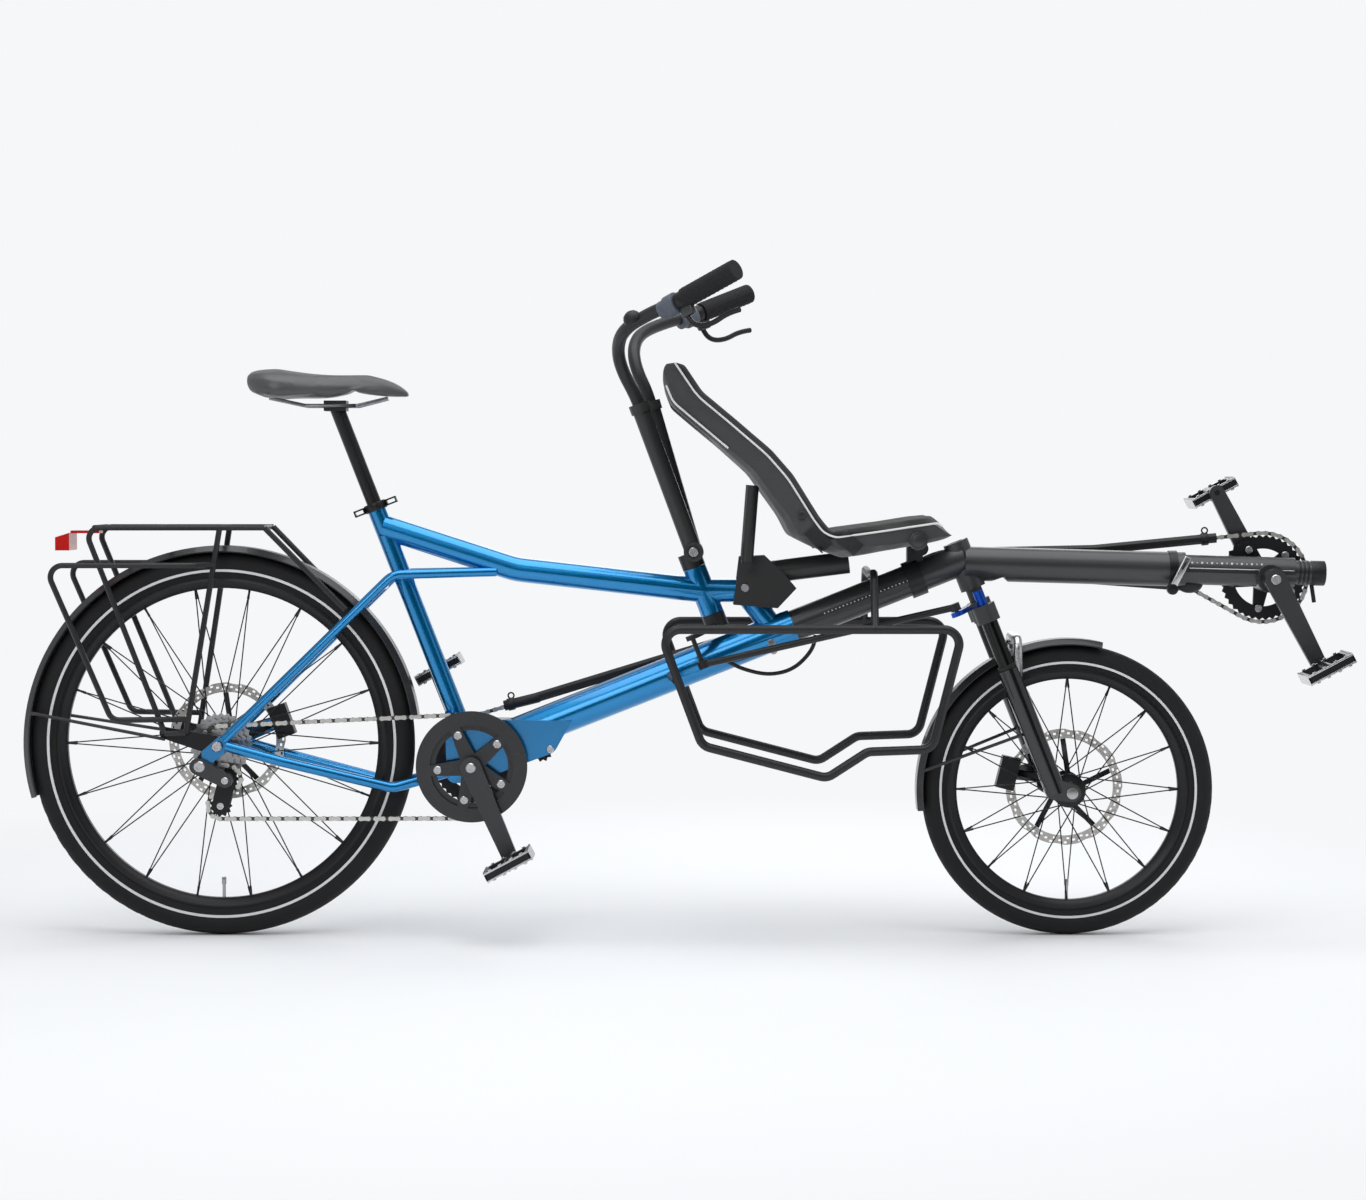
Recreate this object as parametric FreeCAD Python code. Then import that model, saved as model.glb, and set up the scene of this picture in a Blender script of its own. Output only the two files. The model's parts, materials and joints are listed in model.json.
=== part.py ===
import FreeCAD, Part
import math
import os
from FreeCAD import Vector

# A semi-recumbent tandem bicycle. All lengths are in millimetres and all angles in degrees.
# The working frame has +X forward, +Y to the rider's left and +Z up, with the rear axle at X = 0
# and the ground at Z = 0. The finished solids are moved so that the origin is the middle of the
# captain's saddle top, where a rider holds the bicycle upright.

# Wheels and the frame's main lines
FRONT_AXLE_X = 1450.0
REAR_WHEEL_FRONT_X = 329.5
REAR_BEAD_DIAMETER = 559.0
REAR_TYRE_SECTION = 50.0
FRONT_BEAD_DIAMETER = 406.0
FRONT_TYRE_SECTION = 47.0
FRAME_PITCH = 21.5
AXLE_RAKE = 24.0
RUNNING_FIT = 0.05
SEAT_GAP = 0.3
OVERRUN = 1.0

# Tyres and rims, as shares of the tyre section
TYRE_BORE_HALF_SHARE = 0.28
TYRE_SHOULDER_HEIGHT_SHARE = 0.45
TYRE_CROWN_HALF_SHARE = 0.24
TYRE_LAND = 2.0
TYRE_SIDES = 48
RIM_FLANGE = 5.0
RIM_HEIGHT = 18.0
RIM_INNER_HALF_SHARE = 0.16

# Hubs and spokes
REAR_HUB_WIDTH = 135.0
FRONT_HUB_WIDTH = 100.0
AXLE_RADIUS = 6.0
HUB_BARREL_RADIUS = 17.0
HUB_FLANGE_RADIUS = 29.0
HUB_FLANGE_THICKNESS = 4.0
HUB_END_GAP = 0.5
REAR_FLANGE_RIGHT = 20.0
REAR_FLANGE_LEFT = 34.0
FRONT_FLANGE_OFFSET = 30.0
SPOKE_WIDTH = 2.2
SPOKE_HEAD_OFFSET = 1.4
SPOKE_PHASE_SHARE = 0.25
SPOKE_PAIRS_REAR = 9
SPOKE_PAIRS_FRONT = 8
SPOKE_CROSS_ANGLE = 38.0

# Brake rotors
ROTOR_RADIUS = 101.5
ROTOR_BAND = 17.0
ROTOR_THICKNESS = 2.0
ROTOR_WAVES = 12
ROTOR_WAVE_DEPTH = 3.0
ROTOR_ARM_WIDTH = 9.0
ROTOR_HUB_RADIUS = 24.0
REAR_ROTOR_OFFSET = 50.0
FRONT_ROTOR_OFFSET = 40.0

# Cassette
SPROCKET_SPACING = 7.0
SPROCKET_STEP_TEETH = 4
SPROCKET_THICKNESS = 2.0
SPROCKETS_INSIDE = 3
CASSETTE_BODY_RADIUS = 20.0

# Chains
CHAIN_PITCH = 12.7
CHAIN_PLATE_HEIGHT = 8.4
CHAIN_PLATE_THICKNESS = 1.6
CHAIN_INNER_GAP = 3.6
CHAIN_PIN_STEP = 2
CHAIN_PIN_WIDTH = 3.6
DRIVE_CHAIN_OFFSET = 48.0
TIMING_CHAIN_OFFSET = 48.0
DRIVE_RING_TEETH = 44
DRIVE_SPROCKET_TEETH = 16
PULLEY_TEETH = 11
TIMING_RING_TEETH = 38
TOOTH_CLEARANCE = 2.6
TOOTH_DEPTH = 4.4
RING_THICKNESS = 2.8

# The timing chain's tubes and its idler, on the left side of the frame
CHAIN_TUBE_RADIUS = 9.0
CHAIN_TUBE_BORE = 6.9
CHAIN_TUBE_MOUTH = 12.0
CHAIN_TUBE_BEND = 140.0
CHAIN_REACH = 3.0
CHAIN_CLIP_X = 1150.0
CHAIN_CLIP_RADIUS = 4.0
UPPER_TAIL_X = 522.0
UPPER_TAIL_Z = 400.0
UPPER_LOW_X = 1000.0
UPPER_LOW_Z = 546.0
UPPER_HIGH_X = 1240.0
UPPER_HIGH_Z = 655.0
UPPER_FRONT_X = 1500.0
UPPER_FRONT_Z = 660.5
UPPER_MOUTH_X = 1712.0
UPPER_MOUTH_Z = 681.0
LOWER_TAIL_X = 600.0
LOWER_TAIL_Z = 358.0
LOWER_BEND_X = 1000.0
LOWER_BEND_Z = 520.0
LOWER_HIGH_X = 1245.0
LOWER_HIGH_Z = 628.0
LOWER_MOUTH_X = 1665.0
LOWER_MOUTH_Z = 597.0
IDLER_X = 545.0
IDLER_Z = 312.0
IDLER_TEETH = 11
IDLER_AXLE_RADIUS = 5.0

# Rear triangle
DROPOUT_THICKNESS = 6.0
DROPOUT_RADIUS = 17.0
STAY_SETBACK = 14.0
CHAINSTAY_RADIUS = 9.0
CHAINSTAY_KNEE_REACH = 112.0
CHAINSTAY_KNEE_Y = 66.5
CHAINSTAY_KNEE_DROP = 27.5
CHAINSTAY_BEND_X = 295.0
CHAINSTAY_BEND_Z = 256.0
CHAINSTAY_BEND_Y = 42.0
CHAINSTAY_END_X = 392.0
CHAINSTAY_END_Z = 282.0
CHAINSTAY_END_Y = 22.0
SEATSTAY_RADIUS = 8.0
SEATSTAY_ANGLE = 44.46
SEATSTAY_BEND_ROOM = 85.2
SEATSTAY_BEND_Y = 46.0
SEATSTAY_END_X = 470.0
SEATSTAY_END_Z = 624.0
SEATSTAY_END_Y = 14.0
STAY_BEND_RADIUS = 35.0
STAY_BRIDGE_ROOM = 56.2
BRIDGE_RADIUS = 7.0

# Seat tube, top tube, main tube
CRANK_X = 430.0
CRANK_Z = 293.0
SEAT_TUBE_TOP_X = 262.0
SEAT_TUBE_TOP_Z = 738.0
SEAT_TUBE_BOTTOM_X = 399.0
SEAT_TUBE_BOTTOM_Z = 385.0
SEAT_TUBE_RADIUS = 16.0
TOP_TUBE_RADIUS = 21.0
TOP_TUBE_REAR_X = 276.0
TOP_TUBE_REAR_Z = 701.0
TOP_TUBE_BEND_X = 503.0
TOP_TUBE_BEND_Z = 628.0
TOP_TUBE_BEND_RADIUS = 120.0
MAIN_TUBE_RADIUS = 30.0
MAIN_TUBE_X = 750.0
MAIN_TUBE_Z = 440.5
MAIN_TUBE_START_X = 468.0
MAIN_TUBE_END_X = 980.0
NOSE_TUBE_RADIUS = 20.0
NOSE_TUBE_BEND = 30.00
NOSE_TUBE_REACH = 70.0
NOSE_TUBE_FOOT_X = 950.0
HOUSING_HALF_WIDTH = 30.0
HOUSING_BACK = 44.0
HOUSING_FRONT = 140.0
HOUSING_DROP = 30.0
HOUSING_ROUND_SHARES = [0.5, 1.0, 0.8, 0.0, 0.5, 0.0]
HOUSING_FRONT_DROP = 54.0
HOUSING_REAR_RISE = 42.0
BB_SHELL_RADIUS = 24.0
BB_HALF_WIDTH = 34.0
BB_AXLE_RADIUS = 12.0

# Rear head tube and front head tube
HEAD_X = 825.0
HEAD_Z = 591.5
HEAD_HALF_LENGTH = 42.0
HEAD_RADIUS = 20.0
STEERER_RADIUS = 12.0
FRONT_HEAD_LOW = 381.0
FRONT_HEAD_HIGH = 466.0
FRONT_HEAD_RADIUS = 22.0
FRONT_STEERER_RADIUS = 14.0

# Front frame and boom
FRONT_TUBE_RADIUS = 27.0
BOOM_HEAD_Z = 638.0
BOOM_CLAMP_X = 1650.0
BOOM_CLAMP_Z = 627.5
BOOM_RADIUS = 29.5
BOOM_TUBE_RADIUS = 25.5
BOOM_TUBE_END_X = 1838.0
BOOM_CAP_RADIUS = 20.5
BOOM_CAP_END_X = 1890.0
BOOM_SLOT_WIDTH = 7.0
BOOM_SLOT_DEPTH = 3.0
CLAMP_BAND_RADIUS = 32.5
CLAMP_BAND_WIDTH = 14.0
CLAMP_LEVER_LENGTH = 46.0
CLAMP_LEVER_RADIUS = 5.0
FRONT_CRANK_X = 1793.0
FRONT_CRANK_DROP = 11.02

# Cranks and pedals
REAR_CRANK_LENGTH = 170.0
REAR_CRANK_ANGLE = -66.5
FRONT_CRANK_LENGTH = 165.0
FRONT_CRANK_ANGLE = -62.5
CRANK_EYE_RADIUS = 18.0
CRANK_TOE_RADIUS = 13.0
CRANK_THICKNESS = 13.0
CRANK_OFFSET = 72.0
SPIDER_ARMS = 5
ARM_STEP = 360.0 / SPIDER_ARMS
ROTOR_ARM_SWEEP = 20.0
SPIDER_TIP_SHARE = 0.55
SPIDER_HOLD_SHARE = 0.6
SPIDER_WIDTH = 15.0
SPIDER_THICKNESS = 5.0
RING_BAND = 20.0
GUARD_RADIUS = 95.0
GUARD_BAND = 24.0
GUARD_THICKNESS = 3.0
BOSS_GAP = 2.0
PEDAL_LENGTH = 84.0
PEDAL_WIDTH = 92.0
PEDAL_HEIGHT = 16.0
PEDAL_BAR = 7.0
PEDAL_BARREL_RADIUS = 9.0
PEDAL_AXLE_RADIUS = 5.0
PEDAL_GAP = 8.0
PEDAL_PITCH = 28.0

# Derailleur
UPPER_PULLEY_REACH = 14.0
UPPER_PULLEY_DROP = 57.5
LOWER_PULLEY_REACH = 2.0
LOWER_PULLEY_DROP = 103.5
PULLEY_THICKNESS = 2.8
PULLEY_BORE_RADIUS = 4.0
CAGE_THICKNESS = 2.5
CAGE_RADIUS = 15.0
CAGE_BOSS_RADIUS = 12.0
CAGE_GAP = 5.0
DERAILLEUR_BODY_BACK = 32.0
DERAILLEUR_BODY_DROP = 33.5
DERAILLEUR_BODY_RADIUS = 14.0
DERAILLEUR_LINK = 12.0

# Handlebar
RISER_TILT = 20.4
RISER_SPREAD = 52.0
RISER_RADIUS = 15.0
RISER_LENGTH = 268.0
RISER_COLLAR_RADIUS = 18.0
RISER_COLLAR_LENGTH = 16.0
FAR_RISER_TURN = 4.0
PIVOT_FORWARD = 9.0
PIVOT_UP = 69.0
PIVOT_BAR_RADIUS = 11.0
KNUCKLE_LENGTH = 34.0
HEAD_GAP = 0.5
PIVOT_RADIUS = 17.0
BAR_RADIUS = 11.0
BAR_BEND_RADIUS = 40.0
GRIP_RADIUS = 17.0
GRIP_LENGTH = 112.0
BAR_LOW_X = 688.0
BAR_LOW_Z = 962.0
BAR_LOW_Y = 56.0
BAR_HIGH_X = 690.0
BAR_HIGH_Z = 1026.0
BAR_HIGH_Y = 150.0
BAR_END_X = 876.0
BAR_END_Z = 1122.0
BAR_END_Y = 290.0
LEVER_RADIUS = 5.0
LEVER_SETBACK = 4.00
LEVER_LENGTH = 100.0
LEVER_DROP = 42.0
LEVER_CLAMP_RADIUS = 16.0
LEVER_CLAMP_WIDTH = 14.0

# The control cable that hangs in a loop under the main tube, as the points of its route
CABLE_RADIUS = 3.5
CABLE_ROUTE = [(866.0, -31.0, 472.0), (880.0, -27.5, 463.5), (898.0, -22.0, 456.5), (920.0, -17.0, 450.5),
               (941.0, -13.0, 448.4), (966.0, -9.0, 452.5), (986.0, -6.0, 462.6), (1002.0, -3.0, 478.0),
               (1012.0, -1.0, 492.0), (1016.5, 0.0, 505.0), (1017.5, 0.0, 515.2)]

# Steering linkage
ARM_BACK = 46.0
ARM_SIDE = 78.0
ARM_THICKNESS = 8.0
ARM_RADIUS = 11.0
REAR_ROD_DROP = 114.0
FRONT_ROD_HEIGHT = 367.0
REAR_ARM_DROP = 60.0
ROD_RADIUS = 6.0
ROD_EYE_RADIUS = 9.0
ROD_EYE_HEIGHT = 13.0
ROD_EYE_CLEARANCE = 1.5
STUD_RADIUS = 4.0

# Fork
CROWN_LOW = 322.0
CROWN_HIGH = 352.0
CROWN_RADIUS = 20.0
LEG_SPREAD = 64.0
STANCHION_RADIUS = 14.0
LEG_RADIUS = 18.0
MUDGUARD_STAY_HEIGHT = 122.4
LEG_TOP = 235.0
LEG_BOTTOM = 8.0
ARCH_RADIUS = 8.0
ARCH_FOOT = 12.0
ARCH_REACH = 34.0
ARCH_RISE = 42.0
FORK_DROPOUT_RADIUS = 15.0
ADJUSTER_RADIUS = 9.0
ADJUSTER_HEIGHT = 26.0

# Mudguards
MUDGUARD_GAP = 8.0
MUDGUARD_THICKNESS = 2.0
MUDGUARD_HALF_WIDTH = 30.0
MUDGUARD_SIDE = 9.0
FRONT_MUDGUARD_START = 77.0
FRONT_MUDGUARD_END = 188.0
REAR_MUDGUARD_START = 8.0
REAR_MUDGUARD_END = 196.0
STAY_ROD_RADIUS = 3.0
MUDGUARD_STAY_SETBACK = 2.40
STAY_ROD_LEAN = 2.4
FRONT_STAY_ANGLE = 172.0
REAR_STAY_ANGLE = 170.6

# Brake calipers
CALIPER_LENGTH = 56.0
CALIPER_HEIGHT = 32.0
CALIPER_INNER_WIDTH = 12.0
CALIPER_SLOT = 12.0
REAR_CALIPER_ANGLE = 20.0
FRONT_CALIPER_ANGLE = 166.0
CALIPER_TAB_THICKNESS = 6.0
CALIPER_TAB_RADIUS = 11.0

# Rear rack, measured from the rear axle and from the top of the tyre
RACK_ROOM = 41.0
RACK_FRONT_REACH = 80.0
RACK_REAR_REACH = -226.0
RACK_HALF_WIDTH = 60.0
RACK_ROD_RADIUS = 5.0
RACK_FOOT_REACH = -88.0
RACK_FOOT_LIFT = 22.5
RACK_STAY_TOP_REACH = 4.0
RACK_STAY_FOOT_REACH = -52.0
RACK_EYE_RADIUS = 10.0
RACK_BEND = 18.0
RACK_STRUT_REACH = 216.0
RACK_STRUT_LIFT = 19.0
SIDE_LOOP_Y = 100.0
SIDE_LOOP_DROP = 63.0
SIDE_LOOP_FRONT_REACH = -36.0
SIDE_LOOP_REAR_REACH = -286.0
SIDE_LOOP_LOW_REACH = -174.0
SIDE_LOOP_LOW_LIFT = 46.5
SIDE_LOOP_BEND = 20.0
LAMP_REACH = -268.0
LAMP_DROP = 24.0
LAMP_DEPTH = 24.0
LAMP_HEIGHT = 30.0
LAMP_HALF_WIDTH = 36.0

# Lowrider loops
LOWRIDER_Y = 165.0
LOWRIDER_RADIUS = 8.0
LOWRIDER_TOP_Z = 532.0
LOWRIDER_BACK_X = 750.0
LOWRIDER_BACK_LOW_X = 822.0
LOWRIDER_BACK_LOW_Z = 338.0
LOWRIDER_DIP_X = 1030.0
LOWRIDER_DIP_Z = 284.0
LOWRIDER_DIP_END_X = 1098.0
LOWRIDER_DIP_END_Z = 328.0
LOWRIDER_FRONT_LOW_X = 1206.0
LOWRIDER_FRONT_LOW_Z = 332.0
LOWRIDER_FRONT_X = 1257.0
LOWRIDER_BEND = 25.0
LOWRIDER_REAR_BAR_X = 766.0
LOWRIDER_LEG_X = 779.0
LOWRIDER_FRONT_BAR_X = 1110.0
LOWRIDER_BAR_RISE = 36.0
LOWRIDER_BAR_OUT = 130.0
LOWRIDER_BAR_RADIUS = 7.0

# Captain's saddle and its post
SADDLE_X = 175.0
SADDLE_TOP_Z = 958.0
SADDLE_TAIL_X = 46.0
SADDLE_NOSE_X = 326.0
SADDLE_HALF_WIDTH = 82.0
SADDLE_THICKNESS = 34.0
SADDLE_SECTION_SHARES = [(0.0, 0.55, 0.1, 0.55), (0.08, 0.88, 0.34, 0.0), (0.25, 1.0, 0.2, 0.12),
                         (0.42, 0.74, 0.02, 0.08), (0.6, 0.44, -0.03, 0.0), (0.78, 0.3, -0.04, 0.0),
                         (0.925, 0.24, -0.3, 0.0), (1.0, 0.12, -0.72, 0.0)]
SADDLE_ROUND_SHARES = [(0.3, 1.0), (0.75, 0.88), (0.97, 0.6), (1.0, 0.3), (0.98, 0.0)]
SADDLE_LIP_SHARE = 0.82
POST_RADIUS = 12.7
POST_REACH = 182.0
POST_DEPTH = 90.0
POST_HOLD_SHARE = 0.8
SADDLE_RAIL_RADIUS = 3.5
RAIL_ROOM_WIDTH = 100.0
RAIL_SETBACK = 41.0
RAIL_TAIL_Y = 40.0
RAIL_NOSE_Y = 10.0
RAIL_BACK_REACH = 50.8
RAIL_FRONT_REACH = 38.1
POST_HEAD_LENGTH = 38.1
POST_HEAD_WIDTH = 43.2
POST_HEAD_HEIGHT = 17.8

# Stoker's seat
SEAT_HALF_WIDTH = 185.0
SEAT_FACE_OUTLINE = [(780.0, 986.0), (820.0, 927.0), (873.0, 883.0), (936.0, 829.0), (972.0, 788.0),
                     (1017.0, 716.0), (1036.0, 693.0), (1130.0, 706.0), (1215.0, 719.0), (1257.0, 690.0)]
SEAT_UNDER_OUTLINE = [(1200.0, 678.0), (1052.0, 652.0), (976.0, 680.0), (955.0, 722.0), (903.0, 794.0),
                      (853.0, 839.0), (770.0, 908.0), (746.0, 966.0), (755.0, 984.0)]
SEAT_BRACKET_OUTLINE = [(876.0, 568.0), (886.0, 650.0), (930.0, 652.0),
                        (962.0, 622.0), (984.0, 596.0), (952.0, 562.0)]
SEAT_RECESS_DEPTH = 26.0
SEAT_RECESS_HALF_WIDTH = 128.0
SEAT_RECESS_START = 5
SEAT_RECESS_SHARES = [0.0, 1.0, 0.9, 0.45]
SEAT_STRUT_Y = 60.0
SEAT_STRUT_RADIUS = 10.0
SEAT_STRUT_TOP_X = 909.0
SEAT_STRUT_TOP_Z = 772.0
SEAT_STRUT_FOOT_X = 899.0
SEAT_STRUT_FOOT_Z = 642.0
SEAT_BRACKET_THICKNESS = 6.0
SEAT_CARRIER_RADIUS = 19.0
SEAT_CARRIER_PIN_RADIUS = 15.2
SEAT_CARRIER_X = 930.0
SEAT_CARRIER_Z = 622.0
SEAT_CARRIER_END_X = 1074.0
SEAT_CARRIER_END_Z = 640.0
SEAT_PAN_THICKNESS = 5.0
SLIDE_CLAMP_X = 1187.0
SLIDE_CLAMP_LENGTH = 27.0
SLIDE_KNOB_X = 1196.0
SLIDE_KNOB_Z = 664.0
SLIDE_KNOB_RADIUS = 12.0
SLIDE_KNOB_REACH = 40.0


def vec(x, y, z):
    return Vector(x, y, z)


def sin(angle):
    return math.sin(math.radians(angle))


def cos(angle):
    return math.cos(math.radians(angle))


def tan(angle):
    return math.tan(math.radians(angle))


def unit(vector):
    return vector * (1.0 / vector.Length)


REAR_RADIUS = REAR_BEAD_DIAMETER / 2.0 + REAR_TYRE_SECTION
FRONT_RADIUS = FRONT_BEAD_DIAMETER / 2.0 + FRONT_TYRE_SECTION
REAR_AXLE = vec(REAR_WHEEL_FRONT_X - REAR_RADIUS, 0.0, REAR_RADIUS)
FRONT_AXLE = vec(FRONT_AXLE_X, 0.0, FRONT_RADIUS)
CRANK = vec(CRANK_X, 0.0, CRANK_Z)
ORIGIN = vec(SADDLE_X, 0.0, SADDLE_TOP_Z)

# Both steering axes lean back by the frame's pitch, so that the main tube is square to them.
STEER_UP = vec(-sin(FRAME_PITCH), 0.0, cos(FRAME_PITCH))
STEER_FORWARD = vec(cos(FRAME_PITCH), 0.0, sin(FRAME_PITCH))
SIDEWAYS = vec(0.0, 1.0, 0.0)
HEAD = vec(HEAD_X, 0.0, HEAD_Z)
FORK_FOOT = FRONT_AXLE - STEER_FORWARD * AXLE_RAKE


def head_point(forward, side, up):
    return HEAD + STEER_FORWARD * forward + SIDEWAYS * side + STEER_UP * up


def fork_point(forward, side, up):
    return FORK_FOOT + STEER_FORWARD * forward + SIDEWAYS * side + STEER_UP * up


def main_tube_point(x):
    return vec(x, 0.0, MAIN_TUBE_Z + (x - MAIN_TUBE_X) * tan(FRAME_PITCH))


def save(name, shape):
    moved = shape.copy()
    moved.translate(ORIGIN * -1.0)
    moved.exportStep("parts/%s.step" % name)


def fused(shapes):
    result = shapes[0]
    if len(shapes) > 1:
        result = shapes[0].fuse(shapes[1:])
    return result.removeSplitter()


def mirrored(shape):
    return shape.mirror(vec(0.0, 0.0, 0.0), SIDEWAYS)


def cylinder(start, end, radius):
    axis = end - start
    return Part.makeCylinder(radius, axis.Length, start, axis)


def bent_path(points, bend):
    edges = []
    last = points[0]
    for before, corner, after in zip(points, points[1:], points[2:]):
        entry = unit(before - corner)
        leave = unit(after - corner)
        half = entry.getAngle(leave) / 2.0
        reach = bend / math.tan(half)
        middle = unit(entry + leave)
        start = corner + entry * reach
        stop = corner + leave * reach
        centre = corner + middle * (bend / math.sin(half))
        crest = centre - middle * bend
        if (start - last).Length > SEAT_GAP:
            edges.append(Part.makeLine(last, start))
        edges.append(Part.Arc(start, crest, stop).toShape())
        last = stop
    edges.append(Part.makeLine(last, points[-1]))
    return Part.Wire(edges)


def section(centre, direction, radius, sides):
    if sides == 0:
        return Part.Wire([Part.makeCircle(radius, centre, direction)])
    across = direction.cross(vec(0.0, 0.0, 1.0))
    if across.Length < SEAT_GAP * SEAT_GAP:
        across = direction.cross(SIDEWAYS)
    across = unit(across)
    upward = unit(across.cross(direction))
    corners = []
    for index in range(sides + 1):
        turn = 360.0 * (index + 0.5) / sides
        corners.append(centre + across * (radius * cos(turn)) + upward * (radius * sin(turn)))
    return Part.makePolygon(corners)


def tube(points, radius, bend=0.0, sides=0):
    if len(points) == 2 and sides == 0:
        return cylinder(points[0], points[1], radius)
    path = Part.makePolygon(points) if len(points) == 2 else bent_path(points, bend)
    ring = section(points[0], unit(points[1] - points[0]), radius, sides)
    return path.makePipeShell([ring], True, sides == 0)


def plate(points, y_low, y_high):
    corners = [vec(x, y_low, z) for x, z in points]
    corners.append(corners[0])
    face = Part.Face(Part.makePolygon(corners))
    return face.extrude(vec(0.0, y_high - y_low, 0.0))


def rounded_plate(points, radii, y_low, y_high):
    count = len(points)
    edges = []
    ends = []
    for index in range(count):
        corner = vec(points[index][0], y_low, points[index][1])
        before = vec(points[index - 1][0], y_low, points[index - 1][1])
        after = vec(points[(index + 1) % count][0], y_low, points[(index + 1) % count][1])
        radius = radii[index]
        if radius == 0.0:
            ends.append((corner, None, corner))
            continue
        entry = unit(before - corner)
        leave = unit(after - corner)
        half = entry.getAngle(leave) / 2.0
        reach = radius / math.tan(half)
        middle = unit(entry + leave)
        crest = corner + middle * (radius / math.sin(half) - radius)
        ends.append((corner + entry * reach, crest, corner + leave * reach))
    for index in range(count):
        start, crest, stop = ends[index]
        if crest is not None:
            edges.append(Part.Arc(start, crest, stop).toShape())
        following = ends[(index + 1) % count][0]
        if (following - stop).Length > SEAT_GAP * SEAT_GAP:
            edges.append(Part.makeLine(stop, following))
    face = Part.Face(Part.Wire(edges))
    return face.extrude(vec(0.0, y_high - y_low, 0.0))


def link_plate(start, end, start_radius, end_radius, y_low, y_high):
    # A flat link around two round ends, given in the XZ plane.
    first = vec(start.x, y_low, start.z)
    second = vec(end.x, y_low, end.z)
    along = unit(second - first)
    length = (second - first).Length
    lean = math.asin((start_radius - end_radius) / length)
    across = along.cross(SIDEWAYS)
    upper = across * math.cos(lean) + along * math.sin(lean)
    lower = across * -math.cos(lean) + along * math.sin(lean)
    corners = [first + upper * start_radius, second + upper * end_radius,
               second + lower * end_radius, first + lower * start_radius]
    edges = [Part.makeLine(corners[0], corners[1]),
             Part.Arc(corners[1], second + along * end_radius, corners[2]).toShape(),
             Part.makeLine(corners[2], corners[3]),
             Part.Arc(corners[3], first - along * start_radius, corners[0]).toShape()]
    face = Part.Face(Part.Wire(edges))
    return face.extrude(vec(0.0, y_high - y_low, 0.0))


def turned(centre, profile):
    # A solid of revolution about a line along Y through the centre; the profile is (radius, y).
    corners = [vec(centre.x + radius, centre.y + y, centre.z) for radius, y in profile]
    corners.append(corners[0])
    face = Part.Face(Part.makePolygon(corners))
    return face.revolve(centre, SIDEWAYS, 360.0)


def disc(centre, radius, y_low, y_high):
    base = vec(centre.x, y_low, centre.z)
    return cylinder(base, vec(centre.x, y_high, centre.z), radius)


def ring_plate(centre, outer, inner, y_low, y_high):
    return disc(centre, outer, y_low, y_high).cut(disc(centre, inner, y_low - OVERRUN, y_high + OVERRUN))


def polar(centre, radius, angle):
    return vec(centre.x + radius * cos(angle), 0.0, centre.z + radius * sin(angle))


def pitch_radius(teeth):
    return CHAIN_PITCH / (2.0 * math.sin(math.pi / teeth))


def toothed_plate(centre, teeth, y_low, y_high):
    tip = pitch_radius(teeth) - TOOTH_CLEARANCE
    points = []
    for index in range(teeth):
        crest = polar(centre, tip, 360.0 * index / teeth)
        root = polar(centre, tip - TOOTH_DEPTH, 360.0 * (index + 0.5) / teeth)
        points.append((crest.x, crest.z))
        points.append((root.x, root.z))
    return plate(points, y_low, y_high)


# Wheels

def ring_stack(axle, profile):
    # A solid through flat-sided rings, given as (radius, y) from right to left.
    wires = []
    for radius, y in profile:
        corners = []
        for index in range(TYRE_SIDES + 1):
            corner = polar(axle, radius, 360.0 * index / TYRE_SIDES)
            corners.append(vec(corner.x, y, corner.z))
        wires.append(Part.makePolygon(corners))
    return Part.makeLoft(wires, True, True)


def tyre(axle, bead_diameter, section_size):
    bore = bead_diameter / 2.0 + RIM_FLANGE
    outer = bead_diameter / 2.0 + section_size
    shoulder = bore + (outer - bore) * TYRE_SHOULDER_HEIGHT_SHARE
    bore_half = section_size * TYRE_BORE_HALF_SHARE
    crown_half = section_size * TYRE_CROWN_HALF_SHARE
    half = section_size / 2.0
    mouth = shoulder - TYRE_LAND
    seat = bore / cos(180.0 / TYRE_SIDES)
    casing = ring_stack(axle, [(shoulder, -half), (outer, -crown_half),
                               (outer, crown_half), (shoulder, half)])
    room = ring_stack(axle, [(mouth, -half), (seat, -bore_half), (seat, bore_half), (mouth, half)])
    return casing.cut(room)


def rim(axle, bead_diameter, section_size):
    outer = bead_diameter / 2.0 + RIM_FLANGE
    inner = outer - RIM_HEIGHT
    outer_half = section_size * TYRE_BORE_HALF_SHARE
    inner_half = section_size * RIM_INNER_HALF_SHARE
    return turned(axle, [(inner, -inner_half), (outer, -outer_half),
                         (outer, outer_half), (inner, inner_half)])


def hub_and_spokes(axle, bead_diameter, hub_width, flange_right, flange_left, pairs):
    half = hub_width / 2.0 - HUB_END_GAP
    inner = bead_diameter / 2.0 + RIM_FLANGE - RIM_HEIGHT - SEAT_GAP * 2.0
    pieces = [turned(axle, [(AXLE_RADIUS + RUNNING_FIT, -half), (HUB_BARREL_RADIUS, -half),
                            (HUB_BARREL_RADIUS, half), (AXLE_RADIUS + RUNNING_FIT, half)])]
    for side, offset in ((-1.0, flange_right), (1.0, flange_left)):
        middle = side * offset
        pieces.append(ring_plate(axle, HUB_FLANGE_RADIUS, HUB_BARREL_RADIUS - OVERRUN,
                                 middle - HUB_FLANGE_THICKNESS / 2.0, middle + HUB_FLANGE_THICKNESS / 2.0))
        for pair in range(pairs):
            for lean in (-1.0, 1.0):
                step = 360.0 / pairs
                angle = step * (pair + SPOKE_PHASE_SHARE * side)
                start = polar(axle, HUB_FLANGE_RADIUS - SPOKE_WIDTH * 2.0, angle + lean * SPOKE_CROSS_ANGLE)
                start.y = middle + lean * SPOKE_HEAD_OFFSET
                end = polar(axle, inner, angle - lean * step / 4.0)
                pieces.append(tube([start, end], SPOKE_WIDTH / math.sqrt(2.0), sides=4))
    return fused(pieces)


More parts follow.
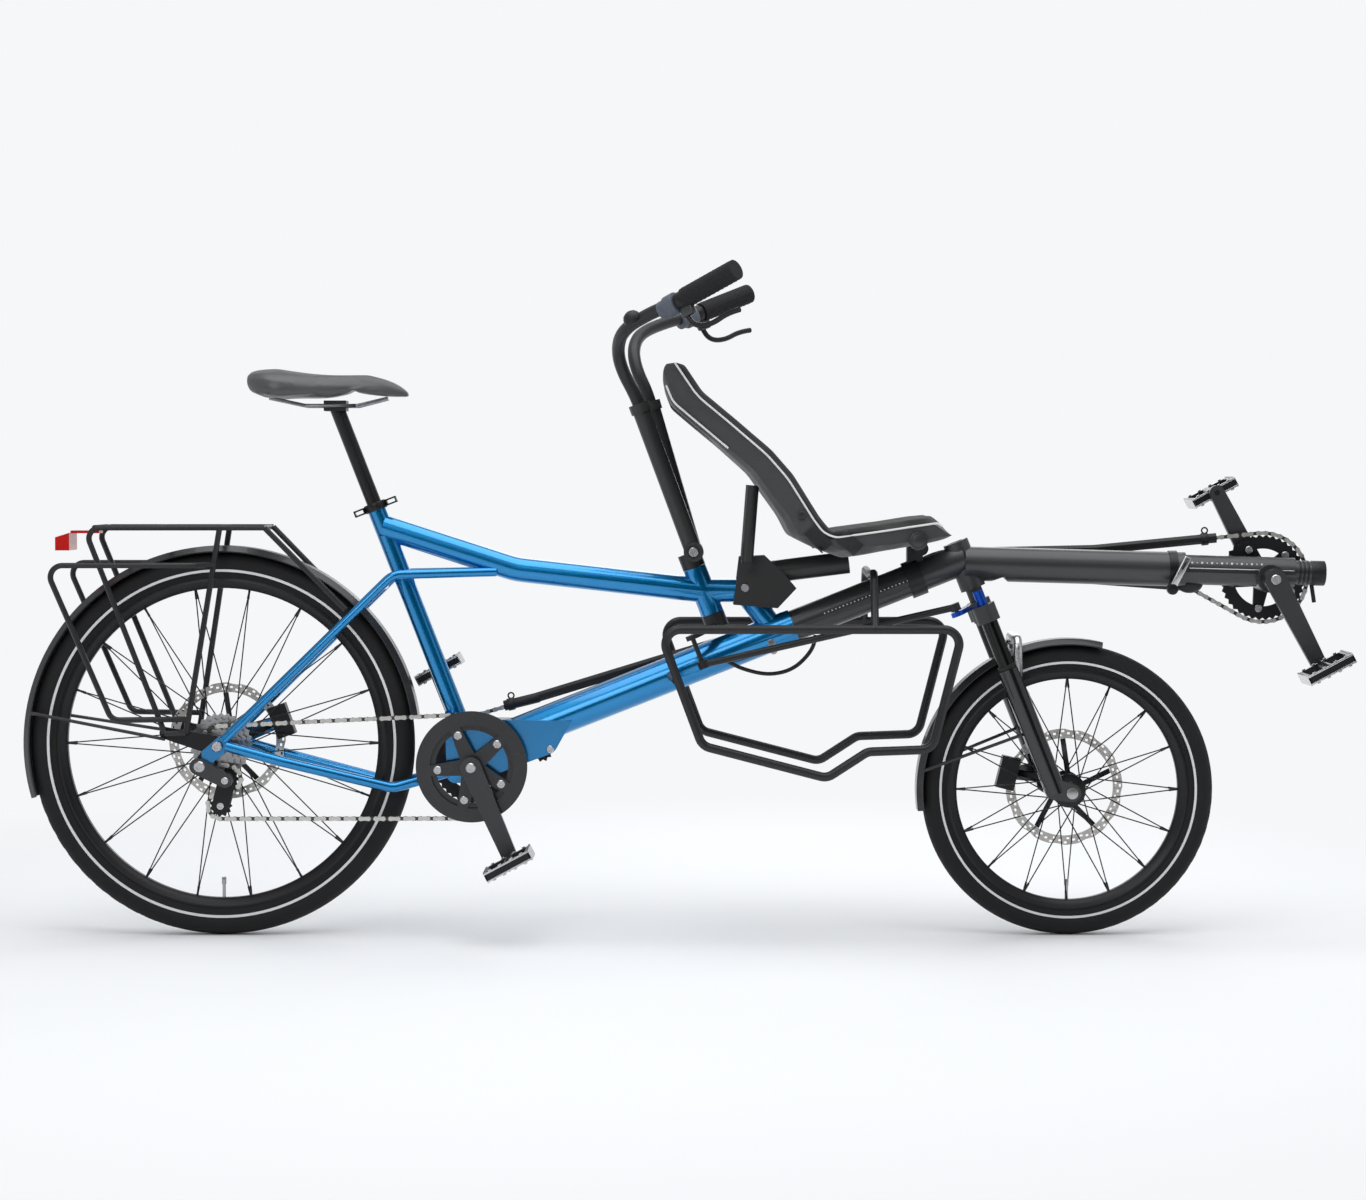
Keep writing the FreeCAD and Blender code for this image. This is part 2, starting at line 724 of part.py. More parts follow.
def rotor(axle, offset):
    low = offset - ROTOR_THICKNESS / 2.0
    high = offset + ROTOR_THICKNESS / 2.0
    outline = []
    for index in range(2 * ROTOR_WAVES):
        radius = ROTOR_RADIUS - ROTOR_WAVE_DEPTH * (index % 2)
        point = polar(axle, radius, 180.0 * index / ROTOR_WAVES)
        outline.append((point.x, point.z))
    hole = []
    for index in range(2 * ROTOR_WAVES):
        point = polar(axle, ROTOR_RADIUS - ROTOR_BAND, 180.0 * index / ROTOR_WAVES)
        hole.append((point.x, point.z))
    band = plate(outline, low, high).cut(plate(hole, low - OVERRUN, high + OVERRUN))
    pieces = [band, ring_plate(axle, ROTOR_HUB_RADIUS, HUB_BARREL_RADIUS + RUNNING_FIT, low, high)]
    for index in range(SPIDER_ARMS):
        angle = ARM_STEP * index
        start = polar(axle, ROTOR_HUB_RADIUS - ROTOR_ARM_WIDTH / 4.0, angle)
        end = polar(axle, ROTOR_RADIUS - ROTOR_BAND + ROTOR_WAVE_DEPTH, angle + ROTOR_ARM_SWEEP)
        across = unit(end - start).cross(SIDEWAYS) * (ROTOR_ARM_WIDTH / 2.0)
        corners = [start + across, end + across, end - across, start - across]
        pieces.append(plate([(corner.x, corner.z) for corner in corners], low, high))
    return fused(pieces)


def cassette():
    half = SPROCKET_THICKNESS / 2.0
    chain_y = -DRIVE_CHAIN_OFFSET
    bore = disc(REAR_AXLE, HUB_BARREL_RADIUS + RUNNING_FIT, -REAR_HUB_WIDTH, REAR_HUB_WIDTH)
    inner_y = chain_y + SPROCKET_SPACING * SPROCKETS_INSIDE
    pieces = [disc(REAR_AXLE, CASSETTE_BODY_RADIUS, chain_y - SPROCKET_SPACING - half, inner_y + half),
              toothed_plate(REAR_AXLE, DRIVE_SPROCKET_TEETH, chain_y - half, chain_y + half)]
    for index in range(-1, SPROCKETS_INSIDE + 1):
        if index != 0:
            middle = chain_y + SPROCKET_SPACING * index
            teeth = DRIVE_SPROCKET_TEETH + SPROCKET_STEP_TEETH * index
            pieces.append(toothed_plate(REAR_AXLE, teeth, middle - half, middle + half))
    return fused(pieces).cut(bore)


# Chains

def tangent_run(first, second):
    # The straight run between two wheels of a chain path; each is (centre, radius, turn), where a turn
    # of 1 is anticlockwise as seen from the right side of the bicycle and -1 is clockwise.
    between = second[0] - first[0]
    length = between.Length
    along = unit(between)
    lift = (second[1] * second[2] - first[1] * first[2]) / length
    level = math.sqrt(1.0 - lift * lift)
    left = vec(-along.z, 0.0, along.x)
    normal = along * lift + left * level
    return first[0] - normal * (first[1] * first[2]), second[0] - normal * (second[1] * second[2]), normal


def chain_marks(wheels, closed):
    # Pins along a chain path as (point, left normal, is_corner).
    count = len(wheels)
    runs = []
    for index in range(count if closed else count - 1):
        runs.append(tangent_run(wheels[index], wheels[(index + 1) % count]))
    marks = []
    for index, (start, stop, normal) in enumerate(runs):
        links = max(1, round((stop - start).Length / CHAIN_PITCH))
        for link in range(links + 1):
            marks.append((start + (stop - start) * (link / links), normal, link in (0, links)))
        if not closed and index == len(runs) - 1:
            continue
        centre, radius, turn = wheels[(index + 1) % count]
        following = runs[(index + 1) % len(runs)]
        first = math.atan2(normal.z, normal.x)
        last = math.atan2(following[2].z, following[2].x)
        sweep = (last - first) * turn % (2.0 * math.pi)
        links = max(1, round(sweep * radius / CHAIN_PITCH))
        for link in range(1, links):
            angle = first + turn * sweep * link / links
            direction = vec(math.cos(angle), 0.0, math.sin(angle))
            marks.append((centre - direction * (radius * turn), direction, True))
    return marks


def chain_plates(marks, closed, y_low, y_high):
    half = CHAIN_PLATE_HEIGHT / 2.0
    corners = [(point, normal) for point, normal, is_corner in marks if is_corner]
    left = [(point + normal * half) for point, normal in corners]
    right = [(point - normal * half) for point, normal in corners]
    if closed:
        outer = plate([(corner.x, corner.z) for corner in left], y_low, y_high)
        inner = plate([(corner.x, corner.z) for corner in right], y_low - OVERRUN, y_high + OVERRUN)
        return outer.cut(inner)
    outline = left + right[::-1]
    return plate([(corner.x, corner.z) for corner in outline], y_low, y_high)


def chain(wheels, closed, offset):
    marks = chain_marks(wheels, closed)
    gap = CHAIN_INNER_GAP / 2.0
    pieces = [chain_plates(marks, closed, offset - gap - CHAIN_PLATE_THICKNESS, offset - gap),
              chain_plates(marks, closed, offset + gap, offset + gap + CHAIN_PLATE_THICKNESS)]
    half = CHAIN_PIN_WIDTH / 2.0
    for point, normal, is_corner in marks[::CHAIN_PIN_STEP]:
        along = vec(-normal.z, 0.0, normal.x) * half
        foot = point - normal * half
        corners = [point + normal * half, foot + along, foot - along]
        pieces.append(plate([(corner.x, corner.z) for corner in corners], offset - gap, offset + gap))
    return fused(pieces)


def drive_wheels():
    return [(REAR_AXLE, pitch_radius(DRIVE_SPROCKET_TEETH), -1.0),
            (CRANK, pitch_radius(DRIVE_RING_TEETH), -1.0),
            (REAR_AXLE + vec(LOWER_PULLEY_REACH, 0.0, -LOWER_PULLEY_DROP), pitch_radius(PULLEY_TEETH), -1.0),
            (REAR_AXLE + vec(UPPER_PULLEY_REACH, 0.0, -UPPER_PULLEY_DROP), pitch_radius(PULLEY_TEETH), 1.0)]


def tube_mouth(end, inward):
    # Where a chain ends inside the mouth of its tube, as a wheel of no radius.
    return end + unit(inward - end) * CHAIN_REACH


def upper_tube_points(y):
    return [vec(UPPER_TAIL_X, y, UPPER_TAIL_Z), vec(UPPER_LOW_X, y, UPPER_LOW_Z),
            vec(UPPER_HIGH_X, y, UPPER_HIGH_Z), vec(UPPER_FRONT_X, y, UPPER_FRONT_Z),
            vec(UPPER_MOUTH_X, y, UPPER_MOUTH_Z)]


def lower_tube_points(y):
    return [vec(LOWER_TAIL_X, y, LOWER_TAIL_Z), vec(LOWER_BEND_X, y, LOWER_BEND_Z),
            vec(LOWER_HIGH_X, y, LOWER_HIGH_Z), vec(LOWER_MOUTH_X, y, LOWER_MOUTH_Z)]


def timing_wheels_front():
    upper = upper_tube_points(0.0)
    lower = lower_tube_points(0.0)
    return [(tube_mouth(upper[-1], upper[-2]), 0.0, -1.0),
            (front_crank(), pitch_radius(TIMING_RING_TEETH), -1.0),
            (tube_mouth(lower[-1], lower[-2]), 0.0, -1.0)]


def timing_wheels_rear():
    upper = upper_tube_points(0.0)
    lower = lower_tube_points(0.0)
    return [(tube_mouth(upper[0], upper[1]), 0.0, 1.0),
            (CRANK, pitch_radius(TIMING_RING_TEETH), 1.0),
            (vec(IDLER_X, 0.0, IDLER_Z), pitch_radius(IDLER_TEETH), -1.0),
            (tube_mouth(lower[0], lower[1]), 0.0, -1.0)]


def chain_tubes():
    pieces = []
    for points in (upper_tube_points(TIMING_CHAIN_OFFSET), lower_tube_points(TIMING_CHAIN_OFFSET)):
        pipe = tube(points, CHAIN_TUBE_RADIUS, CHAIN_TUBE_BEND, sides=8)
        for end, inward in ((points[0], points[1]), (points[-1], points[-2])):
            direction = unit(inward - end)
            mouth = cylinder(end - direction * OVERRUN, end + direction * CHAIN_TUBE_MOUTH, CHAIN_TUBE_BORE)
            pipe = pipe.cut(mouth)
        start, end = points[1], points[2]
        hold = start + (end - start) * ((CHAIN_CLIP_X - start.x) / (end.x - start.x))
        clip = cylinder(hold, main_tube_point(CHAIN_CLIP_X), CHAIN_CLIP_RADIUS)
        room = cylinder(main_tube_point(MAIN_TUBE_END_X), main_tube_point(LOWRIDER_FRONT_X),
                        FRONT_TUBE_RADIUS + SEAT_GAP)
        pieces.append(fused([pipe, clip.cut(room)]))
    return Part.makeCompound(pieces)


def chain_idler():
    half = PULLEY_THICKNESS / 2.0
    centre = vec(IDLER_X, 0.0, IDLER_Z)
    wheel = toothed_plate(centre, IDLER_TEETH, TIMING_CHAIN_OFFSET - half, TIMING_CHAIN_OFFSET + half)
    return wheel.cut(disc(centre, IDLER_AXLE_RADIUS + RUNNING_FIT, TIMING_CHAIN_OFFSET - PULLEY_THICKNESS,
                          TIMING_CHAIN_OFFSET + PULLEY_THICKNESS))


# Main frame

def rear_stays():
    half = REAR_HUB_WIDTH / 2.0
    middle = -half - DROPOUT_THICKNESS / 2.0
    chainstay = tube([REAR_AXLE + vec(STAY_SETBACK, middle, 0.0),
                      REAR_AXLE + vec(CHAINSTAY_KNEE_REACH, -CHAINSTAY_KNEE_Y, -CHAINSTAY_KNEE_DROP),
                      vec(CHAINSTAY_BEND_X, -CHAINSTAY_BEND_Y, CHAINSTAY_BEND_Z),
                      vec(CHAINSTAY_END_X, -CHAINSTAY_END_Y, CHAINSTAY_END_Z)],
                     CHAINSTAY_RADIUS, STAY_BEND_RADIUS)
    seatstay = tube([polar(REAR_AXLE, STAY_SETBACK, SEATSTAY_ANGLE) + SIDEWAYS * middle,
                     seatstay_bend() - SIDEWAYS * SEATSTAY_BEND_Y,
                     vec(SEATSTAY_END_X, -SEATSTAY_END_Y, SEATSTAY_END_Z)], SEATSTAY_RADIUS, STAY_BEND_RADIUS)
    dropout = link_plate(REAR_AXLE, rack_foot(), DROPOUT_RADIUS, RACK_EYE_RADIUS,
                         -half - DROPOUT_THICKNESS, -half)
    return [chainstay, seatstay, dropout]


def seatstay_bend():
    return polar(REAR_AXLE, REAR_RADIUS + SEATSTAY_BEND_ROOM, SEATSTAY_ANGLE)


def bridge_point():
    return polar(REAR_AXLE, REAR_RADIUS + STAY_BRIDGE_ROOM, SEATSTAY_ANGLE)


def rack_foot():
    return REAR_AXLE + vec(RACK_FOOT_REACH, 0.0, RACK_FOOT_LIFT)


def stay_bridge():
    half = SIDEWAYS * SEATSTAY_BEND_Y
    return cylinder(bridge_point() - half, bridge_point() + half, BRIDGE_RADIUS)


def main_frame():
    near = rear_stays()
    hub_room = disc(REAR_AXLE, HUB_FLANGE_RADIUS, -REAR_HUB_WIDTH / 2.0, REAR_HUB_WIDTH / 2.0)
    pieces = [piece.cut(hub_room) for piece in near + [mirrored(piece) for piece in near]] + [stay_bridge()]
    hanger = link_plate(REAR_AXLE, derailleur_point(), DROPOUT_RADIUS, RACK_EYE_RADIUS,
                        -REAR_HUB_WIDTH / 2.0 - DROPOUT_THICKNESS, -REAR_HUB_WIDTH / 2.0)
    half_axle = REAR_HUB_WIDTH / 2.0 + DROPOUT_THICKNESS + AXLE_RADIUS
    tab_end = polar(REAR_AXLE, ROTOR_RADIUS - ROTOR_BAND / 2.0, REAR_CALIPER_ANGLE)
    tab = link_plate(REAR_AXLE, tab_end, DROPOUT_RADIUS, CALIPER_TAB_RADIUS,
                     REAR_HUB_WIDTH / 2.0, REAR_HUB_WIDTH / 2.0 + DROPOUT_THICKNESS)
    pieces += [hanger, tab, disc(REAR_AXLE, AXLE_RADIUS, -half_axle, half_axle)]
    seat_top = vec(SEAT_TUBE_TOP_X, 0.0, SEAT_TUBE_TOP_Z)
    seat_foot = vec(SEAT_TUBE_BOTTOM_X, 0.0, SEAT_TUBE_BOTTOM_Z)
    seat_line = unit(seat_foot - seat_top)
    pieces.append(cylinder(seat_top, seat_foot + seat_line * BB_SHELL_RADIUS * 2.0, SEAT_TUBE_RADIUS))
    nose = HEAD + vec(NOSE_TUBE_REACH, 0.0, 0.0)
    foot = main_tube_point(NOSE_TUBE_FOOT_X)
    top_tube = [vec(TOP_TUBE_REAR_X, 0.0, TOP_TUBE_REAR_Z), vec(TOP_TUBE_BEND_X, 0.0, TOP_TUBE_BEND_Z), HEAD]
    pieces.append(tube(top_tube, TOP_TUBE_RADIUS, TOP_TUBE_BEND_RADIUS))
    pieces.append(tube([HEAD, nose, foot], NOSE_TUBE_RADIUS, NOSE_TUBE_BEND))
    start = main_tube_point(MAIN_TUBE_START_X)
    pieces.append(cylinder(start, main_tube_point(MAIN_TUBE_END_X), MAIN_TUBE_RADIUS))
    pieces.append(cylinder(head_point(0.0, 0.0, -HEAD_HALF_LENGTH),
                           head_point(0.0, 0.0, HEAD_HALF_LENGTH), HEAD_RADIUS))
    front = main_tube_point(CRANK_X + HOUSING_FRONT)
    housing = [(CRANK_X - HOUSING_BACK, CRANK_Z - HOUSING_DROP), (CRANK_X, CRANK_Z - HOUSING_DROP),
               (front.x, front.z - HOUSING_FRONT_DROP), (front.x + MAIN_TUBE_RADIUS, front.z),
               (start.x, start.z + HOUSING_REAR_RISE),
               (SEAT_TUBE_BOTTOM_X - SEAT_TUBE_RADIUS, SEAT_TUBE_BOTTOM_Z)]
    radii = [HOUSING_DROP * share for share in HOUSING_ROUND_SHARES]
    pieces.append(rounded_plate(housing, radii, -HOUSING_HALF_WIDTH, HOUSING_HALF_WIDTH))
    pieces.append(disc(CRANK, BB_SHELL_RADIUS, -BB_HALF_WIDTH, BB_HALF_WIDTH))
    idler = vec(IDLER_X, 0.0, IDLER_Z)
    pieces.append(disc(idler, IDLER_AXLE_RADIUS, HOUSING_HALF_WIDTH - OVERRUN,
                       TIMING_CHAIN_OFFSET + PULLEY_THICKNESS))
    frame = fused(pieces)
    frame = frame.cut(disc(CRANK, BB_AXLE_RADIUS + RUNNING_FIT, -REAR_HUB_WIDTH, REAR_HUB_WIDTH))
    steerer = cylinder(head_point(0.0, 0.0, -HEAD_HALF_LENGTH - OVERRUN),
                       head_point(0.0, 0.0, HEAD_HALF_LENGTH + OVERRUN), STEERER_RADIUS + RUNNING_FIT)
    post = cylinder(seat_top - seat_line * OVERRUN, seat_top + seat_line * POST_DEPTH,
                    POST_RADIUS + RUNNING_FIT)
    return frame.cut(steerer).cut(post)


def boom_base():
    return vec(fork_point(0.0, 0.0, (FRONT_HEAD_LOW + FRONT_HEAD_HIGH) / 2.0).x, 0.0, BOOM_HEAD_Z)


def boom_line():
    return unit(vec(BOOM_CLAMP_X, 0.0, BOOM_CLAMP_Z) - boom_base())


def front_crank():
    # The front crank's axle lies a little under the middle line of the boom.
    along = boom_line()
    reach = (FRONT_CRANK_X - BOOM_CLAMP_X) / along.x
    return vec(FRONT_CRANK_X, 0.0, BOOM_CLAMP_Z + along.z * reach - FRONT_CRANK_DROP)


def front_frame():
    start = main_tube_point(MAIN_TUBE_END_X)
    end = fork_point(0.0, 0.0, (FRONT_HEAD_LOW + FRONT_HEAD_HIGH) / 2.0)
    pieces = [cylinder(start, main_tube_point(end.x), FRONT_TUBE_RADIUS),
              cylinder(fork_point(0.0, 0.0, FRONT_HEAD_LOW), fork_point(0.0, 0.0, FRONT_HEAD_HIGH),
                       FRONT_HEAD_RADIUS)]
    pieces.append(cylinder(boom_base(), vec(BOOM_CLAMP_X, 0.0, BOOM_CLAMP_Z), BOOM_RADIUS))
    body = fused(pieces)
    bore = cylinder(fork_point(0.0, 0.0, FRONT_HEAD_LOW - BOOM_RADIUS * 2.0),
                    fork_point(0.0, 0.0, FRONT_HEAD_HIGH + BOOM_RADIUS), FRONT_STEERER_RADIUS + RUNNING_FIT)
    under = cylinder(fork_point(0.0, 0.0, CROWN_HIGH), fork_point(0.0, 0.0, FRONT_HEAD_LOW),
                     BOOM_RADIUS * 2.0)
    return body.cut(bore).cut(under)


def boom():
    start = vec(BOOM_CLAMP_X, 0.0, BOOM_CLAMP_Z)
    along = boom_line()
    end = start + along * (BOOM_TUBE_END_X - BOOM_CLAMP_X)
    tip = start + along * (BOOM_CAP_END_X - BOOM_CLAMP_X)
    body = cylinder(start, end, BOOM_TUBE_RADIUS)
    for side in (-1.0, 1.0):
        slot = Part.makeBox((end - start).Length + OVERRUN * 2.0, BOOM_SLOT_DEPTH * 2.0, BOOM_SLOT_WIDTH,
                            vec(-OVERRUN, side * BOOM_TUBE_RADIUS - BOOM_SLOT_DEPTH, -BOOM_SLOT_WIDTH / 2.0))
        slot.rotate(vec(0.0, 0.0, 0.0), SIDEWAYS, math.degrees(math.atan2(-along.z, along.x)))
        slot.translate(start)
        body = body.cut(slot)
    body = fused([body, cylinder(end, tip, BOOM_CAP_RADIUS),
                  disc(front_crank(), BB_SHELL_RADIUS, -BB_HALF_WIDTH, BB_HALF_WIDTH)])
    return body.cut(disc(front_crank(), BB_AXLE_RADIUS + RUNNING_FIT, -REAR_HUB_WIDTH, REAR_HUB_WIDTH))


def boom_clamp():
    start = vec(BOOM_CLAMP_X, 0.0, BOOM_CLAMP_Z)
    back = start - vec(CLAMP_BAND_WIDTH * 2.0, 0.0, 0.0)
    bore = cylinder(boom_base(), start, BOOM_RADIUS + SEAT_GAP)
    band = cylinder(back, back + vec(CLAMP_BAND_WIDTH, 0.0, 0.0), CLAMP_BAND_RADIUS)
    middle = back + vec(CLAMP_BAND_WIDTH / 2.0, 0.0, -CLAMP_BAND_RADIUS)
    reach = SIDEWAYS * CLAMP_BAND_WIDTH
    ear = cylinder(middle - reach, middle + reach, CLAMP_BAND_WIDTH / 2.0)
    foot = middle - SIDEWAYS * (CLAMP_BAND_WIDTH + CLAMP_LEVER_RADIUS)
    head = vec(BOOM_CLAMP_X, -CLAMP_BAND_RADIUS - CLAMP_LEVER_RADIUS, foot.z + CLAMP_LEVER_LENGTH)
    lever = cylinder(foot + SIDEWAYS * CLAMP_LEVER_RADIUS, head, CLAMP_LEVER_RADIUS)
    return fused([band, ear, lever]).cut(bore)


# Steering

def riser_line(side):
    # The pivot and the direction of one riser; the left one is turned a little further forward.
    tilt = RISER_TILT - (FAR_RISER_TURN if side > 0.0 else 0.0)
    pivot = head_point(PIVOT_FORWARD, side * RISER_SPREAD, PIVOT_UP)
    return pivot, vec(-sin(tilt), 0.0, cos(tilt)), tilt - RISER_TILT


def riser(side):
    pivot, rise, turn = riser_line(side)
    top = pivot + rise * RISER_LENGTH
    half = SIDEWAYS * (KNUCKLE_LENGTH / 2.0)
    body = fused([cylinder(pivot, top, RISER_RADIUS),
                  cylinder(top - rise * RISER_COLLAR_LENGTH, top, RISER_COLLAR_RADIUS),
                  cylinder(pivot - half, pivot + half, PIVOT_RADIUS)])
    return body.cut(cylinder(pivot - half * 2.0, pivot + half * 2.0, PIVOT_BAR_RADIUS + SEAT_GAP))


def bar_points(side):
    # The bends of one handlebar half, from the riser's top to the end of its grip.
    pivot, rise, turn = riser_line(side)
    top = pivot + rise * RISER_LENGTH
    points = [top, top + rise * RISER_COLLAR_LENGTH]
    for x, y, z in ((BAR_LOW_X, BAR_LOW_Y, BAR_LOW_Z), (BAR_HIGH_X, BAR_HIGH_Y, BAR_HIGH_Z),
                    (BAR_END_X, BAR_END_Y, BAR_END_Z)):
        point = vec(x - pivot.x, 0.0, z - pivot.z)
        points.append(vec(pivot.x + point.x * cos(turn) - point.z * sin(turn), side * y,
                          pivot.z + point.x * sin(turn) + point.z * cos(turn)))
    return points


def grip_line(side):
    points = bar_points(side)
    along = unit(points[-1] - points[-2])
    return points[-1] - along * GRIP_LENGTH, points[-1], along


def handlebar(side):
    points = bar_points(side)
    start, end, along = grip_line(side)
    return tube(points[:-1] + [start - along * SEAT_GAP], BAR_RADIUS, BAR_BEND_RADIUS, sides=12)


def grip(side):
    start, end, along = grip_line(side)
    return cylinder(start, end, GRIP_RADIUS)


def brake_lever(side):
    start, end, along = grip_line(side)
    clamp_end = start - along * (SEAT_GAP + OVERRUN)
    clamp_start = clamp_end - along * LEVER_CLAMP_WIDTH
    middle = (clamp_start + clamp_end) / 2.0
    down = unit(along.cross(vec(0.0, 0.0, -1.0)).cross(along))
    drop = down * LEVER_DROP
    blade = tube([middle + down * (BAR_RADIUS + LEVER_SETBACK), middle + drop,
                  middle + drop + along * LEVER_LENGTH],
                 LEVER_RADIUS, LEVER_RADIUS * 2.0, sides=8)
    body = fused([cylinder(clamp_start, clamp_end, LEVER_CLAMP_RADIUS), blade])
    return body.cut(cylinder(clamp_start - along, clamp_end + along, BAR_RADIUS + SEAT_GAP))


def steering_column():
    top = head_point(0.0, 0.0, PIVOT_UP)
    low = head_point(0.0, 0.0, -REAR_ARM_DROP - ARM_THICKNESS)
    pivot = head_point(PIVOT_FORWARD, 0.0, PIVOT_UP)
    reach = RISER_SPREAD + KNUCKLE_LENGTH / 2.0
    pieces = [cylinder(low, top, STEERER_RADIUS),
              cylinder(head_point(0.0, 0.0, HEAD_HALF_LENGTH + HEAD_GAP), top, HEAD_RADIUS),
              cylinder(head_point(0.0, 0.0, -REAR_ARM_DROP),
                       head_point(0.0, 0.0, -HEAD_HALF_LENGTH - HEAD_GAP),
                       HEAD_RADIUS),
              cylinder(pivot - SIDEWAYS * reach, pivot + SIDEWAYS * reach, PIVOT_BAR_RADIUS),
              cylinder(pivot - SIDEWAYS * HEAD_RADIUS, pivot + SIDEWAYS * HEAD_RADIUS, PIVOT_RADIUS)]
    pieces += steering_arm(head_point, -REAR_ARM_DROP - ARM_THICKNESS, -REAR_ROD_DROP - ROD_EYE_HEIGHT / 2.0)
    return fused(pieces)


def steering_arm(point_at, up, stud_end):
    # A flat arm square to a steering axis, with a stud down or up to the rod's eye.
    low = point_at(0.0, 0.0, up)
    high = point_at(0.0, 0.0, up + ARM_THICKNESS)
    tip_low = point_at(-ARM_BACK, -ARM_SIDE, up)
    tip_high = point_at(-ARM_BACK, -ARM_SIDE, up + ARM_THICKNESS)
    reach = math.hypot(ARM_BACK, ARM_SIDE)
    across = (STEER_FORWARD * ARM_SIDE - SIDEWAYS * ARM_BACK) * (ARM_RADIUS / reach)
    corners = [low + across, tip_low + across, tip_low - across, low - across, low + across]
    web = Part.Face(Part.makePolygon(corners)).extrude(high - low)
    stud_low = point_at(-ARM_BACK, -ARM_SIDE, min(up, stud_end))
    stud_high = point_at(-ARM_BACK, -ARM_SIDE, max(up + ARM_THICKNESS, stud_end))
    return [web, cylinder(tip_low, tip_high, ARM_RADIUS), cylinder(stud_low, stud_high, STUD_RADIUS),
            cylinder(low, high, HEAD_RADIUS)]


def tie_rod():
    rear = head_point(-ARM_BACK, -ARM_SIDE, -REAR_ROD_DROP)
    front = fork_point(-ARM_BACK, -ARM_SIDE, FRONT_ROD_HEIGHT)
    half = STEER_UP * (ROD_EYE_HEIGHT / 2.0)
    body = fused([cylinder(rear, front, ROD_RADIUS), cylinder(rear - half, rear + half, ROD_EYE_RADIUS),
                  cylinder(front - half, front + half, ROD_EYE_RADIUS)])
    for end, clearance in ((rear, RUNNING_FIT), (front, ROD_EYE_CLEARANCE)):
        body = body.cut(cylinder(end - half * 2.0, end + half * 2.0, STUD_RADIUS + clearance))
    return body


def control_cable():
    curve = Part.BSplineCurve()
    curve.interpolate([vec(x, y, z) for x, y, z in CABLE_ROUTE])
    path = Part.Wire([curve.toShape()])
    start, along = curve.value(0.0), curve.tangent(0.0)[0]
    ring = Part.Wire([Part.makeCircle(CABLE_RADIUS, start, along)])
    return path.makePipeShell([ring], True, True)


# Fork

def fork_crown():
    steerer = cylinder(fork_point(0.0, 0.0, CROWN_LOW), fork_point(0.0, 0.0, FRONT_HEAD_HIGH - OVERRUN),
                       FRONT_STEERER_RADIUS)
    bridge_low = fork_point(0.0, -LEG_SPREAD, (CROWN_LOW + CROWN_HIGH) / 2.0)
    bridge_high = fork_point(0.0, LEG_SPREAD, (CROWN_LOW + CROWN_HIGH) / 2.0)
    pieces = [steerer, cylinder(bridge_low, bridge_high, (CROWN_HIGH - CROWN_LOW) / 2.0 - OVERRUN)]
    for side in (-1.0, 1.0):
        low = fork_point(0.0, side * LEG_SPREAD, CROWN_LOW)
        high = fork_point(0.0, side * LEG_SPREAD, CROWN_HIGH)
        pieces.append(cylinder(low, high, CROWN_RADIUS))
        pieces.append(cylinder(fork_point(0.0, side * LEG_SPREAD, LEG_TOP), low, STANCHION_RADIUS))
    pieces += steering_arm(fork_point, CROWN_HIGH - OVERRUN, FRONT_ROD_HEIGHT + ROD_EYE_HEIGHT / 2.0)
    pieces.append(cylinder(fork_point(0.0, 0.0, CROWN_LOW + OVERRUN), fork_point(0.0, 0.0, CROWN_HIGH),
                           HEAD_RADIUS))
    pieces.append(cylinder(fork_point(0.0, -LEG_SPREAD, CROWN_HIGH - ADJUSTER_RADIUS),
                           fork_point(0.0, -LEG_SPREAD, CROWN_HIGH + ADJUSTER_HEIGHT), ADJUSTER_RADIUS))
    return fused(pieces)


def fork_legs():
    pieces = []
    inner = FRONT_HUB_WIDTH / 2.0
    for side in (-1.0, 1.0):
        y = side * LEG_SPREAD
        pieces.append(cylinder(fork_point(0.0, y, LEG_BOTTOM), fork_point(0.0, y, LEG_TOP), LEG_RADIUS))
        low, high = sorted((side * inner, side * (LEG_SPREAD + STANCHION_RADIUS)))
        foot = fork_point(0.0, 0.0, LEG_BOTTOM * 2.0)
        pieces.append(link_plate(foot, FRONT_AXLE, LEG_RADIUS, FORK_DROPOUT_RADIUS, low, high))
    arch = [fork_point(ARCH_FOOT, -LEG_SPREAD, LEG_TOP - LEG_RADIUS),
            fork_point(ARCH_REACH, -LEG_SPREAD, LEG_TOP + ARCH_RISE),
            fork_point(ARCH_REACH, LEG_SPREAD, LEG_TOP + ARCH_RISE),
            fork_point(ARCH_FOOT, LEG_SPREAD, LEG_TOP - LEG_RADIUS)]
    pieces.append(tube(arch, ARCH_RADIUS, LEG_RADIUS))
    half = LEG_SPREAD + STANCHION_RADIUS
    tab_end = polar(FRONT_AXLE, ROTOR_RADIUS - ROTOR_BAND / 2.0, FRONT_CALIPER_ANGLE)
    tab_start = fork_point(0.0, 0.0, LEG_RADIUS * 2.0)
    tab_y = LEG_SPREAD - LEG_RADIUS / 2.0
    pieces.append(link_plate(tab_start, tab_end, LEG_RADIUS, CALIPER_TAB_RADIUS, tab_y,
                             tab_y + CALIPER_TAB_THICKNESS))
    room = [disc(FRONT_AXLE, CASSETTE_BODY_RADIUS, -inner, inner)]
    for side in (-1.0, 1.0):
        room.append(cylinder(fork_point(0.0, side * LEG_SPREAD, LEG_TOP),
                             fork_point(0.0, side * LEG_SPREAD, CROWN_LOW), STANCHION_RADIUS + SEAT_GAP))
    return fused([fused(pieces).cut(room), disc(FRONT_AXLE, AXLE_RADIUS, -half, half)])


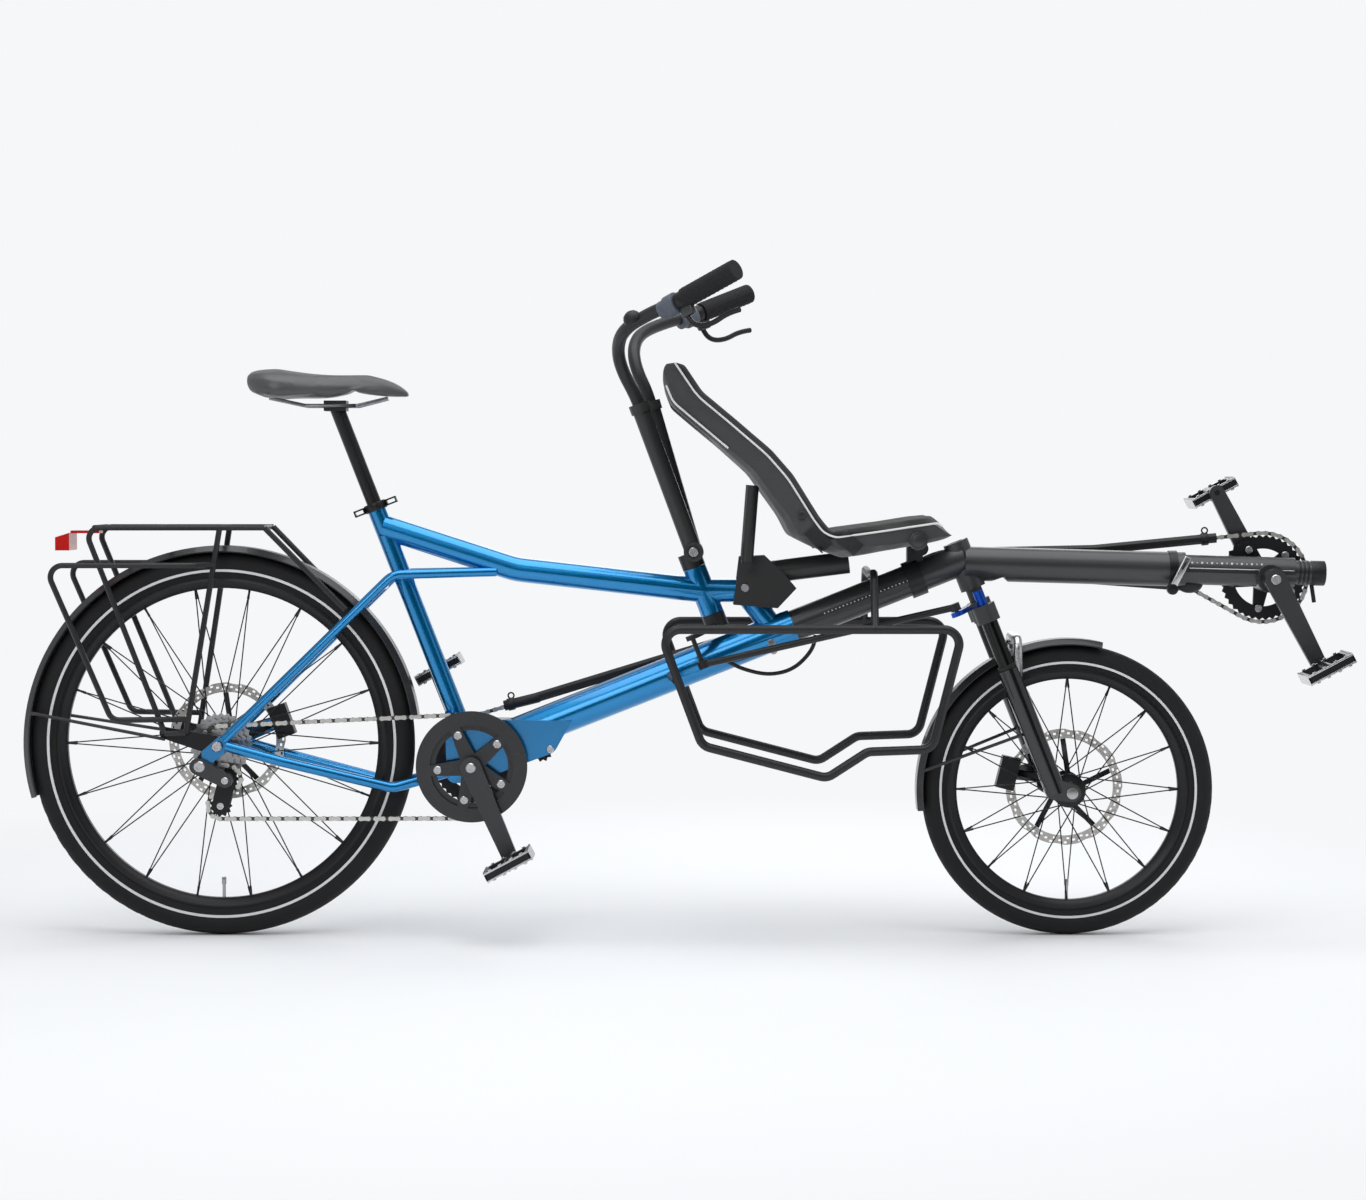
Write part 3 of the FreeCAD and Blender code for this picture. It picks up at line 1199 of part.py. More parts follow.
def mudguard(axle, wheel_radius, start, end):
    inner = wheel_radius + MUDGUARD_GAP
    outer = inner + MUDGUARD_THICKNESS
    edge = MUDGUARD_HALF_WIDTH
    flat = MUDGUARD_HALF_WIDTH - MUDGUARD_SIDE
    profile = [(outer - MUDGUARD_SIDE, -edge), (outer, -flat), (outer, flat), (outer - MUDGUARD_SIDE, edge),
               (inner - MUDGUARD_SIDE, edge), (inner, flat), (inner, -flat), (inner - MUDGUARD_SIDE, -edge)]
    corners = [vec(axle.x + radius, y, axle.z) for radius, y in profile]
    corners.append(corners[0])
    shell = Part.Face(Part.makePolygon(corners)).revolve(axle, SIDEWAYS * -1.0, end - start)
    shell.rotate(axle, SIDEWAYS * -1.0, start)
    return shell


def mudguard_stay(axle, wheel_radius, angle, foot):
    # A rod on each side from the guard's edge to the foot, which is given on the left side.
    edge = polar(axle, wheel_radius, angle)
    start = vec(edge.x, MUDGUARD_HALF_WIDTH + MUDGUARD_STAY_SETBACK, edge.z)
    rod = tube([start, foot], STAY_ROD_RADIUS, sides=8)
    return [rod, mirrored(rod)]


def mudguard_tab(axle, wheel_radius, angle, reach):
    low = polar(axle, wheel_radius + MUDGUARD_GAP + MUDGUARD_THICKNESS / 2.0, angle)
    return cylinder(low, polar(axle, reach, angle), STAY_ROD_RADIUS * 2.0)


def front_mudguard():
    foot = fork_point(-LEG_RADIUS - SEAT_GAP, LEG_SPREAD, MUDGUARD_STAY_HEIGHT)
    arch = fork_point(ARCH_REACH, 0.0, LEG_TOP + ARCH_RISE) - FRONT_AXLE
    angle = math.degrees(math.atan2(arch.z, arch.x))
    pieces = [mudguard(FRONT_AXLE, FRONT_RADIUS, FRONT_MUDGUARD_START, FRONT_MUDGUARD_END),
              mudguard_tab(FRONT_AXLE, FRONT_RADIUS, angle, arch.Length - ARCH_RADIUS - SEAT_GAP)]
    pieces += mudguard_stay(FRONT_AXLE, FRONT_RADIUS, FRONT_STAY_ANGLE, foot)
    return fused(pieces)


def rear_mudguard():
    foot_y = REAR_HUB_WIDTH / 2.0 + DROPOUT_THICKNESS + STAY_ROD_RADIUS + STAY_ROD_LEAN
    foot = rack_foot() + vec(0.0, foot_y, -RACK_ROD_RADIUS * 2.0)
    bridge = bridge_point() - REAR_AXLE
    angle = math.degrees(math.atan2(bridge.z, bridge.x))
    pieces = [mudguard(REAR_AXLE, REAR_RADIUS, REAR_MUDGUARD_START, REAR_MUDGUARD_END),
              mudguard_tab(REAR_AXLE, REAR_RADIUS, angle, bridge.Length - BRIDGE_RADIUS - SEAT_GAP)]
    pieces += mudguard_stay(REAR_AXLE, REAR_RADIUS, REAR_STAY_ANGLE, foot)
    return fused(pieces)


def caliper(axle, angle, offset, outer_y):
    # A caliper that straddles the rotor's band, from just inside the rotor out to its bracket.
    half = CALIPER_LENGTH / 2.0
    inner_y = offset - CALIPER_INNER_WIDTH
    inner = ROTOR_RADIUS - ROTOR_BAND
    body = Part.makeBox(CALIPER_HEIGHT, outer_y - inner_y, CALIPER_LENGTH, vec(inner, inner_y, -half))
    slot = Part.makeBox(CALIPER_HEIGHT, CALIPER_SLOT, CALIPER_LENGTH + OVERRUN * 2.0,
                        vec(inner - (CALIPER_HEIGHT - ROTOR_BAND) / 2.0,
                            offset - CALIPER_SLOT / 2.0, -half - OVERRUN))
    body = body.cut(slot)
    body.rotate(vec(0.0, 0.0, 0.0), SIDEWAYS, -angle)
    body.translate(axle)
    return body


# Cranks and pedals

def crank_end(centre, length, angle, side):
    return polar(centre, length, angle if side < 0.0 else angle + 180.0)


def crankset(centre, length, angle, ring_side, ring_offset, teeth, guard, second_teeth):
    pieces = [disc(centre, BB_AXLE_RADIUS, -CRANK_OFFSET, CRANK_OFFSET)]
    for side in (-1.0, 1.0):
        low = side * CRANK_OFFSET - CRANK_THICKNESS / 2.0
        end = crank_end(centre, length, angle, side)
        pieces.append(link_plate(centre, end, CRANK_EYE_RADIUS, CRANK_TOE_RADIUS, low, low + CRANK_THICKNESS))
        inner, outer = sorted((side * (BB_HALF_WIDTH + BOSS_GAP),
                               side * (CRANK_OFFSET - CRANK_THICKNESS / 2.0 + OVERRUN)))
        pieces.append(disc(centre, CRANK_EYE_RADIUS, inner, outer))
    specs = [(ring_side, ring_offset, teeth)]
    if second_teeth:
        specs.append((-ring_side, TIMING_CHAIN_OFFSET, second_teeth))
    for side, offset, count in specs:
        middle = side * offset
        radius = pitch_radius(count) - TOOTH_CLEARANCE - TOOTH_DEPTH
        ring = toothed_plate(centre, count, middle - RING_THICKNESS / 2.0, middle + RING_THICKNESS / 2.0)
        ring = ring.cut(disc(centre, radius - RING_BAND, middle - OVERRUN * 3.0, middle + OVERRUN * 3.0))
        pieces.append(ring)
        low, high = sorted((middle - side * RING_THICKNESS / 2.0, middle + side * SPIDER_THICKNESS))
        for arm in range(SPIDER_ARMS):
            tip = polar(centre, radius - RING_BAND * SPIDER_HOLD_SHARE, angle + ARM_STEP * (arm + 0.5))
            pieces.append(link_plate(centre, tip, SPIDER_WIDTH, SPIDER_WIDTH * SPIDER_TIP_SHARE, low, high))
    if guard:
        low = -ring_offset - SPIDER_THICKNESS - GUARD_THICKNESS
        pieces.append(ring_plate(centre, GUARD_RADIUS, GUARD_RADIUS - GUARD_BAND, low, low + GUARD_THICKNESS))
        for arm in range(SPIDER_ARMS):
            tip = polar(centre, GUARD_RADIUS - GUARD_BAND * SPIDER_HOLD_SHARE, angle + ARM_STEP * (arm + 0.5))
            pieces.append(link_plate(centre, tip, SPIDER_WIDTH, SPIDER_WIDTH * SPIDER_TIP_SHARE,
                                     low, low + GUARD_THICKNESS + OVERRUN))
    body = fused(pieces)
    for side in (-1.0, 1.0):
        end = crank_end(centre, length, angle, side)
        low, high = sorted((side * (CRANK_OFFSET - CRANK_THICKNESS), side * (CRANK_OFFSET + CRANK_THICKNESS)))
        body = body.cut(disc(end, PEDAL_AXLE_RADIUS + RUNNING_FIT, low, high))
    return body


def pedal(centre, length, angle, side):
    end = crank_end(centre, length, angle, side)
    inner = CRANK_OFFSET - CRANK_THICKNESS / 2.0
    start = CRANK_OFFSET + CRANK_THICKNESS / 2.0 + PEDAL_GAP
    middle = start + PEDAL_WIDTH / 2.0
    half = PEDAL_LENGTH / 2.0
    height = PEDAL_HEIGHT / 2.0
    pieces = []
    for low in (start, start + PEDAL_WIDTH - PEDAL_BAR):
        pieces.append(Part.makeBox(PEDAL_LENGTH, PEDAL_BAR, PEDAL_HEIGHT, vec(-half, low, -height)))
    for x in (-half, half - PEDAL_BAR):
        pieces.append(Part.makeBox(PEDAL_BAR, PEDAL_WIDTH, PEDAL_HEIGHT, vec(x, start, -height)))
    origin = vec(0.0, 0.0, 0.0)
    pieces.append(disc(origin, PEDAL_BARREL_RADIUS, start - PEDAL_GAP / 2.0, start + PEDAL_WIDTH - OVERRUN))
    pieces.append(disc(origin, PEDAL_AXLE_RADIUS, inner, start))
    body = fused(pieces)
    if side < 0.0:
        body = mirrored(body)
    body.rotate(origin, SIDEWAYS, -PEDAL_PITCH)
    body.translate(vec(end.x, 0.0, end.z))
    return body


# Derailleur

def derailleur_point():
    return REAR_AXLE - vec(DERAILLEUR_BODY_BACK, 0.0, DERAILLEUR_BODY_DROP)


def derailleur():
    upper = REAR_AXLE + vec(UPPER_PULLEY_REACH, 0.0, -UPPER_PULLEY_DROP)
    lower = REAR_AXLE + vec(LOWER_PULLEY_REACH, 0.0, -LOWER_PULLEY_DROP)
    pieces = []
    for inner in (CAGE_GAP, -CAGE_GAP - CAGE_THICKNESS):
        low = -DRIVE_CHAIN_OFFSET + inner
        pieces.append(link_plate(upper, lower, CAGE_RADIUS, CAGE_RADIUS, low, low + CAGE_THICKNESS))
    half = PULLEY_THICKNESS / 2.0
    for centre in (upper, lower):
        pieces.append(toothed_plate(centre, PULLEY_TEETH,
                                    -DRIVE_CHAIN_OFFSET - half, -DRIVE_CHAIN_OFFSET + half))
        pieces.append(disc(centre, PULLEY_BORE_RADIUS,
                           -DRIVE_CHAIN_OFFSET - CAGE_GAP, -DRIVE_CHAIN_OFFSET + CAGE_GAP))
    outer = -DRIVE_CHAIN_OFFSET - CAGE_GAP - CAGE_THICKNESS
    body = derailleur_point()
    plane = -REAR_HUB_WIDTH / 2.0 - DROPOUT_THICKNESS
    pieces.append(disc(upper, CAGE_BOSS_RADIUS, plane - DERAILLEUR_LINK, outer))
    pieces.append(disc(body, DERAILLEUR_BODY_RADIUS, plane - DERAILLEUR_LINK, plane))
    pieces.append(link_plate(body, upper, DERAILLEUR_BODY_RADIUS, CAGE_BOSS_RADIUS,
                             plane - DERAILLEUR_LINK, plane - OVERRUN))
    return fused(pieces)


# Racks

def rack_deck(reach, y):
    return REAR_AXLE + vec(reach, y, REAR_RADIUS + RACK_ROOM)


def rear_rack():
    y = RACK_HALF_WIDTH
    foot_y = REAR_HUB_WIDTH / 2.0 + DROPOUT_THICKNESS + RACK_ROD_RADIUS + SEAT_GAP
    stay_y = (REAR_HUB_WIDTH + DROPOUT_THICKNESS) / 2.0
    share = RACK_STRUT_REACH / (seatstay_bend() - REAR_AXLE).x
    strut = REAR_AXLE + (seatstay_bend() - REAR_AXLE) * share
    strut = strut + vec(0.0, stay_y + (SEATSTAY_BEND_Y - stay_y) * share, RACK_STRUT_LIFT)
    pieces = []
    for side in (-1.0, 1.0):
        foot = rack_foot() + SIDEWAYS * (side * foot_y)
        stay_foot = REAR_AXLE + vec(RACK_STAY_FOOT_REACH, side * foot_y, RACK_FOOT_LIFT)
        stay_top = rack_deck(RACK_STAY_TOP_REACH, side * y)
        front = rack_deck(RACK_FRONT_REACH, side * y)
        pieces.append(tube([front, rack_deck(RACK_REAR_REACH, side * y), foot],
                           RACK_ROD_RADIUS, RACK_BEND, sides=8))
        pieces.append(tube([stay_top, stay_foot], RACK_ROD_RADIUS, sides=8))
        pieces.append(tube([foot, stay_foot], RACK_ROD_RADIUS, sides=8))
        pieces.append(tube([front, vec(strut.x, side * strut.y, strut.z)], RACK_ROD_RADIUS, sides=8))
        pieces.append(side_loop(stay_top, stay_foot, side))
    rear = RACK_REAR_REACH + RACK_BEND
    fore = RACK_FRONT_REACH - RACK_ROD_RADIUS
    for reach in (fore, RACK_STAY_TOP_REACH, (RACK_STAY_TOP_REACH + rear) / 2.0, rear):
        pieces.append(tube([rack_deck(reach, -y), rack_deck(reach, y)], RACK_ROD_RADIUS, sides=8))
    pieces.append(tube([rack_deck(fore, 0.0), rack_deck(rear, 0.0)], RACK_ROD_RADIUS, sides=8))
    return fused(pieces)


def side_loop(stay_top, stay_foot, side):
    def on_stay(z):
        return stay_top + (stay_foot - stay_top) * ((stay_top.z - z) / (stay_top.z - stay_foot.z))
    y = side * SIDE_LOOP_Y
    drop = vec(0.0, 0.0, SIDE_LOOP_DROP)
    front = rack_deck(SIDE_LOOP_FRONT_REACH, y) - drop
    low = REAR_AXLE + vec(SIDE_LOOP_LOW_REACH, y, SIDE_LOOP_LOW_LIFT)
    points = [on_stay(front.z), front, rack_deck(SIDE_LOOP_REAR_REACH, y) - drop, low, on_stay(low.z)]
    return tube(points, RACK_ROD_RADIUS, SIDE_LOOP_BEND, sides=8)


def rear_lamp():
    middle = rack_deck(LAMP_REACH, 0.0) - vec(0.0, 0.0, LAMP_DROP)
    rear = middle.x - LAMP_DEPTH / 2.0
    front = middle.x + LAMP_DEPTH / 2.0
    low = middle.z - LAMP_HEIGHT / 2.0
    high = middle.z + LAMP_HEIGHT / 2.0
    body = plate([(rear, low), (front, low), (front, high), (rear, middle.z + LAMP_HEIGHT / 4.0)],
                 -LAMP_HALF_WIDTH, LAMP_HALF_WIDTH)
    last = rack_deck(RACK_REAR_REACH + RACK_BEND, 0.0)
    reach = last.x - front
    top = last.z - RACK_ROD_RADIUS - SEAT_GAP
    bracket = Part.makeBox(reach + OVERRUN, LAMP_HALF_WIDTH, top - high + OVERRUN,
                           vec(front - OVERRUN, -LAMP_HALF_WIDTH / 2.0, high - OVERRUN))
    return fused([body, bracket])


def lowrider(side):
    y = side * LOWRIDER_Y
    corners = [vec(LOWRIDER_BACK_X, y, LOWRIDER_TOP_Z), vec(LOWRIDER_BACK_LOW_X, y, LOWRIDER_BACK_LOW_Z),
               vec(LOWRIDER_DIP_X, y, LOWRIDER_DIP_Z), vec(LOWRIDER_DIP_END_X, y, LOWRIDER_DIP_END_Z),
               vec(LOWRIDER_FRONT_LOW_X, y, LOWRIDER_FRONT_LOW_Z), vec(LOWRIDER_FRONT_X, y, LOWRIDER_TOP_Z)]
    top = vec(LOWRIDER_FRONT_BAR_X, y, LOWRIDER_TOP_Z)
    loop = tube([top] + corners + [top + vec(SEAT_GAP, 0.0, 0.0)], LOWRIDER_RADIUS, LOWRIDER_BEND, sides=8)
    frame_point = main_tube_point(LOWRIDER_REAR_BAR_X)
    rear_bar = cylinder(frame_point, vec(LOWRIDER_LEG_X, y, frame_point.z), LOWRIDER_BAR_RADIUS)
    crest = main_tube_point(LOWRIDER_FRONT_BAR_X) + vec(0.0, 0.0, LOWRIDER_BAR_RISE)
    front_bar = tube([crest, crest + vec(0.0, side * LOWRIDER_BAR_OUT, LOWRIDER_BAR_RADIUS), top],
                     LOWRIDER_BAR_RADIUS, LOWRIDER_BEND, sides=8)
    body = fused([loop, rear_bar, front_bar])
    start = main_tube_point(MAIN_TUBE_START_X)
    middle = main_tube_point(MAIN_TUBE_END_X)
    end = fork_point(0.0, 0.0, FRONT_HEAD_LOW)
    body = body.cut(cylinder(start, middle, MAIN_TUBE_RADIUS + SEAT_GAP))
    return body.cut(cylinder(middle, main_tube_point(end.x), FRONT_TUBE_RADIUS + SEAT_GAP))


# Seats

def captain_saddle():
    # Sections from the tail to the nose; each share row is (along, half width, rise, lip), and the
    # lip is how far the side hangs below the flat base, or at the tail how far it stays above it.
    base = SADDLE_TOP_Z - SADDLE_THICKNESS
    wires = []
    for along, across, rise, lip in SADDLE_SECTION_SHARES:
        x = SADDLE_TAIL_X + (SADDLE_NOSE_X - SADDLE_TAIL_X) * along
        wide = SADDLE_HALF_WIDTH * across
        top = SADDLE_TOP_Z + SADDLE_THICKNESS * rise
        under = base + (SADDLE_THICKNESS * lip if along == 0.0 else 0.0)
        edge = under - (SADDLE_THICKNESS * lip if along > 0.0 else 0.0)
        side = [(wide * share, edge + (top - edge) * height) for share, height in SADDLE_ROUND_SHARES]
        side.append((wide * SADDLE_LIP_SHARE, under))
        outline = [vec(x, -y, z) for y, z in side] + [vec(x, y, z) for y, z in side[::-1]]
        wires.append(Part.makePolygon(outline + outline[:1]))
    room = Part.makeBox(SADDLE_NOSE_X - SADDLE_TAIL_X, RAIL_ROOM_WIDTH, SADDLE_THICKNESS,
                        vec(SADDLE_TAIL_X, -RAIL_ROOM_WIDTH / 2.0, base - SADDLE_THICKNESS))
    return Part.makeLoft(wires, True, False).cut(room)


def seatpost():
    seat_top = vec(SEAT_TUBE_TOP_X, 0.0, SEAT_TUBE_TOP_Z)
    line = unit(seat_top - vec(SEAT_TUBE_BOTTOM_X, 0.0, SEAT_TUBE_BOTTOM_Z))
    low = seat_top - line * (POST_DEPTH * POST_HOLD_SHARE)
    top = seat_top + line * POST_REACH
    pieces = [cylinder(low, top, POST_RADIUS)]
    pieces.append(Part.makeBox(POST_HEAD_LENGTH, POST_HEAD_WIDTH, POST_HEAD_HEIGHT,
                               top - vec(POST_HEAD_LENGTH, POST_HEAD_WIDTH, POST_HEAD_HEIGHT) / 2.0))
    under = SADDLE_TOP_Z - SADDLE_THICKNESS - SADDLE_RAIL_RADIUS - SEAT_GAP
    for side in (-1.0, 1.0):
        y = side * POST_HEAD_WIDTH / 2.0
        rail = [vec(SADDLE_TAIL_X + RAIL_SETBACK, side * RAIL_TAIL_Y, under),
                vec(top.x - RAIL_BACK_REACH, y, top.z), vec(top.x + RAIL_FRONT_REACH, y, top.z),
                vec(SADDLE_NOSE_X - RAIL_SETBACK, side * RAIL_NOSE_Y, under)]
        pieces.append(tube(rail, SADDLE_RAIL_RADIUS, POST_RADIUS, sides=8))
    return fused(pieces)


def seat_profile():
    # The stoker's seat from the side: along its top from the back's upper edge, round the front edge
    # and back along its underside.
    return SEAT_FACE_OUTLINE + SEAT_UNDER_OUTLINE


def seat_recess():
    # The hollow behind the upper back, between the side cushions, where the handlebar risers swing.
    back = SEAT_UNDER_OUTLINE[SEAT_RECESS_START:]
    inner = [(x + SEAT_RECESS_DEPTH * share, z) for (x, z), share in zip(back, SEAT_RECESS_SHARES)]
    top = (inner[-1][0], inner[-1][1] + SEAT_RECESS_DEPTH)
    outer = [(x - SEAT_RECESS_DEPTH, z) for x, z in back]
    outer_top = (outer[-1][0], outer[-1][1] + SEAT_RECESS_DEPTH)
    return plate(inner + [top, outer_top] + outer[::-1], -SEAT_RECESS_HALF_WIDTH, SEAT_RECESS_HALF_WIDTH)


def seat_cushion():
    return plate(seat_profile(), -SEAT_HALF_WIDTH, SEAT_HALF_WIDTH).cut(seat_recess())


def seat_frame():
    inner = NOSE_TUBE_RADIUS + SEAT_GAP
    outer = inner + SEAT_BRACKET_THICKNESS
    foot = vec(SEAT_STRUT_FOOT_X, 0.0, SEAT_STRUT_FOOT_Z)
    pieces = []
    for side in (-1.0, 1.0):
        low, high = sorted((side * inner, side * outer))
        pieces.append(plate(SEAT_BRACKET_OUTLINE, low, high))
        y = side * SEAT_STRUT_Y
        pieces.append(cylinder(vec(SEAT_STRUT_FOOT_X, y, SEAT_STRUT_FOOT_Z),
                               vec(SEAT_STRUT_TOP_X, y, SEAT_STRUT_TOP_Z),
                               SEAT_STRUT_RADIUS))
    pieces.append(cylinder(foot - SIDEWAYS * SEAT_STRUT_Y, foot + SIDEWAYS * SEAT_STRUT_Y, SEAT_STRUT_RADIUS))
    carrier = vec(SEAT_CARRIER_X, 0.0, SEAT_CARRIER_Z)
    carrier_end = vec(SEAT_CARRIER_END_X, 0.0, SEAT_CARRIER_END_Z)
    pieces.append(cylinder(carrier, carrier_end, SEAT_CARRIER_RADIUS))
    half = SIDEWAYS * outer
    pieces.append(cylinder(carrier - half, carrier + half, SEAT_CARRIER_PIN_RADIUS))
    body = fused(pieces)
    seat = plate(seat_profile(), -SEAT_HALF_WIDTH * 2.0, SEAT_HALF_WIDTH * 2.0)
    return body.cut(seat)


def seat_clamp():
    # The clamp that slides on the front tube and carries the front of the seat's base.
    half = SLIDE_CLAMP_LENGTH / 2.0
    foot = main_tube_point(SLIDE_CLAMP_X)
    along = STEER_FORWARD * half
    ring = cylinder(foot - along, foot + along, FRONT_TUBE_RADIUS + SEAT_PAN_THICKNESS)
    post = Part.makeBox(SLIDE_CLAMP_LENGTH, FRONT_TUBE_RADIUS, SLIDE_KNOB_Z - foot.z + SLIDE_KNOB_RADIUS,
                        vec(SLIDE_CLAMP_X - half, -FRONT_TUBE_RADIUS / 2.0, foot.z))
    knob = disc(vec(SLIDE_KNOB_X, 0.0, SLIDE_KNOB_Z), SLIDE_KNOB_RADIUS, -SLIDE_KNOB_REACH, SLIDE_KNOB_REACH)
    body = fused([ring, post, knob])
    body = body.cut(plate(seat_profile(), -SEAT_HALF_WIDTH, SEAT_HALF_WIDTH))
    room = cylinder(main_tube_point(MAIN_TUBE_END_X), foot + along * 2.0, FRONT_TUBE_RADIUS + SEAT_GAP)
    return body.cut(room)


os.makedirs("parts", exist_ok=True)

save("rear_tyre", tyre(REAR_AXLE, REAR_BEAD_DIAMETER, REAR_TYRE_SECTION))
save("rear_rim", rim(REAR_AXLE, REAR_BEAD_DIAMETER, REAR_TYRE_SECTION))
save("rear_hub_and_spokes", hub_and_spokes(REAR_AXLE, REAR_BEAD_DIAMETER, REAR_HUB_WIDTH, REAR_FLANGE_RIGHT,
                                           REAR_FLANGE_LEFT, SPOKE_PAIRS_REAR))
save("rear_rotor", rotor(REAR_AXLE, REAR_ROTOR_OFFSET))
save("cassette", cassette())
save("front_tyre", tyre(FRONT_AXLE, FRONT_BEAD_DIAMETER, FRONT_TYRE_SECTION))
save("front_rim", rim(FRONT_AXLE, FRONT_BEAD_DIAMETER, FRONT_TYRE_SECTION))
save("front_hub_and_spokes", hub_and_spokes(FRONT_AXLE, FRONT_BEAD_DIAMETER, FRONT_HUB_WIDTH,
                                            FRONT_FLANGE_OFFSET, FRONT_FLANGE_OFFSET, SPOKE_PAIRS_FRONT))
save("front_rotor", rotor(FRONT_AXLE, FRONT_ROTOR_OFFSET))
save("main_frame", main_frame())
save("front_frame", front_frame())
save("boom", boom())
save("boom_clamp", boom_clamp())
save("steering_column", steering_column())
save("handlebar_risers", Part.makeCompound([riser(-1.0), riser(1.0)]))
save("handlebars", Part.makeCompound([handlebar(-1.0), handlebar(1.0)]))
save("grips", Part.makeCompound([grip(-1.0), grip(1.0)]))
save("brake_levers", Part.makeCompound([brake_lever(-1.0), brake_lever(1.0)]))
save("tie_rod", tie_rod())
save("control_cable", control_cable())
save("fork_crown", fork_crown())
save("fork_legs", fork_legs())
save("front_caliper", caliper(FRONT_AXLE, FRONT_CALIPER_ANGLE, FRONT_ROTOR_OFFSET,
                              LEG_SPREAD - LEG_RADIUS / 2.0 - SEAT_GAP))
save("rear_caliper", caliper(REAR_AXLE, REAR_CALIPER_ANGLE, REAR_ROTOR_OFFSET,
                             REAR_HUB_WIDTH / 2.0 - SEAT_GAP))
save("front_mudguard", front_mudguard())
save("rear_mudguard", rear_mudguard())
save("rear_crankset", crankset(CRANK, REAR_CRANK_LENGTH, REAR_CRANK_ANGLE, -1.0, DRIVE_CHAIN_OFFSET,
                               DRIVE_RING_TEETH, True, TIMING_RING_TEETH))
save("front_crankset", crankset(front_crank(), FRONT_CRANK_LENGTH, FRONT_CRANK_ANGLE, 1.0,
                                TIMING_CHAIN_OFFSET, TIMING_RING_TEETH, False, 0))
save("rear_pedal_right", pedal(CRANK, REAR_CRANK_LENGTH, REAR_CRANK_ANGLE, -1.0))
save("rear_pedal_left", pedal(CRANK, REAR_CRANK_LENGTH, REAR_CRANK_ANGLE, 1.0))
save("front_pedal_right", pedal(front_crank(), FRONT_CRANK_LENGTH, FRONT_CRANK_ANGLE, -1.0))
save("front_pedal_left", pedal(front_crank(), FRONT_CRANK_LENGTH, FRONT_CRANK_ANGLE, 1.0))
save("derailleur", derailleur())
save("chain_idler", chain_idler())
save("drive_chain", chain(drive_wheels(), True, -DRIVE_CHAIN_OFFSET))
save("timing_chain", Part.makeCompound([chain(timing_wheels_front(), False, TIMING_CHAIN_OFFSET),
                                        chain(timing_wheels_rear(), False, TIMING_CHAIN_OFFSET)]))
save("chain_tubes", chain_tubes())
save("rear_rack", rear_rack())
save("rear_lamp", rear_lamp())
save("lowriders", Part.makeCompound([lowrider(-1.0), lowrider(1.0)]))
save("captain_saddle", captain_saddle())
save("seatpost", seatpost())
save("seat_cushion", seat_cushion())
save("seat_frame", seat_frame())
save("seat_clamp", seat_clamp())
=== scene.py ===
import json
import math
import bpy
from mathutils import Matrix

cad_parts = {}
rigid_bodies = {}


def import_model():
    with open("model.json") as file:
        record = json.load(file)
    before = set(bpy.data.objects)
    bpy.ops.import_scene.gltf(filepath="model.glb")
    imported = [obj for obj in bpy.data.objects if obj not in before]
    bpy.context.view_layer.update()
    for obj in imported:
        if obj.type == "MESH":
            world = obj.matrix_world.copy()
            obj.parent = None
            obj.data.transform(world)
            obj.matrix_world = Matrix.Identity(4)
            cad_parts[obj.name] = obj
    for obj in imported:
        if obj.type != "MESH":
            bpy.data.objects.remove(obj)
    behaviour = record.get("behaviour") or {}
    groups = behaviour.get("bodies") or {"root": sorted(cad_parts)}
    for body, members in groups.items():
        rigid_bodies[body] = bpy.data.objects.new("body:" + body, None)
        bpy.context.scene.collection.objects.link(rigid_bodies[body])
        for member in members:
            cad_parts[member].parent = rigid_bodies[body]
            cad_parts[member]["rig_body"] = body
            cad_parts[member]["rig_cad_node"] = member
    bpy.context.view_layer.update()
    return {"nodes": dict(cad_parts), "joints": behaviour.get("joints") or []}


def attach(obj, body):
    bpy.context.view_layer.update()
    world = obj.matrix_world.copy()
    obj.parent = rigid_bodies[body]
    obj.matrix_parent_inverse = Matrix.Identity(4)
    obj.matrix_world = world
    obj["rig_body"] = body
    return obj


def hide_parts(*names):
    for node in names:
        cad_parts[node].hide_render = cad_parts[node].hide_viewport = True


bl_info = {
    "name": "Recumbent tandem",
    "version": (1, 0, 0),
    "blender": (4, 5, 0),
    "location": "View3D > Sidebar > Tandem",
    "description": "Dresses a semi-recumbent tandem bicycle, piece by piece",
    "category": "Object",
}

import bpy
from mathutils import Matrix, Vector
from mathutils.bvhtree import BVHTree

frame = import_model()

# Places are written in millimetres from the ground under the rear axle, with X forward, Y to the
# rider's left and Z up, and turned into the frame's metres by at().
MM = 0.001
RIGHT = -1.0
LEFT = 1.0
SIDES = ((RIGHT, "right"), (LEFT, "left"))
ENDS = (-1.0, 1.0)
SIDEWAYS = Vector((0.0, 1.0, 0.0))
UPWARD = Vector((0.0, 0.0, 1.0))
VIEW_REACH = 600.0
REAR_TYRE_RADIUS = 329.5
FRONT_TYRE_RADIUS = 250.0
JOINTS = {joint["name"]: joint for joint in frame["joints"]}
REAR_AXLE_PLACE = Vector(JOINTS["rear_wheel_spin"]["pos_m"])
FRONT_AXLE_PLACE = Vector(JOINTS["front_wheel_spin"]["pos_m"])
REAR_CRANK_PLACE = Vector(JOINTS["rear_crank_spin"]["pos_m"])
FRONT_CRANK_PLACE = Vector(JOINTS["front_crank_spin"]["pos_m"])
STEER_UP = Vector(JOINTS["handlebar_steer"]["axis"])
STEER_FORWARD = SIDEWAYS.cross(STEER_UP)
GROUND = REAR_AXLE_PLACE - Vector((0.0, 0.0, REAR_TYRE_RADIUS * MM))


def at(x, y, z):
    """A place in the frame's metres."""
    return GROUND + Vector((x, y, z)) * MM


def round_axle(axle, radius, angle, y):
    """A place round an axle, by its distance, its angle from straight ahead and its reach to the left."""
    turn = math.radians(angle)
    return axle + Vector((radius * math.cos(turn), y, radius * math.sin(turn))) * MM


# Materials

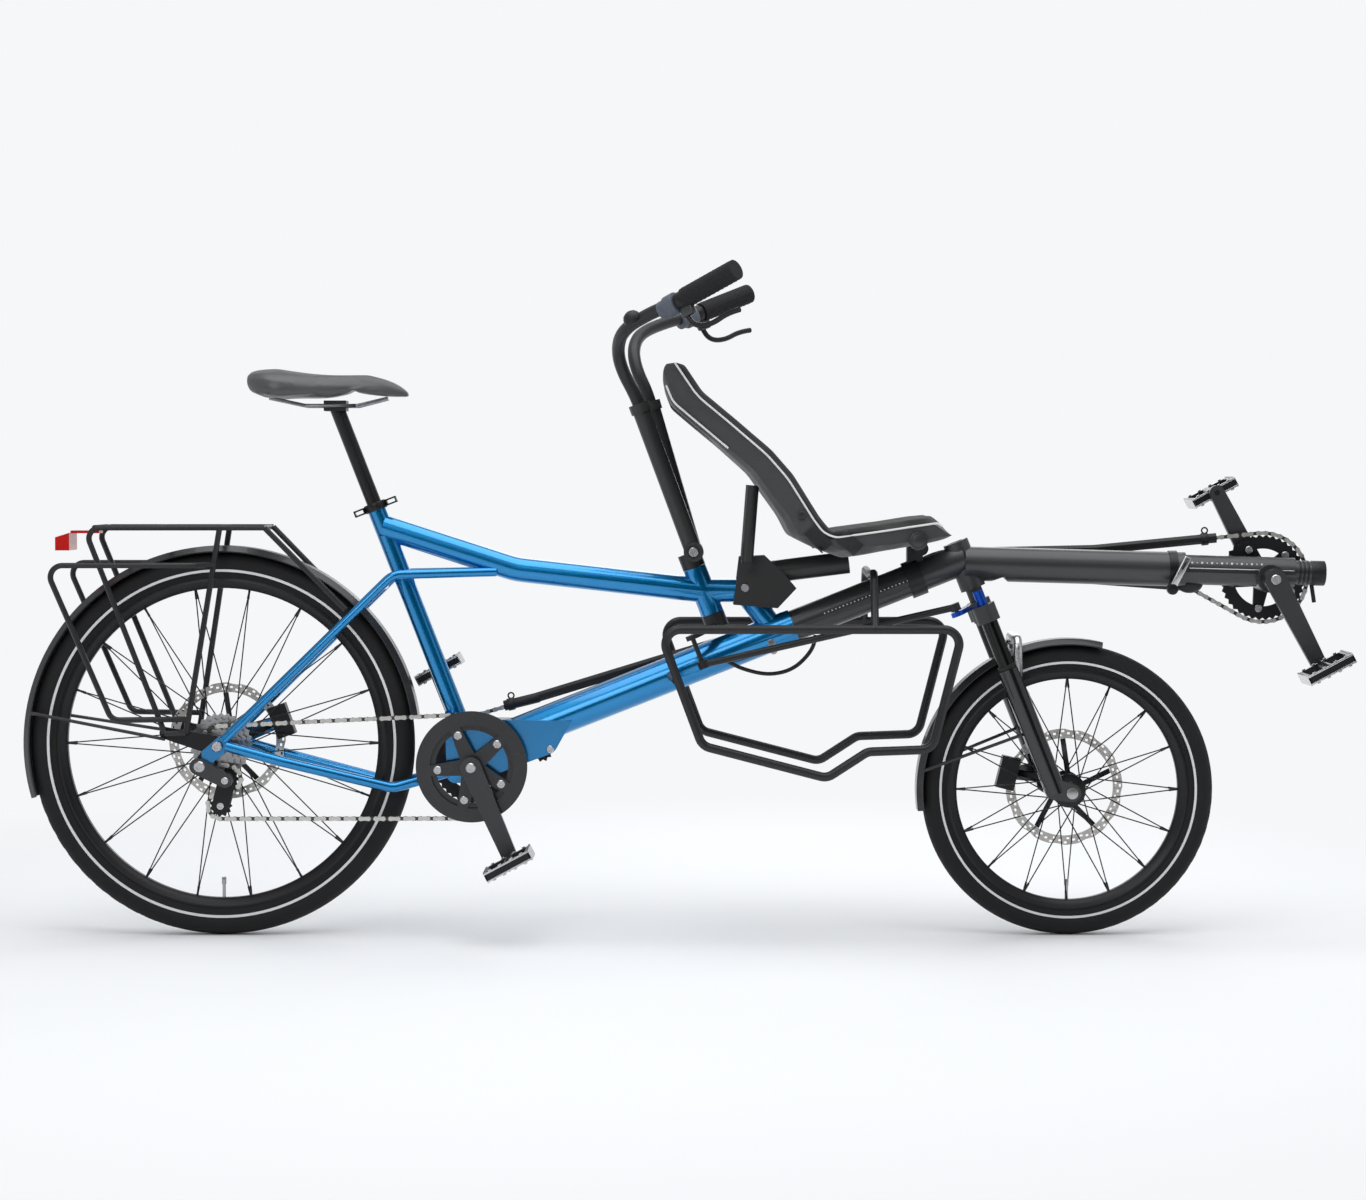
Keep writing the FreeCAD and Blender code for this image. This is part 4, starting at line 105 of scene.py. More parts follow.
PAINTS = {}
BLUE_DARK_SHARE = 0.78
PATCH_DETAIL = 4.0
GRAIN_DETAIL = 3.0
GRAIN_DEPTH = 0.0004
LEAST_ROUGHNESS = 0.02
COAT_ROUGHNESS = 0.06
THREAD_ROUGHNESS = 0.85
THREAD_GRAIN = 900.0
THREAD_BUMP = 0.2
WEAVE_DISTORTION = 0.4
WEAVE_BUMP = 0.5
WEAVE_DEPTH = 0.0006


def socket(shader, name, value):
    shader.inputs[name].default_value = value


def finish_of(key, base, dark, metallic, roughness, grain_scale, grain_bump, patch_scale=9.0,
              rough_swing=0.12, coat=0.0, stretch=(1.0, 1.0, 1.0), sheen=0.0, specular=0.5):
    """A surface with a slow change of tone, a change of gloss and a fine grain."""
    if key in PAINTS:
        return PAINTS[key]
    made = bpy.data.materials.new(key)
    made.use_nodes = True
    nodes = made.node_tree.nodes
    links = made.node_tree.links
    shader = nodes["Principled BSDF"]
    place = nodes.new("ShaderNodeTexCoord")
    mapping = nodes.new("ShaderNodeMapping")
    mapping.inputs["Scale"].default_value = stretch
    links.new(place.outputs["Object"], mapping.inputs["Vector"])
    patches = nodes.new("ShaderNodeTexNoise")
    patches.inputs["Scale"].default_value = patch_scale
    patches.inputs["Detail"].default_value = PATCH_DETAIL
    links.new(mapping.outputs["Vector"], patches.inputs["Vector"])
    tone = nodes.new("ShaderNodeMix")
    tone.data_type = "RGBA"
    tone.inputs[6].default_value = (*dark, 1.0)
    tone.inputs[7].default_value = (*base, 1.0)
    links.new(patches.outputs["Fac"], tone.inputs[0])
    links.new(tone.outputs[2], shader.inputs["Base Color"])
    gloss = nodes.new("ShaderNodeMapRange")
    gloss.inputs["To Min"].default_value = max(LEAST_ROUGHNESS, roughness - rough_swing)
    gloss.inputs["To Max"].default_value = min(1.0, roughness + rough_swing)
    links.new(patches.outputs["Fac"], gloss.inputs["Value"])
    links.new(gloss.outputs["Result"], shader.inputs["Roughness"])
    grain = nodes.new("ShaderNodeTexNoise")
    grain.inputs["Scale"].default_value = grain_scale
    grain.inputs["Detail"].default_value = GRAIN_DETAIL
    links.new(mapping.outputs["Vector"], grain.inputs["Vector"])
    bump = nodes.new("ShaderNodeBump")
    bump.inputs["Strength"].default_value = grain_bump
    bump.inputs["Distance"].default_value = GRAIN_DEPTH
    links.new(grain.outputs["Fac"], bump.inputs["Height"])
    links.new(bump.outputs["Normal"], shader.inputs["Normal"])
    socket(shader, "Metallic", metallic)
    socket(shader, "Specular IOR Level", specular)
    socket(shader, "Coat Weight", coat)
    socket(shader, "Coat Roughness", COAT_ROUGHNESS)
    socket(shader, "Sheen Weight", sheen)
    PAINTS[key] = made
    return made


def woven(key, thread, gap, count, sheen=0.35):
    """Cloth with two crossing sets of threads."""
    if key in PAINTS:
        return PAINTS[key]
    made = finish_of(key, base=thread, dark=gap, metallic=0.0, roughness=THREAD_ROUGHNESS,
                     grain_scale=THREAD_GRAIN, grain_bump=THREAD_BUMP, sheen=sheen)
    nodes = made.node_tree.nodes
    links = made.node_tree.links
    shader = nodes["Principled BSDF"]
    place = nodes.new("ShaderNodeTexCoord")
    heights = []
    for direction in ("X", "Y", "Z"):
        wave = nodes.new("ShaderNodeTexWave")
        wave.bands_direction = direction
        wave.inputs["Scale"].default_value = count
        wave.inputs["Distortion"].default_value = WEAVE_DISTORTION
        links.new(place.outputs["Object"], wave.inputs["Vector"])
        heights.append(wave)
    first = nodes.new("ShaderNodeMath")
    first.operation = "MAXIMUM"
    links.new(heights[0].outputs["Fac"], first.inputs[0])
    links.new(heights[1].outputs["Fac"], first.inputs[1])
    both = nodes.new("ShaderNodeMath")
    both.operation = "MULTIPLY"
    links.new(first.outputs[0], both.inputs[0])
    links.new(heights[2].outputs["Fac"], both.inputs[1])
    bump = nodes.new("ShaderNodeBump")
    bump.inputs["Strength"].default_value = WEAVE_BUMP
    bump.inputs["Distance"].default_value = WEAVE_DEPTH
    links.new(both.outputs[0], bump.inputs["Height"])
    links.new(bump.outputs["Normal"], shader.inputs["Normal"])
    return made


def frame_blue():
    base = tuple(bpy.context.scene.tandem.frame_colour)
    return finish_of("frame_blue", base=base, dark=tuple(part * BLUE_DARK_SHARE for part in base),
                     metallic=0.8, roughness=0.24, grain_scale=1400.0, grain_bump=0.10, patch_scale=5.0,
                     rough_swing=0.04, coat=0.9)


def frame_black():
    return finish_of("frame_black", base=(0.022, 0.022, 0.024), dark=(0.015, 0.015, 0.016), metallic=0.15,
                     roughness=0.38, grain_scale=1600.0, grain_bump=0.2, patch_scale=6.0,
                     rough_swing=0.05, specular=0.45)


def frame_grey():
    return finish_of("frame_grey", base=(0.070, 0.072, 0.075), dark=(0.052, 0.053, 0.056), metallic=0.45,
                     roughness=0.30, grain_scale=1600.0, grain_bump=0.2, patch_scale=6.0,
                     rough_swing=0.05, specular=0.5)


def riser_grey():
    return finish_of("riser_grey", base=(0.038, 0.038, 0.039), dark=(0.028, 0.028, 0.029), metallic=0.2,
                     roughness=0.36, grain_scale=1600.0, grain_bump=0.2, patch_scale=6.0,
                     rough_swing=0.05, specular=0.5)


def chain_dark():
    return finish_of("chain_dark", base=(0.10, 0.096, 0.09), dark=(0.05, 0.048, 0.044), metallic=0.85,
                     roughness=0.4, grain_scale=900.0, grain_bump=0.35)


def fork_black():
    return finish_of("fork_black", base=(0.009, 0.009, 0.010), dark=(0.006, 0.006, 0.006), metallic=0.0,
                     roughness=0.16, grain_scale=1500.0, grain_bump=0.05, rough_swing=0.04, coat=0.5)


def fork_grey():
    return finish_of("fork_grey", base=(0.06, 0.061, 0.065), dark=(0.045, 0.045, 0.048), metallic=0.3,
                     roughness=0.4, grain_scale=1500.0, grain_bump=0.2, specular=0.4)


def stanchion_black():
    return finish_of("stanchion_black", base=(0.012, 0.012, 0.012), dark=(0.008, 0.008, 0.008),
                     metallic=0.5, roughness=0.12, grain_scale=800.0, grain_bump=0.05)


def adjuster_blue():
    return finish_of("adjuster_blue", base=(0.01, 0.10, 0.58), dark=(0.008, 0.07, 0.42), metallic=0.75,
                     roughness=0.28, grain_scale=900.0, grain_bump=0.1)


def alloy_black():
    return finish_of("alloy_black", base=(0.016, 0.016, 0.018), dark=(0.010, 0.010, 0.011), metallic=0.35,
                     roughness=0.34, grain_scale=1300.0, grain_bump=0.25, specular=0.45)


def crank_grey():
    return finish_of("crank_grey", base=(0.075, 0.076, 0.08), dark=(0.055, 0.056, 0.06), metallic=0.65,
                     roughness=0.36, grain_scale=1300.0, grain_bump=0.2)


def alloy_silver():
    return finish_of("alloy_silver", base=(0.72, 0.72, 0.74), dark=(0.55, 0.55, 0.57), metallic=0.95,
                     roughness=0.28, grain_scale=1100.0, grain_bump=0.15)


def steel():
    return finish_of("steel", base=(0.56, 0.56, 0.57), dark=(0.36, 0.36, 0.37), metallic=0.95,
                     roughness=0.32, grain_scale=700.0, grain_bump=0.25, stretch=(1.0, 6.0, 1.0))


def rotor_steel():
    return finish_of("rotor_steel", base=(0.66, 0.65, 0.63), dark=(0.50, 0.48, 0.45), metallic=0.95,
                     roughness=0.3, grain_scale=500.0, grain_bump=0.3)


def spoke_black():
    return finish_of("spoke_black", base=(0.016, 0.016, 0.017), dark=(0.010, 0.010, 0.010), metallic=0.4,
                     roughness=0.34, grain_scale=1200.0, grain_bump=0.1, specular=0.4)


def chain_steel():
    return finish_of("chain_steel", base=(0.80, 0.79, 0.76), dark=(0.58, 0.57, 0.54), metallic=0.9,
                     roughness=0.30, grain_scale=900.0, grain_bump=0.35)


def tyre_rubber():
    return finish_of("tyre_rubber", base=(0.018, 0.018, 0.019), dark=(0.011, 0.011, 0.012), metallic=0.0,
                     roughness=0.72, grain_scale=1200.0, grain_bump=0.5, patch_scale=14.0, specular=0.22)


def reflective():
    return finish_of("reflective", base=(0.80, 0.81, 0.82), dark=(0.68, 0.69, 0.70), metallic=0.0,
                     roughness=0.35, grain_scale=1800.0, grain_bump=0.2)


def grip_rubber():
    return finish_of("grip_rubber", base=(0.022, 0.022, 0.024), dark=(0.014, 0.014, 0.015), metallic=0.0,
                     roughness=0.75, grain_scale=1500.0, grain_bump=0.5, specular=0.25)


def shifter_grey():
    return finish_of("shifter_grey", base=(0.10, 0.12, 0.15), dark=(0.07, 0.08, 0.11), metallic=0.0,
                     roughness=0.5, grain_scale=1500.0, grain_bump=0.3)


def plastic_black():
    return finish_of("plastic_black", base=(0.014, 0.014, 0.015), dark=(0.009, 0.009, 0.010),
                     metallic=0.0, roughness=0.42, grain_scale=1900.0, grain_bump=0.3, specular=0.35)


def guard_grey():
    return finish_of("guard_grey", base=(0.026, 0.027, 0.030), dark=(0.018, 0.018, 0.020), metallic=0.0,
                     roughness=0.3, grain_scale=1700.0, grain_bump=0.12, coat=0.3, specular=0.4)


def lamp_red():
    return finish_of("lamp_red", base=(0.65, 0.02, 0.015), dark=(0.45, 0.01, 0.01), metallic=0.0,
                     roughness=0.12, grain_scale=260.0, grain_bump=0.25, coat=0.8)


def seat_fabric():
    return woven("seat_fabric", thread=(0.055, 0.055, 0.058), gap=(0.034, 0.034, 0.036), count=160.0)


def seat_mesh():
    return woven("seat_mesh", thread=(0.013, 0.013, 0.014), gap=(0.006, 0.006, 0.006), count=110.0,
                 sheen=0.05)


def piping_white():
    return finish_of("piping_white", base=(0.80, 0.80, 0.80), dark=(0.66, 0.66, 0.66), metallic=0.0,
                     roughness=0.6, grain_scale=1500.0, grain_bump=0.3)


def saddle_cover():
    return finish_of("saddle_cover", base=(0.080, 0.083, 0.088), dark=(0.056, 0.058, 0.062), metallic=0.0,
                     roughness=0.34, grain_scale=520.0, grain_bump=0.3, rough_swing=0.06, specular=0.5)


def webbing():
    return woven("webbing", thread=(0.020, 0.020, 0.021), gap=(0.010, 0.010, 0.010), count=300.0,
                 sheen=0.1)


# Making pieces

MERGE_GAP = 0.02
SEAM_GAP = 0.01
BEVEL_ANGLE = 50.0
ROUND_SMOOTH = 60.0
POLE_RADIUS = 0.01
BOLT_SIDES = 18
BOLT_SINK = 1.0
BOLT_FOOT_SHARE = 0.98
BOLT_SHOULDER_SHARE = 0.6
BOLT_TOP_SHARE = 0.85
BOLT_SOCKET_SHARE = 0.5
BOLT_FLOOR_SHARE = 0.4


def only(piece):
    """Selects one piece and nothing else."""
    bpy.ops.object.select_all(action="DESELECT")
    piece.hide_viewport = False
    piece.select_set(True)
    bpy.context.view_layer.objects.active = piece


def in_edit(piece, *steps):
    """Runs edit-mode steps on all of a piece."""
    only(piece)
    bpy.ops.object.mode_set(mode="EDIT")
    bpy.ops.mesh.select_all(action="SELECT")
    for step in steps:
        step()
    bpy.ops.object.mode_set(mode="OBJECT")


def smooth(piece, angle=35.0):
    only(piece)
    bpy.ops.object.shade_smooth_by_angle(angle=math.radians(angle))


def settle(piece):
    """Puts a piece's place into its mesh, so that its object sits at the origin."""
    only(piece)
    bpy.ops.object.transform_apply(location=True, rotation=True, scale=True)


def paint(piece, *materials):
    piece.data.materials.clear()
    for made in materials:
        piece.data.materials.append(made)


def finish_piece(piece, name, body, slot, *materials, replaces=()):
    """Names a piece, paints it and says which body it rides and which solids it stands for."""
    piece.name = name
    piece.data.name = name
    settle(piece)
    if materials:
        paint(piece, *materials)
    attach(piece, body)
    for node in replaces:
        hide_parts(node)
    return piece


def wall_of(piece, thickness):
    """Gives a flat piece a wall on both sides of its face."""
    wall = piece.modifiers.new("wall", "SOLIDIFY")
    wall.thickness = thickness * MM
    wall.offset = 0.0
    only(piece)
    bpy.ops.object.modifier_apply(modifier=wall.name)


def drop_faces(piece, test):
    """Takes away the faces that pass a test."""
    only(piece)
    bpy.ops.object.mode_set(mode="EDIT")
    bpy.ops.mesh.select_all(action="DESELECT")
    bpy.ops.object.mode_set(mode="OBJECT")
    for face in piece.data.polygons:
        face.select = test(face)
    bpy.ops.object.mode_set(mode="EDIT")
    bpy.ops.mesh.delete(type="FACE")
    bpy.ops.object.mode_set(mode="OBJECT")


def face_out(piece):
    in_edit(piece, lambda: bpy.ops.mesh.normals_make_consistent(inside=False))


def flat_plate(places):
    """A flat face with its corners at the given places."""
    bpy.ops.mesh.primitive_circle_add(vertices=len(places), radius=1.0, fill_type="NGON")
    piece = bpy.context.active_object
    for vertex, place in zip(piece.data.vertices, places):
        vertex.co = place
    return piece


def joined(pieces):
    bpy.ops.object.select_all(action="DESELECT")
    for piece in pieces:
        piece.select_set(True)
    bpy.context.view_layer.objects.active = pieces[0]
    if len(pieces) > 1:
        bpy.ops.object.join()
    return bpy.context.view_layer.objects.active


def copy_of(node):
    """A CAD node's own mesh in a piece of its own."""
    source = frame["nodes"][node]
    copy = source.copy()
    copy.data = source.data.copy()
    bpy.context.scene.collection.objects.link(copy)
    del copy["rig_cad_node"]
    only(copy)
    bpy.ops.mesh.customdata_custom_splitnormals_clear()
    return copy


def dress(node, name, slot, *materials, angle=32.0):
    """A smooth-shaded copy of a CAD node that stands for it."""
    copy = copy_of(node)
    body = frame["nodes"][node]["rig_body"]
    in_edit(copy, lambda: bpy.ops.mesh.remove_doubles(threshold=MERGE_GAP * MM))
    smooth(copy, angle)
    return finish_piece(copy, name, body, slot, *materials, replaces=(node,))


def turn_to(direction):
    return direction.to_track_quat("Z", "Y").to_euler()


def rod(start, end, radius, sides, bevel=0.0):
    """A round bar between two places, its end edges broken by a small bevel."""
    axis = end - start
    bpy.ops.mesh.primitive_cylinder_add(vertices=sides, radius=radius * MM, depth=axis.length,
                                        location=(start + end) / 2.0, rotation=turn_to(axis))
    piece = bpy.context.active_object
    if bevel:
        edge = piece.modifiers.new("edge", "BEVEL")
        edge.width = bevel * MM
        edge.segments = 2
        edge.limit_method = "ANGLE"
        edge.angle_limit = math.radians(BEVEL_ANGLE)
        only(piece)
        bpy.ops.object.modifier_apply(modifier=edge.name)
    settle(piece)
    smooth(piece)
    return piece


def block(centre, size, turn=0.0, bevel=1.0):
    """A small machined block with broken edges, turned in the side view by some degrees."""
    bpy.ops.mesh.primitive_cube_add(size=1.0)
    piece = bpy.context.active_object
    piece.scale = [part * MM for part in size]
    settle(piece)
    edge = piece.modifiers.new("edge", "BEVEL")
    edge.width = bevel * MM
    edge.segments = 3
    bpy.ops.object.modifier_apply(modifier=edge.name)
    piece.matrix_world = Matrix.Translation(centre) @ Matrix.Rotation(math.radians(turn), 4, SIDEWAYS)
    settle(piece)
    smooth(piece)
    return piece


def spun(centre, profile, steps, axis=SIDEWAYS):
    """A solid of revolution about an axis through the centre. The profile is (radius, along the axis)."""
    bpy.ops.mesh.primitive_circle_add(vertices=len(profile), radius=1.0, fill_type="NOTHING")
    piece = bpy.context.active_object
    for vertex, (radius, along) in zip(piece.data.vertices, profile):
        vertex.co = (radius * MM, 0.0, along * MM)
    in_edit(piece,
            lambda: bpy.ops.mesh.spin(steps=steps, angle=math.tau, center=(0.0, 0.0, 0.0),
                                      axis=(0.0, 0.0, 1.0)),
            lambda: bpy.ops.mesh.select_all(action="SELECT"),
            lambda: bpy.ops.mesh.remove_doubles(threshold=SEAM_GAP * MM),
            lambda: bpy.ops.mesh.normals_make_consistent(inside=False))
    piece.matrix_world = Matrix.Translation(centre) @ axis.to_track_quat("Z", "Y").to_matrix().to_4x4()
    settle(piece)
    smooth(piece)
    return piece


def curve_pipe(name, places, radius, resolution=6, sides=3):
    """A round bar along one smooth line through given places."""
    line = bpy.data.curves.new(name, "CURVE")
    line.dimensions = "3D"
    spline = line.splines.new("NURBS")
    spline.points.add(len(places) - 1)
    for point, place in zip(spline.points, places):
        point.co = (*place, 1.0)
    spline.order_u = 3
    spline.use_endpoint_u = True
    spline.resolution_u = resolution
    line.bevel_depth = radius * MM
    line.bevel_resolution = sides
    line.use_fill_caps = True
    piece = bpy.data.objects.new(name, line)
    bpy.context.scene.collection.objects.link(piece)
    return piece


def pipe(places, radius, resolution=6, sides=3):
    """A bent round bar, made a mesh."""
    piece = curve_pipe("pipe", places, radius, resolution, sides)
    only(piece)
    bpy.ops.object.convert(target="MESH")
    piece = bpy.context.active_object
    smooth(piece)
    return piece


def bolt(place, direction, radius, height=4.0):
    """A socket-head bolt: a domed head with a round recess."""
    hollow = radius * BOLT_SOCKET_SHARE
    outline = [(radius * BOLT_FOOT_SHARE, -BOLT_SINK), (radius, height * BOLT_SHOULDER_SHARE),
               (radius * BOLT_TOP_SHARE, height), (hollow, height), (hollow, height * BOLT_FLOOR_SHARE),
               (POLE_RADIUS, height * BOLT_FLOOR_SHARE), (POLE_RADIUS, -BOLT_SINK)]
    return spun(place, outline, steps=BOLT_SIDES, axis=direction.normalized())


def place_material(piece, index, test):
    """Gives the faces whose middle passes a test another of the piece's materials."""
    for face in piece.data.polygons:
        if test(face.center):
            face.material_index = index


def surface_of(piece):
    """A piece's faces, ready to be met by a line."""
    mesh = piece.data
    return BVHTree.FromPolygons([vertex.co for vertex in mesh.vertices],
                                [face.vertices for face in mesh.polygons])


def on_side(surface, x, z, side, otherwise=0.0):
    """The place where a line from the side first meets a surface."""
    place = surface.ray_cast(at(x, side * VIEW_REACH, z), SIDEWAYS * -side)[0]
    return at(x, side * otherwise, z) if place is None else place


def side_bolts(name, node, spots, head, height=3.0):
    """Socket-head bolts standing on a node's right side."""
    surface = surface_of(frame["nodes"][node])
    heads = [bolt(on_side(surface, x, z, RIGHT), SIDEWAYS * RIGHT, head, height) for x, z in spots]
    return finish_piece(joined(heads), name, frame["nodes"][node]["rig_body"], "steel", alloy_silver())


# Handlebar

PIVOT_X = 808.1
PIVOT_Z = 659.0
FAR_RISER_TURN = 4.0
RISER_SPREAD = 52.0
RISER_TOP = (714.7, 910.2)
COLLAR_TOP = (709.1, 925.2)
BAR_BENDS = [(686.0, 57.0, 968.0), (679.0, 84.0, 1003.0), (690.0, 132.0, 1032.0), (736.0, 184.0, 1057.0)]
BAR_RADIUS = 11.0
BAR_HIGH_X = 690.0
BAR_HIGH_Y = 150.0
BAR_HIGH_Z = 1026.0
BAR_END_X = 876.0
BAR_END_Y = 290.0
BAR_END_Z = 1122.0
GRIP_LENGTH = 112.0
BAR_INSET = 20.0
BAR_GAP = 0.4
LEVER_CLAMP_INSET = 8.2
LEVER_CLAMP_HALF = 6.5
LEVER_CLAMP_RADIUS = 14.6
LEVER_BODY = (26.0, 12.0, 20.0)
LEVER_BODY_AHEAD = 6.0
LEVER_BODY_DROP = 21.0
LEVER_PIN_AHEAD = 10.0
LEVER_PIN_DROP = 24.0
LEVER_PIN_ACROSS = 5.6
LEVER_PIN_RADIUS = 4.6
BLADE_RADIUS = 4.6
LEVER_BENDS = [(0.0, 14.0), (1.0, 34.0), (14.0, 54.0), (44.0, 62.0), (78.0, 58.0), (102.0, 63.0)]
SHIFTER_RINGS = [(17.0, 38.0, 18.5, 24), (39.0, 52.0, 15.5, 32)]
RIB_COUNT = 22
RIB_START = 4.0
RIB_PITCH = 4.8
RIB_WIDTH = 2.4
RIB_RADIUS = 17.7
RIB_SIDES = 12
BELL_PLACE = (706.0, -166.0, 1048.0)
BELL_AXIS = (-0.55, -0.35, 0.76)
BELL_OUTLINE = [(POLE_RADIUS, 14.0), (6.0, 13.2), (11.0, 10.4), (14.4, 5.6), (15.6, 0.0), (14.0, 0.0),
                (POLE_RADIUS, 2.0)]


def bar_at(side, x, y, z):
    """A place on a handlebar half. The left half is turned a little further forward about the pivot."""
    turn = math.radians(-FAR_RISER_TURN if side > 0.0 else 0.0)
    across, up = x - PIVOT_X, z - PIVOT_Z
    return at(PIVOT_X + across * math.cos(turn) - up * math.sin(turn), side * y,
              PIVOT_Z + across * math.sin(turn) + up * math.cos(turn))


def bar_end(side):
    """The end of a grip, and the direction back along it."""
    end = bar_at(side, BAR_END_X, BAR_END_Y, BAR_END_Z)
    return end, (bar_at(side, BAR_HIGH_X, BAR_HIGH_Y, BAR_HIGH_Z) - end).normalized() * MM


def bar_half(side):
    """One half of the handlebar, bent in one sweep from its riser to its grip."""
    end, back = bar_end(side)
    places = [bar_at(side, RISER_TOP[0], RISER_SPREAD, RISER_TOP[1]),
              bar_at(side, COLLAR_TOP[0], RISER_SPREAD, COLLAR_TOP[1])]
    places += [bar_at(side, *bend) for bend in BAR_BENDS]
    places += [end + back * (GRIP_LENGTH + BAR_INSET), end + back * (GRIP_LENGTH + BAR_GAP)]
    return pipe(places, BAR_RADIUS, resolution=10, sides=6)


def brake_lever(side):
    """A brake lever: a clamp round the bar, a body under it and a blade bent back towards the grip."""
    end, back = bar_end(side)
    ahead = -back.normalized()
    down = ahead.cross(Vector((0.0, 0.0, -1.0))).cross(ahead).normalized()
    middle = end + back * (GRIP_LENGTH + LEVER_CLAMP_INSET)
    clamp = rod(middle - ahead * LEVER_CLAMP_HALF * MM, middle + ahead * LEVER_CLAMP_HALF * MM,
                LEVER_CLAMP_RADIUS, sides=40, bevel=1.5)
    body = block(Vector((0.0, 0.0, 0.0)), LEVER_BODY, bevel=4.0)
    across = down.cross(ahead)
    turn = Matrix((ahead, across, down)).transposed().to_4x4()
    body.matrix_world = (Matrix.Translation(middle + (ahead * LEVER_BODY_AHEAD + down * LEVER_BODY_DROP) * MM)
                         @ turn)
    settle(body)
    hinge = middle + (ahead * LEVER_PIN_AHEAD + down * LEVER_PIN_DROP - across * LEVER_PIN_ACROSS) * MM
    pin = bolt(hinge, -across, LEVER_PIN_RADIUS, 3.0)
    bends = [middle + (ahead * along + down * drop) * MM for along, drop in LEVER_BENDS]
    blade = pipe(bends, BLADE_RADIUS, sides=4)
    paint(clamp, alloy_black())
    paint(body, crank_grey())
    paint(pin, alloy_silver())
    paint(blade, alloy_black())
    return joined([clamp, body, pin, blade])


def twist_shifter(side):
    end, back = bar_end(side)
    rings = [rod(end + back * (GRIP_LENGTH + near), end + back * (GRIP_LENGTH + far), radius, sides=sides,
                 bevel=1.5) for near, far, radius, sides in SHIFTER_RINGS]
    return joined(rings)


def grip_ribs(side):
    """Raised rings along a grip, of two roundnesses in turn."""
    end, back = bar_end(side)
    ribs = []
    for index in range(RIB_COUNT):
        start = end + back * (RIB_START + index * RIB_PITCH)
        ribs.append(rod(start, start + back * RIB_WIDTH, RIB_RADIUS, sides=RIB_SIDES + index % 2, bevel=0.5))
    return joined(ribs)


# Wheels

REAR_BEAD = 284.5
FRONT_BEAD = 208.0
REAR_TYRE_HALF = 25.0
FRONT_TYRE_HALF = 23.5
REAR_RIM_HALF = 14.0
FRONT_RIM_HALF = 13.0
TYRE_STEPS = 240
TYRE_MIDDLE_LIFT = 1.0
TYRE_ARC_START = -38.0
TYRE_ARC = 256.0
TYRE_ARC_STEPS = 24
BEAD_SHARE = 0.56
FLANK_LIFT = 6.0
FLANK_SHARE = 0.66
BEAD_FLOOR_LIFT = 2.0
BEAD_FLOOR_SHARE = 0.3
TREAD_DEPTH = 1.1
BELT_DEPTH = 5.5
GROOVE_SLANT = 0.18
GROOVE_EVERY = 4
GROOVE_FROM_SHARE = 0.3
CENTRE_RIB_SHARE = 0.24
CENTRE_RIB_HALF_SHARE = 0.06
REAR_RING_RADIUS = 297.0
FRONT_RING_RADIUS = 219.0
REAR_RING_HALF = 22.6
FRONT_RING_HALF = 20.7
RING_SECTION = [(-2.2, -1.5), (2.2, -1.2), (2.2, 0.1), (-2.2, 0.3)]
RING_STEPS = 180
RIM_WALL = [(0.0, 1.0, 0.0), (5.0, 1.0, 1.0), (8.0, 1.0, -0.5), (14.0, 0.75, 0.0), (18.0, 0.42, 0.0)]
RIM_CROWN = 18.4
RIM_CHANNEL = [(-1.5, 1.0, -1.5), (3.0, 1.0, -3.0)]
RIM_STEPS = 144
VALVE_INSET = 17.0
VALVE_STEM = 26.0
VALVE_STEM_RADIUS = 2.9
VALVE_CAP = (24.0, 36.0)
VALVE_CAP_RADIUS = 3.9
HUB_END = [(7.0, 0.0), (15.0, 0.0), (17.5, 6.0)]
HUB_FLANGE = [(17.5, 5.0), (24.0, 2.6), (29.0, 2.0), (29.0, -2.0), (22.0, -2.6), (14.5, -10.0)]
HUB_STEPS = 64
REAR_HUB_HALF = 67.0
FRONT_HUB_HALF = 49.5
REAR_FLANGES = (20.0, 34.0)
FRONT_FLANGES = (30.0, 30.0)
REAR_SPOKE_PAIRS = 9
FRONT_SPOKE_PAIRS = 8
REAR_SPOKE_REACH = 267.0
FRONT_SPOKE_REACH = 190.5
SPOKE_CIRCLE = 25.0
SPOKE_CROSSING = 38.0
SPOKE_FLANGE_GAP = 1.8
SPOKE_RIM_GAP = 3.0
SPOKE_RADIUS = 1.1
NIPPLE_RADIUS = 1.9
NIPPLE_LENGTH = 16.0
ROTOR_COLUMNS = 120
ROTOR_RADII = [84.5, 88.0, 91.5, 95.0, 98.5, 101.0]
ROTOR_WAVE_FROM = 99.5
ROTOR_WAVES = 12.0
ROTOR_WAVE_SHARE = 0.022
ROTOR_THICKNESS = 2.0
SLOT_RINGS = (1, 2, 3)
SLOT_EVERY = 5
SLOT_SHIFT = 2
CARRIER_RADIUS = 83.0
REAR_ROTOR_Y = 50.0
FRONT_ROTOR_Y = 40.0


def tyre_profile(bead, outer, half):
    """A rounded tyre section; points are (radius, across)."""
    middle = (bead + outer) / 2.0 + TYRE_MIDDLE_LIFT
    rise = outer - middle
    points = [(bead, -half * BEAD_SHARE), (bead + FLANK_LIFT, -half * FLANK_SHARE)]
    for step in range(TYRE_ARC_STEPS + 1):
        angle = math.radians(TYRE_ARC_START + step * (TYRE_ARC / TYRE_ARC_STEPS))
        points.append((middle + rise * math.sin(angle), -half * math.cos(angle)))
    points += [(bead + FLANK_LIFT, half * FLANK_SHARE), (bead, half * BEAD_SHARE)]
    points += [(bead + BEAD_FLOOR_LIFT, half * BEAD_FLOOR_SHARE),
               (bead + BEAD_FLOOR_LIFT, -half * BEAD_FLOOR_SHARE)]
    return points


